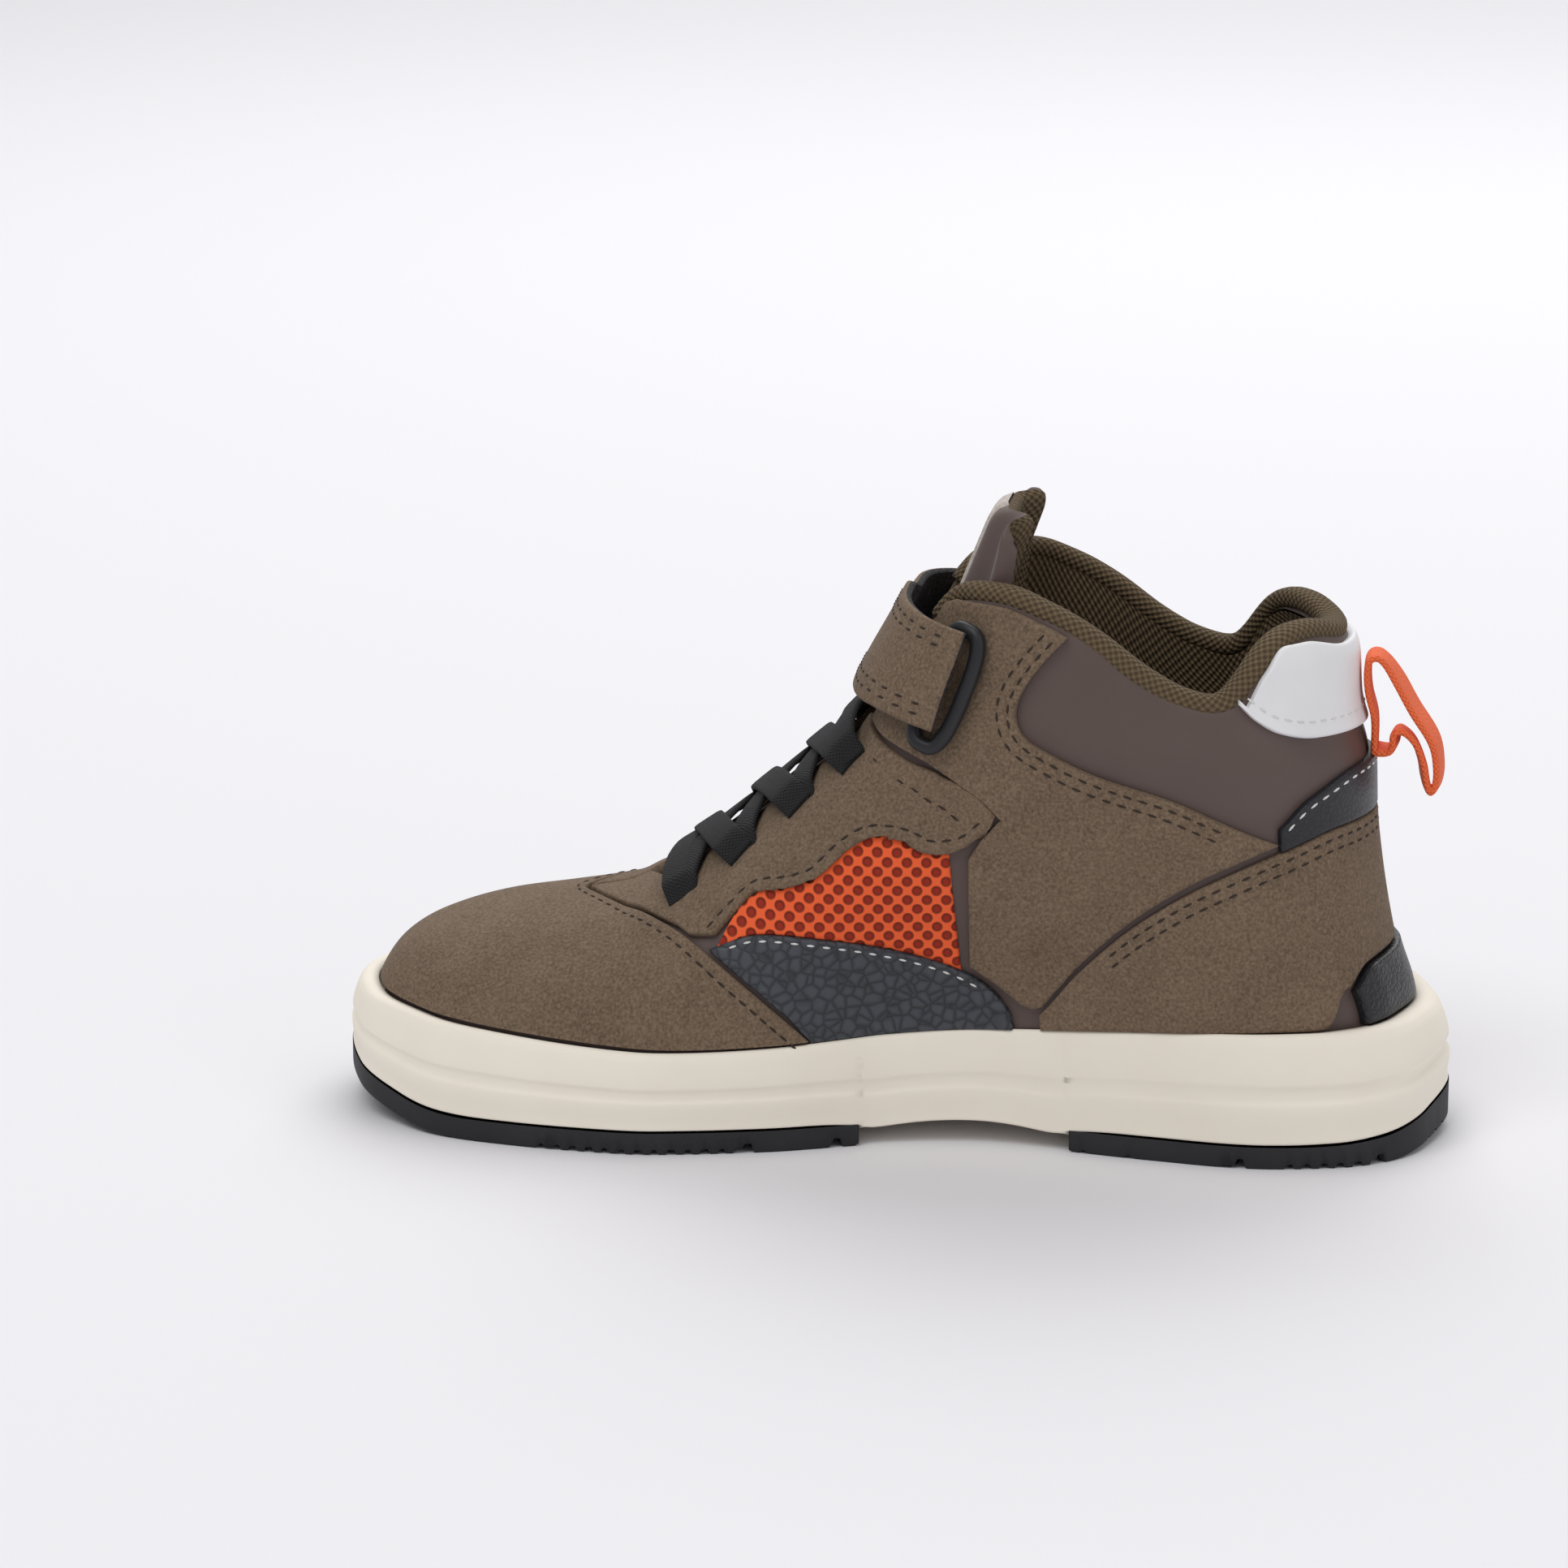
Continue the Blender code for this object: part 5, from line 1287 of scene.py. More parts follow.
def patch(
    low: np.ndarray, high: np.ndarray, left: np.ndarray, right: np.ndarray, us: np.ndarray, vs: np.ndarray
) -> np.ndarray:
    """Grid that fills four border lines.

    Args:
        low: border below, from left to right
        high: border above, from left to right
        left: border from low to high
        right: border from low to high
        us: shares across
        vs: shares up

    Returns:
        The grid, rows by columns by 2.
    """
    a = along_line(low, us)[None]
    b = along_line(high, us)[None]
    c = along_line(left, vs)[:, None]
    d = along_line(right, vs)[:, None]
    u = us[None, :, None]
    v = vs[:, None, None]
    corners = (1 - u) * ((1 - v) * a[:, :1] + v * b[:, :1]) + u * ((1 - v) * a[:, -1:] + v * b[:, -1:])
    return (1 - v) * a + v * b + (1 - u) * c + u * d - corners


def between(low: np.ndarray, high: np.ndarray, us: np.ndarray, vs: np.ndarray) -> np.ndarray:
    """Grid between two lines, with straight ends."""
    return patch(low, high, np.array([low[0], high[0]]), np.array([low[-1], high[-1]]), us, vs)


def from_border(rows: int, columns: int) -> np.ndarray:
    """How many lines each point of a grid lies in from its nearest border."""
    up = np.minimum(np.arange(rows), rows - 1 - np.arange(rows))[:, None]
    over = np.minimum(np.arange(columns), columns - 1 - np.arange(columns))[None]
    return np.minimum(up, over)


def edged(count: int, length: float) -> np.ndarray:
    """Shares from 0 to 1 with close lines at both ends for a rounded edge."""
    near = np.array([0.0, 0.18, 0.45, 0.9]) * 0.001 / max(length, 0.004)
    middle = np.linspace(near[-1], 1 - near[-1], count)[1:-1]
    return np.concatenate([near, middle, 1 - near[::-1]])


class Chart:
    """Flat chart of the upper's outer face, read from a table of its lines."""

    def __init__(self, keys: np.ndarray, reach: float, line_at: Callable[[float, int], tuple]) -> None:
        """Sample the lines.

        Args:
            keys: rising values of the first coordinate
            reach: greatest distance along a line
            line_at: gives a line's points and distances
        """
        self.keys = keys
        self.step = mm(0.4)
        self.count = int(reach / self.step)
        steps = np.arange(self.count + 1) * self.step
        self.lines = {}
        for side in (MEDIAL, LATERAL):
            rows = []
            for key in keys:
                points, length = line_at(float(key), side)
                rows.append(np.stack([np.interp(steps, length, points[:, k]) for k in range(3)], axis=1))
            self.lines[side] = np.array(rows)

    def __call__(self, grid: np.ndarray) -> np.ndarray:
        """Points of the face.

        Args:
            grid: each line's own value, and the signed distance along it, lateral above 0

        Returns:
            The points.
        """
        key, around = grid[..., 0], grid[..., 1]
        f = np.clip(np.interp(key, self.keys, np.arange(len(self.keys))), 0, len(self.keys) - 1.001)
        g = np.clip(np.abs(around) / self.step, 0, self.count - 0.001)
        i = f.astype(int)
        k = g.astype(int)
        f = (f - i)[..., None]
        g = (g - k)[..., None]
        found = []
        for side in (MEDIAL, LATERAL):
            t = self.lines[side]
            low = t[i, k] * (1 - g) + t[i, k + 1] * g
            high = t[i + 1, k] * (1 - g) + t[i + 1, k + 1] * g
            found.append(low * (1 - f) + high * f)
        return np.where((around < 0)[..., None], found[0], found[1])


class Charts:
    """The charts on which panels, stitches and straps are laid."""

    def __init__(self) -> None:
        """Sample each chart once: upright, square to the ridge, along the strap, and level."""
        front = np.linspace(LAST_TOE + WELD, x_of(0.69), 420)
        self.cap = Chart(front, 0.085, lambda x, side: wrap_line(x, -math.pi / 2, side))
        self.instep = Chart(front, 0.072, lambda x, side: wrap_line(x, square_to_ridge(x), side))
        self.strap = Chart(front, 0.072, lambda x, side: wrap_line(x, STRAP_TILT, side))
        self.level = Chart(np.linspace(0.016, 0.125, 300), 0.1045, lambda z, side: heel_line(side, z))

    def heel(self, grid: np.ndarray) -> np.ndarray:
        """Level lines round the heel: distance from the back seam and height."""
        return self.level(grid[..., ::-1])

    @staticmethod
    def side(which: int) -> Place:
        """Side view of one side, carried out to the face."""

        def place(grid: np.ndarray) -> np.ndarray:
            """Points of the face beside side view points."""
            y = which * half_width(which, grid[..., 0], grid[..., 1])
            return np.stack([grid[..., 0], y, grid[..., 1]], axis=-1)

        return place


@dataclass(frozen=True)
class Crease:
    """Soft trough or ridge along a line of the side view, in shares of length and ankle height."""

    start: Point
    end: Point
    width: float
    depth: float

    def offset(self, x: np.ndarray, z: np.ndarray) -> np.ndarray:
        """How far the face moves out at side view points.

        Args:
            x: places along the shoe
            z: heights

        Returns:
            The offsets, below 0 in a trough.
        """
        a = np.array([x_of(self.start[0]), self.start[1] * ANKLE_HEIGHT])
        b = np.array([x_of(self.end[0]), self.end[1] * ANKLE_HEIGHT])
        line = b - a
        t = np.clip(((x - a[0]) * line[0] + (z - a[1]) * line[1]) / (line @ line), 0.0, 1.0)
        away = np.hypot(x - a[0] - t * line[0], z - a[1] - t * line[1])
        return self.depth * np.exp(-((away / self.width) ** 2))


CREASES = [
    Crease((0.268, 0.375), (0.305, 0.230), 0.0034, -0.00050),
    Crease((0.300, 0.420), (0.340, 0.260), 0.0040, -0.00055),
    Crease((0.284, 0.400), (0.322, 0.245), 0.0036, 0.00040),
    Crease((0.655, 0.900), (0.700, 0.760), 0.0075, 0.00060),
    Crease((0.700, 0.830), (0.770, 0.680), 0.0060, -0.00045),
    Crease((0.770, 0.790), (0.850, 0.690), 0.0080, 0.00060),
    Crease((0.830, 0.800), (0.880, 0.735), 0.0050, -0.00050),
    Crease((0.690, 0.330), (0.760, 0.290), 0.0070, 0.00050),
    Crease((0.560, 0.600), (0.640, 0.520), 0.0090, -0.00040),
    Crease((0.640, 0.700), (0.700, 0.600), 0.0080, 0.00035),
]


def relief(points: np.ndarray) -> np.ndarray:
    """Sum of the creases at points of the face."""
    total = np.zeros(points.shape[:-1])
    for crease in CREASES:
        total += crease.offset(points[..., 0], points[..., 2])
    return total


def laid_over(
    place: Place, grid: np.ndarray, base: float, thickness: float
) -> np.ndarray:
    """Points of a panel with a rounded edge and a skirt down to what it lies on.

    Args:
        place: chart that the grid is on
        grid: rows by columns by 2, with close lines at its borders
        base: lift of the panel's underside
        thickness: of the panel

    Returns:
        The points, two rows and two columns more than the grid.
    """
    points = place(grid)
    normal = grid_normals(points, inner_line)
    profile = np.array([0.42, 0.78, 0.95, 1.0])[np.minimum(from_border(*grid.shape[:2]), 3)]
    lift = base + thickness * profile + relief(points)
    top = np.pad(points + normal * lift[..., None], ((1, 1), (1, 1), (0, 0)), mode="edge")
    foot = points + normal * (base - PANEL_GAP + relief(points))[..., None]
    low = np.pad(foot, ((1, 1), (1, 1), (0, 0)), mode="edge")
    inside = np.zeros(top.shape[:2], bool)
    inside[1:-1, 1:-1] = True
    return np.where(inside[..., None], top, low)


def faces_in(points: np.ndarray) -> bool:
    """Whether a grid's faces point into the shoe."""
    away = np.sum(cell_normals(points) * (points - inner_line(points)), axis=2)
    return bool(np.median(away) < 0)


def outward_order(points: np.ndarray) -> np.ndarray:
    """The grid, with its rows turned over if its faces would point inwards."""
    return points[::-1] if faces_in(points) else points


def panel(
    name: str,
    place: Place,
    grid: np.ndarray,
    finish: str,
    *nodes: str,
    base: float = PANEL_GAP,
    thickness: float = PANEL_THICKNESS,
) -> Piece:
    """One panel of the upper.

    Args:
        name: the piece's name
        place: chart of the grid
        grid: the panel's own grid
        finish: a name of FINISHES
        nodes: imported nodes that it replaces
        base: lift of its underside
        thickness: of the panel

    Returns:
        The object.
    """
    points = laid_over(place, grid, base, thickness)
    cloth = np.pad(grid, ((1, 1), (1, 1), (0, 0)), mode="edge")
    if faces_in(points):
        points = points[::-1]
        cloth = cloth[::-1]
    piece = grid_object(name, points, cloth)
    tidy_mesh(piece, outward=False)
    return dress(piece, finish, *nodes)


def leftward(line: np.ndarray) -> np.ndarray:
    """Unit directions to the left of a flat line."""
    along = unit(np.gradient(line, axis=0))
    return np.stack([-along[:, 1], along[:, 0]], axis=1)


def face_normals(place: Place, flat: np.ndarray) -> np.ndarray:
    """Outward unit normals of the upper's face at points of a chart."""
    step = mm(0.4)
    du = place(flat + [step, 0]) - place(flat - [step, 0])
    dv = place(flat + [0, step]) - place(flat - [0, step])
    normal = unit(np.cross(du, dv))
    points = place(flat)
    inward = np.sum(normal * (points - inner_line(points)), axis=-1, keepdims=True) < 0
    return np.where(inward, -normal, normal)


class Stitching:
    """All stitches of one thread, as one joined mesh."""

    def __init__(self, name: str, finish: str) -> None:
        """Start an empty mesh.

        Args:
            name: the piece's name
            finish: the thread's finish
        """
        self.name = name
        self.finish = finish
        self.bm = bmesh.new()

    def run(
        self,
        place: Place,
        line: np.ndarray,
        lift: float,
        pitch: float = 0.0030,
        inset: float = 0.0,
        length: float = 0.0021,
        width: float = 0.00055,
    ) -> None:
        """Sew one row of stitches along a line of a chart.

        Args:
            place: chart of the line
            line: points of the line
            lift: height of the panel's top
            pitch: distance from stitch to stitch
            inset: distance by which the row is moved to the line's left
            length: of a stitch
            width: of the thread
        """
        line = np.asarray(line, float)
        if inset:
            line = line + leftward(line) * inset
        points = place(line)
        count = max(int(walked(points)[-1] / pitch), 2)
        at = along_line(np.hstack([points, line]), (np.arange(count) + 0.5) / count)
        for k, row in enumerate(at):
            flat = row[3:]
            normal = face_normals(place, flat)
            along = unit(at[min(k + 1, count - 1), :3] - at[max(k - 1, 0), :3])
            side = unit(np.cross(normal, along))
            here = row[:3] + normal * (lift + float(relief(row[:3])))
            axes = (along * length / 2, side * width / 2, np.cross(along, side) * width * 0.38)
            frame = Matrix([*np.column_stack([*axes, here]).tolist(), [0.0, 0.0, 0.0, 1.0]])
            bmesh.ops.create_uvsphere(self.bm, u_segments=6, v_segments=4, radius=1.0, matrix=frame)

    def build(self) -> Piece:
        """Make the object of all rows sewn so far."""
        bmesh.ops.recalc_face_normals(self.bm, faces=self.bm.faces)
        mesh = bpy.data.meshes.new(self.name)
        self.bm.to_mesh(mesh)
        self.bm.free()
        mesh.uv_layers.new(name="cloth")
        mesh.shade_smooth()
        return dress(linked(self.name, mesh), self.finish)


def swept(
    name: str,
    path: np.ndarray,
    outs: np.ndarray,
    sides: np.ndarray,
    section: np.ndarray,
    closed: bool = False,
) -> Piece:
    """Band of one section along a path, closed at its ends.

    Args:
        name: the piece's name
        path: points of its middle line
        outs: direction of the section's first axis at each point
        sides: direction of its second axis
        section: offsets along both axes, in order round the section
        closed: whether the path runs back into itself

    Returns:
        The object.
    """
    ring = np.vstack([section, section[:1]])
    points = path[:, None] + outs[:, None] * ring[None, :, :1] + sides[:, None] * ring[None, :, 1:]
    if closed:
        points = np.concatenate([points, points[:1]])
    else:
        first = np.repeat(points[:1].mean(axis=1, keepdims=True), ring.shape[0], axis=1)
        last = np.repeat(points[-1:].mean(axis=1, keepdims=True), ring.shape[0], axis=1)
        points = np.concatenate([first, points, last])
    piece = grid_object(name, points)
    tidy_mesh(piece)
    return piece


def closed_directions(path: np.ndarray) -> np.ndarray:
    """Unit directions along a path that runs back into itself."""
    return unit(np.roll(path, -1, axis=0) - np.roll(path, 1, axis=0))


def oval(out: float, side: float, count: int, square: float = 1.0) -> np.ndarray:
    """Oval section; a square below 1 gives it flatter sides."""
    a = np.arange(count) / count * 2 * math.pi
    c = np.sign(np.cos(a)) * np.abs(np.cos(a)) ** square
    s = np.sign(np.sin(a)) * np.abs(np.sin(a)) ** square
    return np.stack([out * c, side * s], axis=1)


@dataclass
class Upper:
    """Softshell boot: outer face with its rolled collar edge, and the knitted lining."""

    rows: int = 64
    roll: int = 6

    def stations(self) -> np.ndarray:
        """Meridians from the heel's back to the toe's tip, close together at the round ends."""
        bend = x_of(0.80)
        turn = np.cos(np.linspace(0, math.pi / 2, 26))[:-1]
        heel = bend + (LAST_HEEL - bend) * turn
        middle = np.linspace(bend, THROAT_START, 120)
        toe_from = THROAT_START - mm(1)
        toe = toe_from + (LAST_TOE - toe_from) * np.sin(np.linspace(0, math.pi / 2, 46))
        return np.concatenate([heel, middle, toe])

    def build(self) -> None:
        """Make the shell and its lining."""
        stations = self.stations()
        shares = np.linspace(0.0, 1.0, self.rows)
        medial, lateral = (
            np.array([meridian(side, float(x), shares) for x in stations]) for side in (MEDIAL, LATERAL)
        )
        whole = np.concatenate([medial, lateral[::-1][1:]])
        looped = np.concatenate([whole[-3:-1], whole, whole[1:3]])
        normal = grid_normals(looped, inner_line)[2:-2]
        stops = np.concatenate([stations, stations[::-1][1:]])
        closed = stops <= THROAT_START
        normal[closed, -1, 1] = 0.0
        normal[:, 0, 2] = 0.0
        normal = unit(normal)
        wall = wall_at(whole, whole[:, -1:, 2])
        outer = whole + normal * relief(whole)[..., None]
        inner = whole - normal * wall[..., None]
        turn = np.linspace(0, math.pi, self.roll + 2)[1:-1]
        half = wall[:, -1:, None] / 2
        centre = (outer[:, -1:] + inner[:, -1:]) / 2
        up = np.cross(np.gradient(whole[:, -1], axis=0), normal[:, -1])[:, None]
        up = unit(up * np.sign(up[..., 2:]))
        outward = normal[:, -1:] * half * np.cos(turn)[None, :, None]
        over = centre + outward + up * half * 0.6 * np.sin(turn)[None, :, None]
        over = np.where(closed[:, None, None], outer[:, -1:], over)
        shell = np.concatenate([outer, over], axis=1).swapaxes(0, 1)
        sheet("upper_shell", outward_order(shell), "satin", "upper")
        inside = np.concatenate([inner, inner[:, -1:] + up * half * 0.1], axis=1).swapaxes(0, 1)
        sheet("collar_lining", outward_order(inside)[::-1], "knit")


@dataclass
class Tongue:
    """Padded tongue with a pale strip up its front and a knitted back."""

    rows: int = 60
    top_rows: int = 30
    columns: int = 60
    base_height: float = 0.1040
    wing: float = 0.0060
    edge_fall: float = 0.0013
    corner_drop: float = 0.0042
    lean: float = 0.40
    lean_loss: float = 0.25

    def grid(self) -> np.ndarray:
        """Grid of the tongue's face on the instep chart, up to the base of its free top."""
        low_x = x_of(0.262)
        t = np.linspace(0, 1, self.rows)
        half = TONGUE_WIDTH / 2 * (0.62 + 0.38 * t) + self.wing * smooth(t, 0.72, 0.95)
        x = np.repeat((low_x + (ridge_x(self.base_height) - low_x) * t)[:, None], self.columns, axis=1)
        return np.stack([x, half[:, None] * np.linspace(-1, 1, self.columns)[None]], axis=2)

    def raised(self, rows: np.ndarray) -> np.ndarray:
        """Add the free top above a face's rows.

        Args:
            rows: the face's rows up to the base of the top

        Returns:
            All rows, up to the level edge with its round corners.
        """
        base = rows[-1]
        wide = np.abs(np.linspace(-1, 1, self.columns))
        edge = TONGUE_HEIGHT - self.edge_fall * wide**2 - self.corner_drop * wide**10
        lean = self.lean - self.lean_loss * smooth(wide, 0.35, 0.95)
        climb = (edge - base[:, 2]) * np.linspace(0, 1, self.top_rows + 1)[1:, None]
        added = base[None] + np.stack([lean * climb, np.zeros_like(climb), climb], axis=2)
        return np.concatenate([rows, added])

    def build(self, charts: Charts) -> None:
        """Make the face, the back and the strip.

        Args:
            charts: the upper's charts
        """
        grid = self.grid()
        face = charts.instep(grid)
        normal = grid_normals(face, inner_line)
        edge = smooth(np.abs(grid[..., 1]), mm(9), mm(17)) * smooth(face[..., 2], mm(58), mm(90))
        depth = UPPER_WALL + PANEL_GAP + edge * (COLLAR_PADDING - UPPER_WALL + mm(1.2))
        wide = np.abs(np.linspace(-1, 1, self.columns))[None]
        padded = smooth(face[..., 2], mm(48), mm(75))
        thick = mm(2.0) + (TONGUE_THICKNESS - mm(2.0)) * padded * (1 - 0.4 * wide**4)
        front = self.raised(face - normal * depth[..., None])
        back = self.raised(face - normal * (depth + thick)[..., None])
        up = np.concatenate([np.zeros(self.rows), np.linspace(0, 1, self.top_rows + 1)[1:]])[:, None]
        rim = np.hypot(np.maximum(0.0, (wide - 0.88) / 0.12), np.maximum(0.0, (up - 0.84) / 0.16))
        roll = (1 - np.sqrt(1 - np.minimum(1.0, rim) ** 2))[..., None]
        middle = (front + back) / 2
        front = front + (middle - front) * roll
        back = back + (middle - back) * roll
        sheet("tongue_face", outward_order(front), "satin", "tongue")
        sheet("tongue_back", outward_order(back)[::-1], "knit")
        self.strip(front)

    def strip(self, front: np.ndarray) -> None:
        """Pale fuzzy strip along the middle of the front, over the tongue's top."""
        normal = grid_normals(front, inner_line)
        start = self.rows - 20
        middle = slice(self.columns // 2 - 6, self.columns // 2 + 6)
        raised = front[start:, middle] + normal[start:, middle] * mm(0.6)
        edge = front[start:, middle] - normal[start:, middle] * mm(0.4)
        raised[:, 0] = edge[:, 0]
        raised[:, -1] = edge[:, -1]
        sheet("tongue_strip", outward_order(raised), "grey_strip")


def on_instep(side: int, points: Table) -> np.ndarray:
    """Side view points of one side, on the instep's chart."""
    return np.array([to_instep(side, tuple(p)) for p in points])


@dataclass
class Overlays:
    """Suede, leather and mesh panels of the upper, each with its stitches."""

    charts: Charts
    thread: Stitching
    pale: Stitching
    seam_inset: float = 0.0018
    trim_thickness: float = 0.0009
    fold_thickness: float = 0.0013
    piping_half_width: float = 0.0009
    wedge_height: float = 0.0042

    def build(self) -> None:
        """Make every panel."""
        self.toe_cap()
        for name, side in (("medial", MEDIAL), ("lateral", LATERAL)):
            self.eyestay(name, side)
            self.mesh(name, side)
            self.side_panel(name, side)
            self.quarter(name, side)
        self.trims("lateral", LATERAL)
        self.heel()

    def toe_cap(self) -> None:
        """Suede cap over the toe."""
        xs = np.linspace(LAST_TOE, x_of(0.06), 300)
        clear = ridge_height(xs) > rim_height(share_of(xs)) + mm(1.6)
        tip = float(xs[np.nonzero(clear)[0][0]])
        stations = np.linspace(tip, x_of(0.46), 80)
        medial, lateral = (
            np.array([rim_girth(side, float(x)) for x in stations]) for side in (MEDIAL, LATERAL)
        )
        ts = np.sin(math.pi / 2 * (2 * edged(90, 0.1) - 1))
        vs = edged(60, 0.07)
        rear = x_of(TOE_CAP_FRONT) + TOE_CAP_REACH * SHOE_LENGTH * np.abs(ts) ** TOE_CAP_BOW
        x = tip + (rear[None] - tip) * vs[:, None] ** 1.25
        t = np.repeat(ts[None], len(vs), axis=0)
        girth = np.where(t < 0, np.interp(x, stations, medial), np.interp(x, stations, lateral))
        grid = np.stack([x, t * girth], axis=2)
        panel("toe_cap_suede", self.charts.cap, grid, "suede", "toe_cap", base=SUEDE_LIFT)
        reach = [rim_girth(LATERAL if q >= 0 else MEDIAL, float(r)) for q, r in zip(ts, rear)]
        edge = np.stack([rear, ts * np.array(reach)], axis=1)
        self.thread.run(self.charts.cap, edge[6:-6], SUEDE_LIFT + PANEL_THICKNESS, inset=self.seam_inset)

    def eyestay(self, name: str, side: int) -> None:
        """Stay beside the throat."""
        low = on_instep(side, rounded(points_of(EYESTAY_LOW), 4))
        rear = on_instep(side, rounded(points_of(EYESTAY_REAR), 3))
        seam = side * SEAM_GAP / 2
        front_x = x_of(TOE_CAP_FRONT) + EDGE_GAP
        front = [(front_x + (THROAT_START - front_x) * k / 3, seam) for k in range(4)]
        edge = throat_edge(side, THROAT_START + mm(1), x_of(0.486), 22, SEAM_GAP)
        high = np.vstack([front, on_instep(side, edge)])
        high[-1] = rear[-1]
        down = [cap_edge(side, float(t), EDGE_GAP) for t in np.linspace(0.60, 0.06, 12)]
        left = np.vstack([low[:1], on_instep(side, down), high[:1]])
        grid = patch(low, high, left, rear, edged(110, 0.08), edged(40, 0.03))
        place = self.charts.instep
        panel(f"eyestay_{name}_suede", place, grid, "suede", f"eyestay_{name}", base=SUEDE_LIFT)
        top = SUEDE_LIFT + PANEL_THICKNESS
        self.thread.run(place, low, top, inset=-side * mm(1.6))
        self.thread.run(place, rear[5:], top, inset=-side * self.seam_inset)

    def mesh(self, name: str, side: int) -> None:
        """Air mesh window."""
        low = np.array(points_of(PANEL_TOP)[:5])
        high = np.array(points_of(EYESTAY_LOW)[:10])
        low[0] = (low[0][0] + mm(1.5), low[0][1] + mm(0.2))
        high[0] = (low[0][0] + mm(0.2), low[0][1] + mm(0.5))
        grid = between(rounded(low, 5), rounded(high, 5), edged(70, 0.047), edged(30, 0.01))
        node = f"mesh_panel_{name}"
        panel(f"window_{name}", Charts.side(side), grid, "mesh", node, base=mm(0.1), thickness=mm(0.8))

    def side_panel(self, name: str, side: int) -> None:
        """Pebbled panel beside the sole."""
        xs = np.linspace(x_of(0.440), x_of(0.618), 20)
        low = np.array([(float(x), float(rim_height(share_of(x))) + EDGE_GAP * 0.5) for x in xs])
        high = rounded(points_of(PANEL_TOP), 6)
        high[-1] = (low[-1][0], low[-1][1] + mm(0.8))
        left = np.array([cap_edge(side, t, EDGE_GAP) for t in (1.0, 0.92, 0.84, 0.76, 0.70)])
        left[0] = low[0]
        left[-1] = high[0]
        right = np.array([low[-1], high[-1]])
        grid = patch(low, high, left, right, edged(80, 0.06), edged(24, 0.02))
        place = Charts.side(side)
        panel(f"side_panel_{name}_leather", place, grid, "pebbled", f"side_panel_{name}")
        self.pale.run(
            place, high[2:-8], PANEL_GAP + PANEL_THICKNESS, inset=-mm(1.2), length=mm(1.7), width=mm(0.5)
        )

    def quarter(self, name: str, side: int) -> None:
        """Suede quarter."""
        right = np.array(points_of(QUARTER_REAR))
        rear = points_of(EYESTAY_REAR)
        foot_x = rear[0][0] - mm(1.6)
        tail = moved(points_of(PANEL_TOP)[4:], EDGE_GAP * 1.2, EDGE_GAP * 1.2)
        foot = (foot_x, tail[0][1])
        left = [foot, (foot_x, rear[0][1] - mm(4.5)), (rear[0][0] + mm(1), rear[0][1] - mm(0.3))]
        left += [(rear[1][0] + EDGE_GAP * 1.3, rear[1][1])]
        left += moved(rear[2:-1], 0.0, EDGE_GAP * 1.3) + [(rear[-1][0] + mm(1.3), rear[-1][1] + mm(1))]
        left += throat_edge(side, rear[-1][0] + mm(2), x_of(0.546), 9, SEAM_GAP)[1:]
        top_x = left[-1][0]
        left[-1] = (top_x, min(left[-1][1], float(collar_height(top_x)) - SEAM_GAP))
        xs = np.linspace(top_x, right[-1][0], 12)
        high = np.array([(float(x), float(collar_height(x)) - SEAM_GAP) for x in xs])
        high[0] = left[-1]
        right[-1] = high[-1]
        xs = np.linspace(tail[1][0] + mm(7), right[0][0], 12)
        low = np.array([foot, tail[1]] + [(float(x), counter_edge(x, side) + EDGE_GAP) for x in xs])
        right[0] = (low[-1][0], low[-1][1] + mm(0.8))
        right = rounded(right, 6)
        grid = patch(rounded(low, 3), high, np.array(left), right, edged(80, 0.06), edged(120, 0.06))
        place = Charts.side(side)
        panel(f"quarter_{name}_suede", place, grid, "suede", f"quarter_{name}", base=SUEDE_LIFT)
        for inset in (mm(1.5), mm(3.6)):
            self.thread.run(place, right[3:-2], SUEDE_LIFT + PANEL_THICKNESS, inset=inset)

    def trims(self, name: str, side: int) -> None:
        """White piping down the counter's front edge, suede wedge and folded black strip."""
        place = Charts.side(side)
        line = rounded(points_of(PIPING_LINE), 8)
        aside = leftward(line) * self.piping_half_width
        grid = between(line - aside, line + aside, edged(40, 0.02), np.linspace(0, 1, 7))
        base = PANEL_GAP * 2 + PANEL_THICKNESS * 0.4
        panel(f"piping_{name}", place, grid, "white", base=base, thickness=self.trim_thickness)
        xs = np.linspace(x_of(0.600), x_of(0.700), 12)
        low = np.stack([xs, rim_height(share_of(xs)) + mm(0.4)], axis=1)
        bow = np.sin(np.linspace(0, math.pi, len(xs))) ** 0.6 * self.wedge_height + mm(0.4)
        high = low + np.stack([np.zeros_like(bow), bow], axis=1)
        grid = between(low, high, edged(40, 0.02), edged(8, 0.004))
        panel(f"wedge_{name}", place, grid, "suede", base=PANEL_GAP * 0.4, thickness=self.trim_thickness)
        low, high = (rounded(points_of(table), 8) for table in (FOLD_LOW, FOLD_HIGH))
        grid = between(low, high, edged(60, 0.03), edged(20, 0.008))
        base = PANEL_GAP * 2 + PANEL_THICKNESS
        panel(f"fold_{name}", place, grid, "pebbled", base=base, thickness=self.fold_thickness)

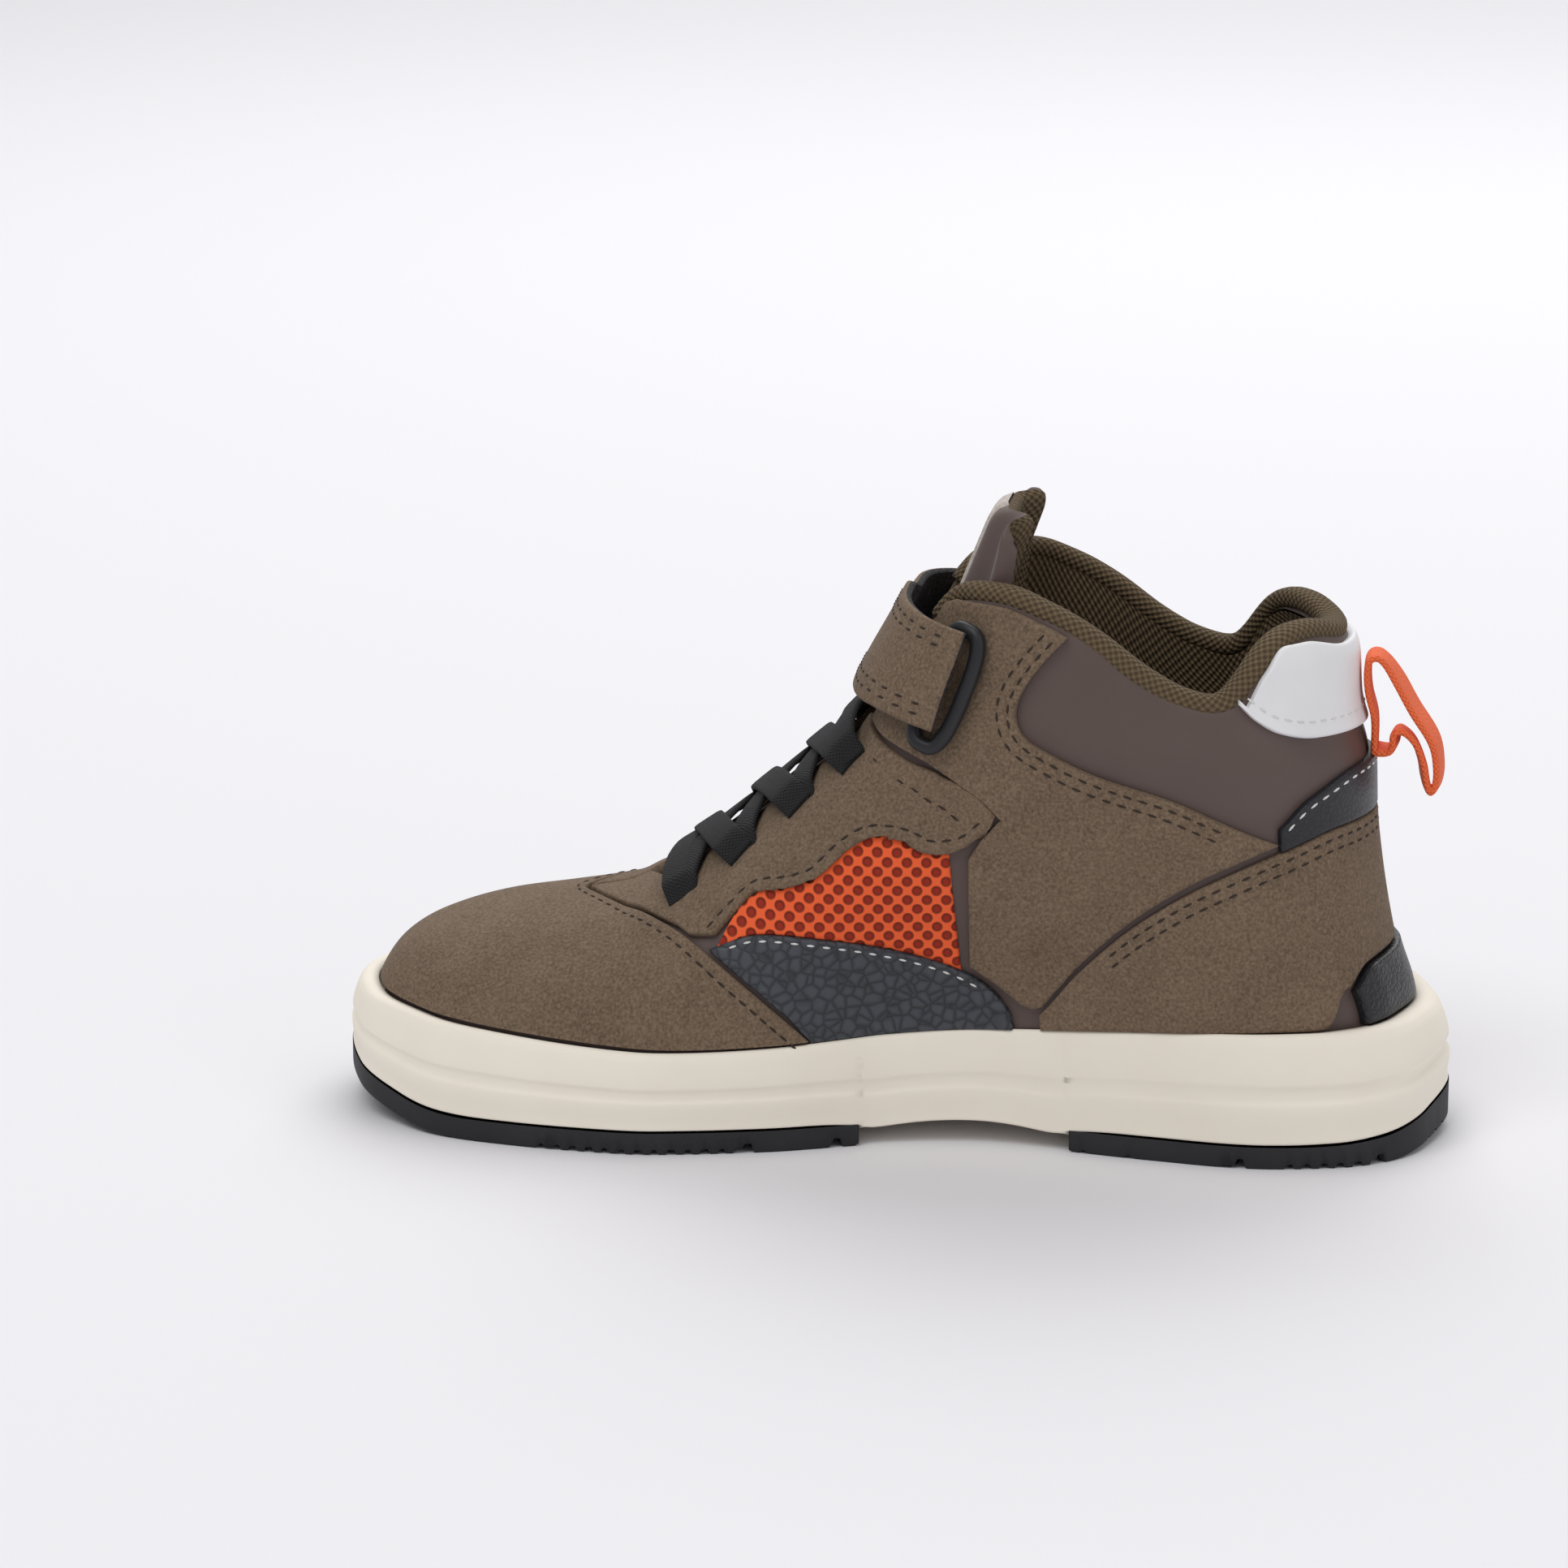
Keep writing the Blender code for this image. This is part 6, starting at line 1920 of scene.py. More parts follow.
    def heel_sheet(
        self,
        name: str,
        reach: float,
        low: Callable[[float], float],
        high: Callable[[float], float],
        finish: str,
        node: str,
        thickness: float = PANEL_THICKNESS,
    ) -> None:
        """One panel round the heel.

        Args:
            name: the piece's name
            reach: distance that it runs to each side
            low: height of its lower edge at a share of the reach
            high: height of its upper edge
            finish: a name of FINISHES
            node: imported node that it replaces
            thickness: of the panel
        """
        ts = 2 * edged(120, 2 * reach) - 1
        vs = edged(36, 0.02)
        lows = np.array([low(abs(t)) for t in ts])
        highs = np.array([high(abs(t)) for t in ts])
        z = lows[None] * (1 - vs[:, None]) + highs[None] * vs[:, None]
        around = np.repeat((ts * reach)[None], len(vs), axis=0)
        panel(name, self.charts.heel, np.stack([around, z], axis=2), finish, node, thickness=thickness)

    def heel(self) -> None:
        """Counter, clip, patch and tab."""
        counter = curve_through(*zip(*COUNTER_TOP))
        clip = curve_through(*zip(*STABILIZER_TOP))
        top = curve_through(*zip(*PATCH_TOP))
        tab = curve_through(*zip(*TAB_LOW))
        place = self.charts.heel

        def x_at(around: float, z: float) -> float:
            """Place along X of a point round the heel."""
            return float(place(np.array([around, z]))[0])

        def rim_beside(around: float) -> float:
            """Height just above the midsole's rim."""
            return float(rim_height(share_of(x_at(around, HEEL_RIM_HEIGHT)))) + EDGE_GAP * 0.5

        def counter_low(t: float) -> float:
            """Lower edge of the counter, over the clip and down to the rim."""
            around = t * COUNTER_REACH
            over = float(clip(min(around / STABILIZER_REACH, 1.0))) * ANKLE_HEIGHT + EDGE_GAP * 0.5
            down = float(smooth(around, STABILIZER_REACH + mm(0.5), STABILIZER_REACH + mm(8)))
            return over + (rim_beside(around) - over) * down

        def counter_high(t: float) -> float:
            """Upper edge of the counter."""
            return max(float(counter(t)) * ANKLE_HEIGHT, counter_low(t) + mm(0.8))

        def patch_low(t: float) -> float:
            """Lower edge of the patch, on the counter's."""
            return float(counter(t * PATCH_REACH / COUNTER_REACH)) * ANKLE_HEIGHT + SEAM_GAP * 0.5

        def patch_high(t: float) -> float:
            """Upper edge of the patch."""
            return max(float(top(t)) * ANKLE_HEIGHT, patch_low(t) + mm(1))

        def tab_high(t: float) -> float:
            """Upper edge of the tab, under the binding."""
            x = x_at(t * TAB_REACH, 0.86 * ANKLE_HEIGHT)
            return max(float(collar_height(x)) - SEAM_GAP, tab_low(t) + mm(1))

        def tab_low(t: float) -> float:
            """Lower edge of the tab."""
            return float(tab(t)) * ANKLE_HEIGHT

        def clip_low(t: float) -> float:
            """Lower edge of the clip, on the midsole."""
            return rim_beside(t * STABILIZER_REACH)

        def clip_high(t: float) -> float:
            """Upper edge of the clip."""
            return float(clip(t)) * ANKLE_HEIGHT

        self.heel_sheet("counter_suede", COUNTER_REACH, counter_low, counter_high, "suede", "heel_counter")
        reach = STABILIZER_REACH - mm(1)
        self.heel_sheet("clip", reach, clip_low, clip_high, "clip", "heel_stabilizer", STABILIZER_THICKNESS)
        self.heel_sheet("patch_leather", PATCH_REACH, patch_low, patch_high, "black", "heel_patch")
        self.heel_sheet("tab_leather", TAB_REACH, tab_low, tab_high, "white", "heel_tab")
        lift = PANEL_GAP + PANEL_THICKNESS
        for side in (-1, 1):
            ts = np.linspace(0.03, 0.97, 60)
            rows = (
                (self.thread, COUNTER_REACH, counter_high, -mm(1.8)),
                (self.thread, COUNTER_REACH, counter_high, -mm(4.0)),
                (self.pale, PATCH_REACH, patch_high, -mm(1.4)),
                (self.pale, TAB_REACH, tab_low, mm(3.2)),
            )
            for thread, reach, edge, shift in rows:
                span = ts[ts < 0.80] if reach == COUNTER_REACH else ts
                line = np.array([(side * t * reach, edge(t) + shift) for t in span])
                thread.run(place, line, lift)


@dataclass
class Fastening:
    """Collar binding, ring, strap, laces and pull loop."""

    charts: Charts
    thread: Stitching
    lace_tuck: float = 0.0012
    strap_round: float = 0.0050
    loop_twist: float = math.radians(6)

    def build(self) -> None:
        """Make every piece."""
        self.binding()
        self.ring()
        self.strap()
        self.laces()
        self.pull_loop()

    def binding(self) -> None:
        """Knitted edge of the collar."""
        bend = x_of(0.80)
        turn = np.sin(np.linspace(0, math.pi / 2, 30))[1:]
        stations = np.concatenate([np.linspace(x_of(0.55), bend, 60), bend + (LAST_HEEL - bend) * turn])
        medial, lateral = (
            np.array([meridian(side, float(x), np.array([1.0]))[0] for x in stations])
            for side in (MEDIAL, LATERAL)
        )
        line = np.vstack([medial, lateral[::-1][1:]])
        for _ in range(6):
            line[1:-1] = (line[:-2] + line[1:-1] * 2 + line[2:]) / 4
        path = along_line(line, np.linspace(0, 1, 220))
        along = unit(np.gradient(path, axis=0))
        out = unit(np.cross(along, [0.0, 0.0, 1.0]))
        centre = np.array([x_of(0.72), 0.0, 0.0])
        out *= np.sign(np.sum(out * (path - centre) * [1, 1, 0], axis=1))[:, None]
        up = np.cross(out, along)
        up *= np.sign(up[:, 2:])
        wall = wall_at(path, path[:, 2])[:, None]
        middle = path - out * wall * 0.5 + up * (BINDING_HEIGHT / 2 - mm(0.6))
        section = oval(BINDING_WIDTH / 2 + mm(0.2), BINDING_HEIGHT / 2 + mm(0.5), 20, 0.85)
        piece = swept("binding_knit", middle, out, up, section)
        dress(piece, "knit", "collar_binding")

    def ring(self) -> None:
        """Oval ring."""
        place = Charts.side(MEDIAL)
        a = np.linspace(0, 2 * math.pi, 97)[:-1]
        long = (RING_LENGTH - RING_TUBE) / 2 * np.sign(np.cos(a)) * np.abs(np.cos(a)) ** 0.75
        wide = (RING_WIDTH - RING_TUBE) / 2 * np.sign(np.sin(a)) * np.abs(np.sin(a)) ** 0.62
        x = x_of(RING_CENTRE[0]) + long * math.cos(RING_TILT) + wide * math.sin(RING_TILT)
        z = RING_CENTRE[1] * ANKLE_HEIGHT + long * math.sin(RING_TILT) - wide * math.cos(RING_TILT)
        lift = OVER_PANELS + RING_TUBE / 2
        path = place(np.stack([x, z], axis=1)) + [0.0, MEDIAL * lift, 0.0]
        along = closed_directions(path)
        out = path - path.mean(axis=0)
        out = unit(out - along * np.sum(out * along, axis=1)[:, None])
        section = oval(RING_TUBE / 2, RING_TUBE / 2, 14, 0.8)
        dress(swept("ring", path, out, np.cross(along, out), section, True), "ring", "strap_ring")

    def strap(self) -> None:
        """Hook and loop strap, suede outside with a fuzzy grey lining."""
        rows = edged(30, STRAP_WIDTH)
        columns = edged(110, 0.09)
        low_z = RING_CENTRE[1] * ANKLE_HEIGHT - STRAP_WIDTH / 2 + mm(2)
        us = np.array([ridge_x(low_z + STRAP_WIDTH * float(t)) for t in rows])
        nears = []
        for u in us:
            line, length = wrap_line(float(u), STRAP_TILT, MEDIAL)
            past = np.array([ring_offset(p[0], p[2]) for p in line])
            nears.append(-float(np.interp(STRAP_OVER_RING, past, length)))
        near = np.array(nears)
        far = STRAP_REACH - self.strap_round * np.abs(2 * rows - 1) ** 3
        around = near[:, None] + (far - near)[:, None] * columns[None]
        grid = np.stack([np.repeat(us[:, None], len(columns), axis=1), around], axis=2)
        points = self.charts.strap(grid)
        normal = grid_normals(points, inner_line)
        over_ring = OVER_PANELS + RING_TUBE + PANEL_GAP * 1.5
        front = 1 - smooth(np.abs(around), mm(10), mm(30))
        lateral = OVER_PANELS + (STRAP_AIR - OVER_PANELS) * front
        base = np.where(around < 0, max(over_ring, STRAP_AIR), lateral)
        rim = from_border(len(rows), len(columns))
        profile = np.array([0.62, 0.82, 0.95, 1.0])[np.minimum(rim, 3)]
        top = points + normal * (base + STRAP_THICKNESS * profile)[..., None]
        sheet("strap_suede", outward_order(top), "suede", "instep_strap")
        under = points + normal * (base + STRAP_THICKNESS * np.where(rim == 0, 0.62, 0.0))[..., None]
        sheet("strap_lining", outward_order(under)[::-1], "hook_lining")
        lift = float(np.median(base[:, :60])) + STRAP_THICKNESS
        for t in (0.10, 0.20, 0.80, 0.90):
            j = int(np.argmin(np.abs(rows - t)))
            line = grid[j, 5:-5]
            medial = line[line[:, 1] < 0]
            self.thread.run(self.charts.strap, medial, lift, pitch=0.0026)

    def lace_strand(self, ends: list[Point], lift: float, dip: float) -> np.ndarray:
        """Frames of one strand.

        Args:
            ends: points on the instep chart
            lift: of its middle line
            dip: how far its ends go down into the slots

        Returns:
            Path, out and side directions, stacked.
        """
        t = np.linspace(0, 1, 60)
        line = along_line(np.array(ends), t)
        place = self.charts.instep
        normal = face_normals(place, line)
        ease = np.minimum(smooth(t, 0.0, 0.10), 1 - smooth(t, 0.90, 1.0))
        path = place(line) + normal * (lift - dip * (1 - ease))[:, None]
        along = unit(np.gradient(path, axis=0))
        side = unit(np.cross(along, normal))
        return np.stack([path, np.cross(side, along), side])

    def laces(self) -> None:
        """Crossed elastic laces that dive into the stays' slots."""
        us = [to_instep(MEDIAL, p)[0] for p in points_of(LACE_SLOTS)]
        reach = LACE_REACH + self.lace_tuck
        lift = OVER_PANELS + LACE_THICKNESS / 2
        dip = PANEL_THICKNESS + LACE_THICKNESS
        runs = [([(us[0], -reach), (us[0], reach)], lift + mm(0.25))]
        for i in range(3):
            runs.append(([(us[i], -reach), (us[i + 1], reach)], lift))
            runs.append(([(us[i], reach), (us[i + 1], -reach)], lift + mm(1.1)))
        runs.append(([(us[3], -reach), (us[3] + mm(1.5), 0.0), (us[3], reach)], lift + mm(1.3)))
        section = oval(LACE_THICKNESS / 2, LACE_WIDTH / 2, 16, 0.45)
        strands = []
        for k, (ends, height) in enumerate(runs):
            path, out, side = self.lace_strand(ends, height, dip)
            strands.append(swept(f"lace_{k}", path, out, side, section))
        dress(joined("laces_woven", strands), "lace", "laces")

    def pull_loop(self) -> None:
        """Woven ribbon loop behind the heel."""
        seat = PANEL_GAP + PANEL_THICKNESS + PANEL_GAP * 1.5 + LOOP_THICKNESS / 2
        top = LOOP_TOP * ANKLE_HEIGHT
        rows = []
        for away, down in LOOP_ROUTE:
            z = top + down * LOOP_HEIGHT
            back = float(heel_back(max(z, top - LOOP_HEIGHT * 0.7))) + seat
            rows.append((back + away * LOOP_HEIGHT, z))
        foot = top - LOOP_HEIGHT * 0.7
        rows[0] = (float(heel_back(foot)) + LOOP_THICKNESS, foot)
        line = rounded(np.array(rows + rows[:1]), 7)[:-1]
        path = np.stack([line[:, 0], np.zeros(len(line)), line[:, 1]], axis=1)
        side = np.repeat([[0.0, 1.0, 0.0]], len(path), axis=0)
        out = np.cross(closed_directions(path), side)
        turn = smooth(path[:, 0] - path[:, 0].min(), mm(2), mm(7))[:, None] * self.loop_twist
        out, side = out * np.cos(turn) - side * np.sin(turn), side * np.cos(turn) + out * np.sin(turn)
        section = oval(LOOP_THICKNESS / 2 + mm(0.15), LOOP_WIDTH / 2, 16, 0.4)
        piece = swept("loop_ribbon", path, out, side, section, True)
        dress(piece, "ribbon", "pull_loop")


def joined(name: str, pieces: list[Piece]) -> Piece:
    """One object of several, which are removed.

    Args:
        name: the new piece's name
        pieces: the objects to join

    Returns:
        The joined object.
    """
    bm = bmesh.new()
    for piece in pieces:
        bm.from_mesh(piece.data)
        bpy.data.objects.remove(piece, do_unlink=True)
    mesh = bpy.data.meshes.new(name)
    bm.to_mesh(mesh)
    bm.free()
    mesh.shade_smooth()
    return linked(name, mesh)


# Tread of the pods, placed in millimetres on a sole of this length. Each row is one groove, and
# its points lie that far from the toe and from the middle line towards the medial side.
TREAD_LENGTH = 225.0
FORE_GROOVES = [
    [
        (5, -10.8), (14, -15.8), (24, -20.7), (35, -24.2), (42, -25.6), (57, -26.8), (77, -25.6),
        (91, -23.5), (103, -20.0), (110, -18.6),
    ],
    [(24, -14.4), (39, -11.5), (63, -10.1), (81, -8.0)],
    [(25, 14.5), (42, 13.1), (63, 11.0), (81, 8.9)],
    [
        (5, 13.1), (15, 19.4), (28, 24.4), (39, 27.2), (46, 29.3), (63, 30.0), (86, 27.9),
        (98, 23.7), (108, 21.5),
    ],
    [(45, -41.1), (40, -28.5), (38, -21.4), (35, -11.5), (35, -0.3), (38, 13.8), (42, 22.3), (48, 40.6)],
    [(25, -31.3), (24, -20.0), (19, -10.1), (19, -0.3), (22, 12.4), (26, 23.7), (28, 33.5)],
    [(90, -39.7), (90, -24.2), (83, -10.1), (81, -0.3), (81, 11.0), (86, 27.9), (88, 42.0)],
    [(110, -31.3), (103, -21.4), (93, -10.1), (93, 3.9), (95, 16.6), (103, 27.9), (105, 34.9)],
]
FORE_FINE = [
    [(14, -25.6), (10, -10.1), (10, -0.3), (12, 12.4), (18, 26.5)],
    [(5, -17.2), (2, -5.9), (2, 1.1), (5, 13.8)],
    [(50, -9.4), (48, -0.3), (50, 12.4)],
    [(66, -9.4), (64, -0.3), (66, 11.0)],
    [(19, -6.6), (9, -3.8), (5, 0.4), (9, 6.8), (19, 8.9)],
    [(83, -3.4), (86, -2.4), (88, -0.3), (86, 1.8), (83, 2.5)],
    [(93, -5.6), (100, -2.4), (101, 0.0), (100, 3.2), (93, 6.1)],
    [(103, 5.4), (110, 5.4)],
    [(87, -13.0), (105, -10.1)],
    [(87, 13.8), (105, 11.0)],
]
HEEL_GROOVES = [
    [(150, -20.7), (166, -13.0), (183, -8.5), (196, -7.6), (211, -9.4), (224, -14.4)],
    [(148, 25.1), (162, 20.1), (176, 18.0), (189, 19.4), (204, 23.7), (215, 29.3)],
    [
        (187, -29.9), (190, -20.0), (194, -8.7), (196, -0.3), (196, 8.2), (191, 19.4), (186, 30.7),
        (184, 39.2),
    ],
]
HEEL_FINE = [
    [(168, -8.0), (179, -3.8), (179, 0.4), (176, 6.8), (166, 13.8)],
    [(160, -8.0), (168, -8.0), (183, -4.5), (187, 1.1), (183, 8.2), (167, 13.8), (156, 11.7)],
    [(225, -8.0), (211, -6.6), (203, -0.3), (210, 11.0), (221, 15.2)],
    [(225, -3.8), (215, -2.4), (210, 2.5), (215, 9.6), (224, 11.7)],
    [(225, 0.4), (220, 1.4), (218, 3.9), (220, 6.8), (225, 7.5)],
    [(153, -28.0), (163, -27.3), (167, -18.6), (158, -20.0), (153, -28.0)],
    [(151, 33.9), (163, 31.4), (169, 22.5), (158, 23.9), (151, 33.9)],
    [(187, -26.1), (179, -14.4), (186, -12.7), (187, -26.1)],
    [(185, 21.1), (178, 22.3), (183, 34.9), (185, 21.1)],
]

# Ribbed fields: first and last place along the sole, then across it.
RIB_FIELDS = [(45, 88, -42, -13), (45, 88, 14, 44), (193, 214, -36, -12), (193, 214, 24, 36)]
RIB_PITCH = 3.3


def plan_distance(points: np.ndarray, rows: list[list[Point]]) -> np.ndarray:
    """Distance in plan from points to the nearest of some grooves.

    Args:
        points: plan points, in millimetres from the toe and towards the medial side
        rows: the grooves

    Returns:
        The distances, in millimetres.
    """
    best = np.full(points.shape[:-1], 1e3)
    for row in rows:
        line = rounded(np.array(row, float), 4)
        for a, b in zip(line[:-1], line[1:]):
            ab = b - a
            t = np.clip(((points - a) @ ab) / (ab @ ab), 0.0, 1.0)
            best = np.minimum(best, np.linalg.norm(points - a - t[..., None] * ab, axis=-1))
    return best


@dataclass
class Sole:
    """Cream cup midsole, two black rubber pods and the footbed."""

    deep: float = 0.0020
    fine: float = 0.0007
    heel_rows: int = 240
    fore_rows: int = 330
    columns: int = 220

    def build(self) -> None:
        """Make every piece."""
        self.midsole()
        gap = POD_EDGE_GAP / SHOE_LENGTH
        self.pod("tread_heel", "outsole_heel", 0.0, HEEL_POD_EDGE - gap, HEEL_GROOVES, HEEL_FINE)
        self.pod("tread_forefoot", "outsole_forefoot", FORE_POD_EDGE + gap, 1.0, FORE_GROOVES, FORE_FINE)
        self.insole()

    def edge_shares(self) -> np.ndarray:
        """Shares of the sole's edge from the heel to the toe."""
        tiny = WELD * 3
        heel = HEEL_POD_EDGE * (1 - np.cos(np.linspace(0, math.pi / 2, 70)))
        arch = np.linspace(HEEL_POD_EDGE + tiny, FORE_POD_EDGE - tiny, 50)
        fore = FORE_POD_EDGE + (1 - FORE_POD_EDGE) * np.sin(np.linspace(0, math.pi / 2, 110))
        return np.concatenate([heel, arch, fore])

    def midsole(self) -> None:
        """Side wall with its steps, rim, cup, well floor and underside."""
        shares = self.edge_shares()
        loop = [(MEDIAL, float(s)) for s in shares] + [(LATERAL, float(s)) for s in shares[::-1][1:]]
        edge = np.array([sole_edge(side, s) for side, s in loop])
        last = np.array([last_edge(side, s) for side, s in loop])
        rim = rim_height(share_of(edge[:, 0]))
        low = np.array([under_height(s, -side, e) for (side, s), e in zip(loop, edge)])
        for _ in range(16):
            low[1:-1] = (low[:-2] + 2 * low[1:-1] + low[2:]) / 4
        span = np.linalg.norm(edge - last, axis=1)
        profile = rounded(SIDE_PROFILE, 5)
        rows = []
        for up, inward in profile:
            plan = edge + (last - edge) * inward
            rows.append(np.column_stack([plan, low + up * (rim - low)]))
        wall = 1.0 - (GAP + PANEL_GAP * 1.2) / np.maximum(span, mm(1))
        for inward, drop in ((0.55, -mm(0.5)), (wall, -mm(0.2)), (wall, mm(0.6)), (wall, CUP_DEPTH)):
            plan = edge + (last - edge) * np.reshape(inward * np.ones(len(edge)), (-1, 1))
            rows.append(np.column_stack([plan, rim - drop]))
        side = grid_object("midsole_wall", outward_order(np.array(rows)))
        half = len(shares)
        across = np.linspace(-1, 1, 41)
        under = []
        floor = []
        for k, share in enumerate(shares):
            near, far = rows[0][k], rows[0][-1 - k]
            line = far[None] + (near - far)[None] * ((across + 1) / 2)[:, None]
            if 0 < k < half - 1:
                line[1:-1, 0] += bulge_at(float(share)) * (1 - across[1:-1] ** 2)
                inner = zip(across[1:-1], line[1:-1])
                line[1:-1, 2] = [under_height(float(share), float(a), p) for a, p in inner]
            under.append(line)
            near, far = rows[-1][k], rows[-1][-1 - k]
            line = far[None] + (near - far)[None] * ((across + 1) / 2)[:, None]
            floor.append(line)
        pieces = [side]
        under = self.badge(np.array(under))
        for name, grid, down in (("midsole_under", under, True), ("midsole_floor", np.array(floor), False)):
            if faces_up(grid) == down:
                grid = grid[::-1]
            pieces.append(grid_object(name, grid))
        whole = joined("midsole_foam", pieces)
        tidy_mesh(whole)
        dress(whole, "foam", "midsole")

    def badge(self, grid: np.ndarray) -> np.ndarray:
        """Sink the outline of a blank rectangle into the arch."""
        centre = np.array([x_of(129.5 / TREAD_LENGTH), 0.0])
        away = np.abs(grid[..., :2] - centre) - np.array([mm(7.2), mm(12.2)])
        outside = np.linalg.norm(np.maximum(away, 0.0), axis=-1) + np.minimum(away.max(axis=-1), 0.0)
        grid[..., 2] += mm(0.4) * np.exp(-(((outside - mm(1)) / mm(0.6)) ** 2))
        return grid

    def pod(self, name: str, node: str, start: float, end: float, deep: list, fine: list) -> None:
        """One rubber pod with its grooves.

        Args:
            name: the piece's name
            node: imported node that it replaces
            start: share of the edge at which it begins
            end: share at which it ends
            deep: its broad grooves
            fine: its fine grooves
        """
        rows = self.fore_rows if end == 1.0 else self.heel_rows
        turn = np.linspace(0, 1, rows) * math.pi / 2
        shares = start + (end - start) * (np.sin(turn) if end == 1.0 else 1 - np.cos(turn))
        across = np.linspace(-1, 1, self.columns)
        lines = []
        for share in shares:
            medial = sole_edge(MEDIAL, float(share))
            lateral = sole_edge(LATERAL, float(share))
            line = lateral[None] + (medial - lateral)[None] * ((across + 1) / 2)[:, None]
            line[:, 0] += bulge_at(float(share)) * (1 - across**2)
            lines.append(line)
        plan = np.array(lines)
        marks = np.stack([share_of(plan[..., 0]) * TREAD_LENGTH, -plan[..., 1] * 1000.0], axis=-1)
        broad = plan_distance(marks, deep)
        thin = plan_distance(marks, fine)
        depth = self.deep * (1 - smooth(broad, 0.75, 1.25))
        depth = np.maximum(depth, self.fine * (1 - smooth(thin, 0.25, 0.55)))
        for x0, x1, m0, m1 in RIB_FIELDS:
            field = smooth(marks[..., 0], x0, x0 + 1) * (1 - smooth(marks[..., 0], x1 - 1, x1))
            field = field * smooth(marks[..., 1], m0, m0 + 1) * (1 - smooth(marks[..., 1], m1 - 1, m1))
            wave = 0.5 + 0.5 * np.cos(marks[..., 0] * 2 * math.pi / RIB_PITCH)
            depth = np.maximum(depth, self.fine * 1.6 * field * smooth(wave, 0.35, 0.75))
        rise = np.where(from_border(rows, self.columns) == 0, mm(0.5), 0.0)
        low = tread_height(plan[..., 0]) + np.maximum(depth, rise)
        face = np.concatenate([plan, low[..., None]], axis=2)
        padded = np.pad(face, ((1, 1), (1, 1), (0, 0)), mode="edge")
        top = np.pad(pod_top(plan[..., 0]), 1, mode="edge")
        border = np.ones(padded.shape[:2], bool)
        border[1:-1, 1:-1] = False
        padded[..., 2] = np.where(border, top, padded[..., 2])
        sheet(name, padded[::-1] if faces_up(face) else padded, "rubber", node)

    def insole(self) -> None:
        """Footbed in the well, soft edged."""
        shares = 0.5 - 0.5 * np.cos(np.linspace(0, math.pi, 90))
        wall = UPPER_WALL + GAP + mm(1.2)
        sides = {}
        for side in (MEDIAL, LATERAL):
            last = np.array([last_edge(side, float(s)) for s in shares])
            centre = np.stack([np.clip(last[:, 0], x_of(0.16), x_of(0.86)), np.zeros(len(last))], axis=1)
            sides[side] = last + unit(centre - last) * wall
        across = np.linspace(0, 1, 40)
        plan = sides[LATERAL][:, None] + (sides[MEDIAL] - sides[LATERAL])[:, None] * across[None, :, None]
        crown = 1 - (2 * across - 1)[None] ** 8
        base = rim_height(share_of(plan[..., 0])) - CUP_DEPTH + PANEL_GAP
        high = base + INSOLE_THICKNESS * (0.75 + 0.25 * crown)
        face = np.concatenate([plan, high[..., None]], axis=2)
        sheet("footbed", face if faces_up(face) else face[::-1], "knit", "insole")


@dataclass(frozen=True)
class Lamp:
    """Soft area light that faces a point, its power in watts."""

    name: str
    place: Triple
    size: float
    power: float
    aim: Triple = (0.0, 0.0, 0.05)

    def build(self) -> None:
        """Add the light."""
        data = bpy.data.lights.new(self.name, "AREA")
        data.size = self.size
        data.energy = self.power
        lamp = linked(self.name, data)
        lamp.location = self.place
        lamp.rotation_euler = (Vector(self.aim) - Vector(self.place)).to_track_quat("-Z", "Y").to_euler()


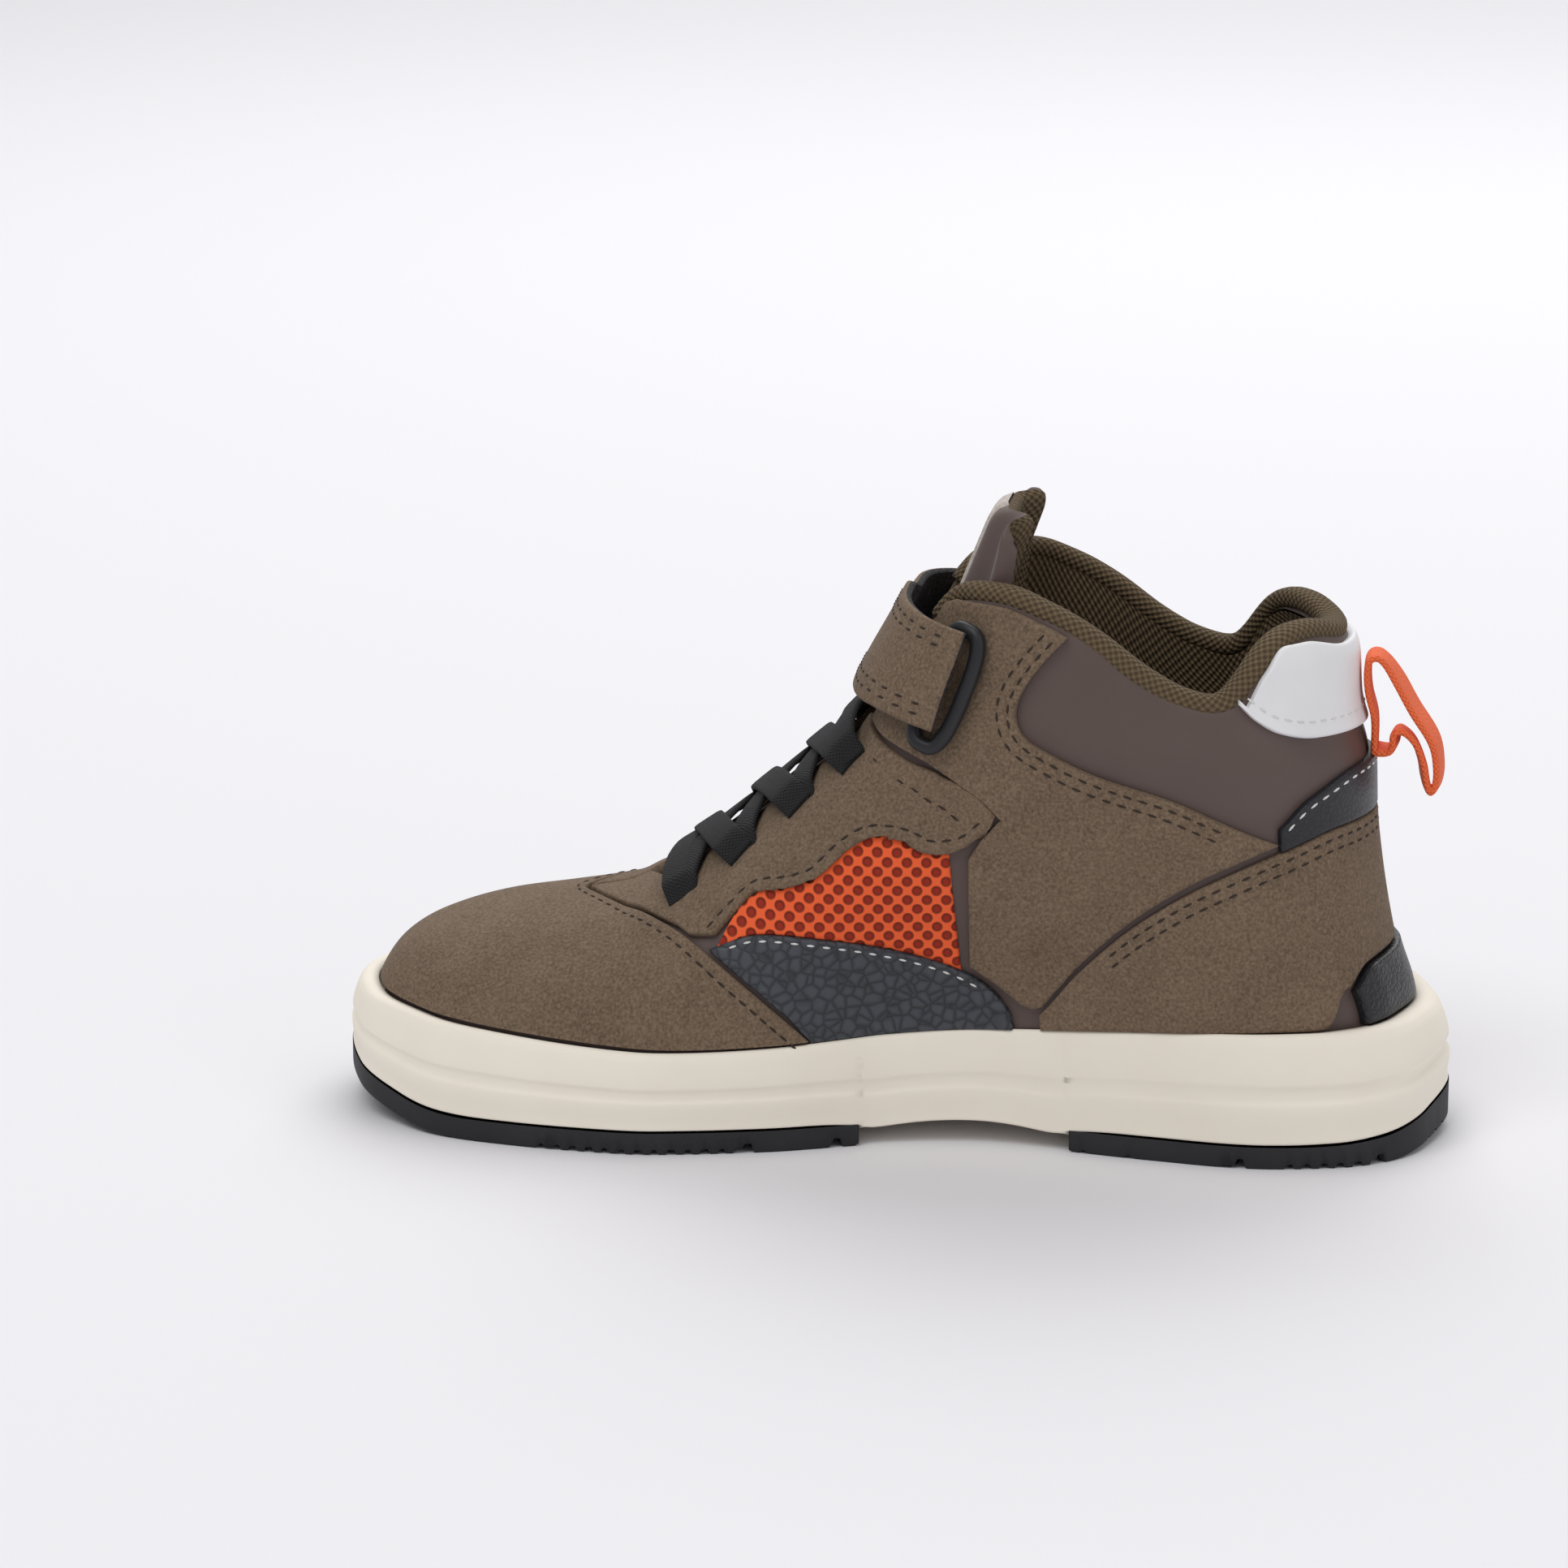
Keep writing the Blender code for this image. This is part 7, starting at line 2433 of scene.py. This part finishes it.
LAMPS = [
    Lamp("key", (-0.6, -1.1, 2.0), 1.3, 17.0),
    Lamp("fill", (1.5, -0.9, 1.0), 1.4, 4.0),
    Lamp("back", (0.2, 1.3, 1.7), 1.8, 15.0),
    Lamp("far", (0.0, 3.2, 2.4), 3.0, 45.0, aim=(0.0, 2.6, 0.0)),
]


@dataclass(frozen=True)
class Studio:
    """Pale floor, soft lights and the camera of the picture."""

    lens: float = 117.28
    sky_strength: float = 0.48
    place: Triple = (0.1172, -0.9987, 0.3085)
    toward: Triple = (-0.13533, 0.96291, -0.23345)

    def build(self) -> None:
        """Set up floor, lights, world and camera."""
        bm = bmesh.new()
        bmesh.ops.create_grid(bm, x_segments=1, y_segments=1, size=6.0)
        mesh = bpy.data.meshes.new("floor")
        bm.to_mesh(mesh)
        bm.free()
        floor = linked("floor", mesh)
        paper = bpy.data.materials.new("paper")
        paper.use_nodes = True
        shader = paper.node_tree.nodes["Principled BSDF"]
        shader.inputs["Base Color"].default_value = (*linear((233, 232, 235)), 1.0)
        shader.inputs["Roughness"].default_value = 0.9
        mesh.materials.append(paper)
        for lamp in LAMPS:
            lamp.build()
        world = bpy.data.worlds.new("studio")
        world.use_nodes = True
        sky = world.node_tree.nodes["Background"]
        sky.inputs["Color"].default_value = (0.93, 0.93, 0.95, 1.0)
        sky.inputs["Strength"].default_value = self.sky_strength
        bpy.context.scene.world = world
        bpy.context.scene.view_settings.view_transform = "Standard"
        self.camera()

    def camera(self) -> None:
        """Camera with the photograph's angle."""
        data = bpy.data.cameras.new("camera")
        data.lens = self.lens
        camera = linked("camera", data)
        camera.location = self.place
        camera.rotation_euler = Vector(self.toward).to_track_quat("-Z", "Y").to_euler()
        bpy.context.scene.camera = camera


def main() -> None:
    """Dress the shoe over its solids and set the scene."""
    logging.basicConfig(level=logging.INFO, format="%(message)s")
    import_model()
    Studio().build()
    charts = Charts()
    thread = Stitching("stitches_dark", "dark_thread")
    pale = Stitching("stitches_pale", "white_thread")
    Upper().build()
    Tongue().build(charts)
    Sole().build()
    Overlays(charts, thread, pale).build()
    Fastening(charts, thread).build()
    thread.build()
    pale.build()


if __name__ == "__main__":
    main()
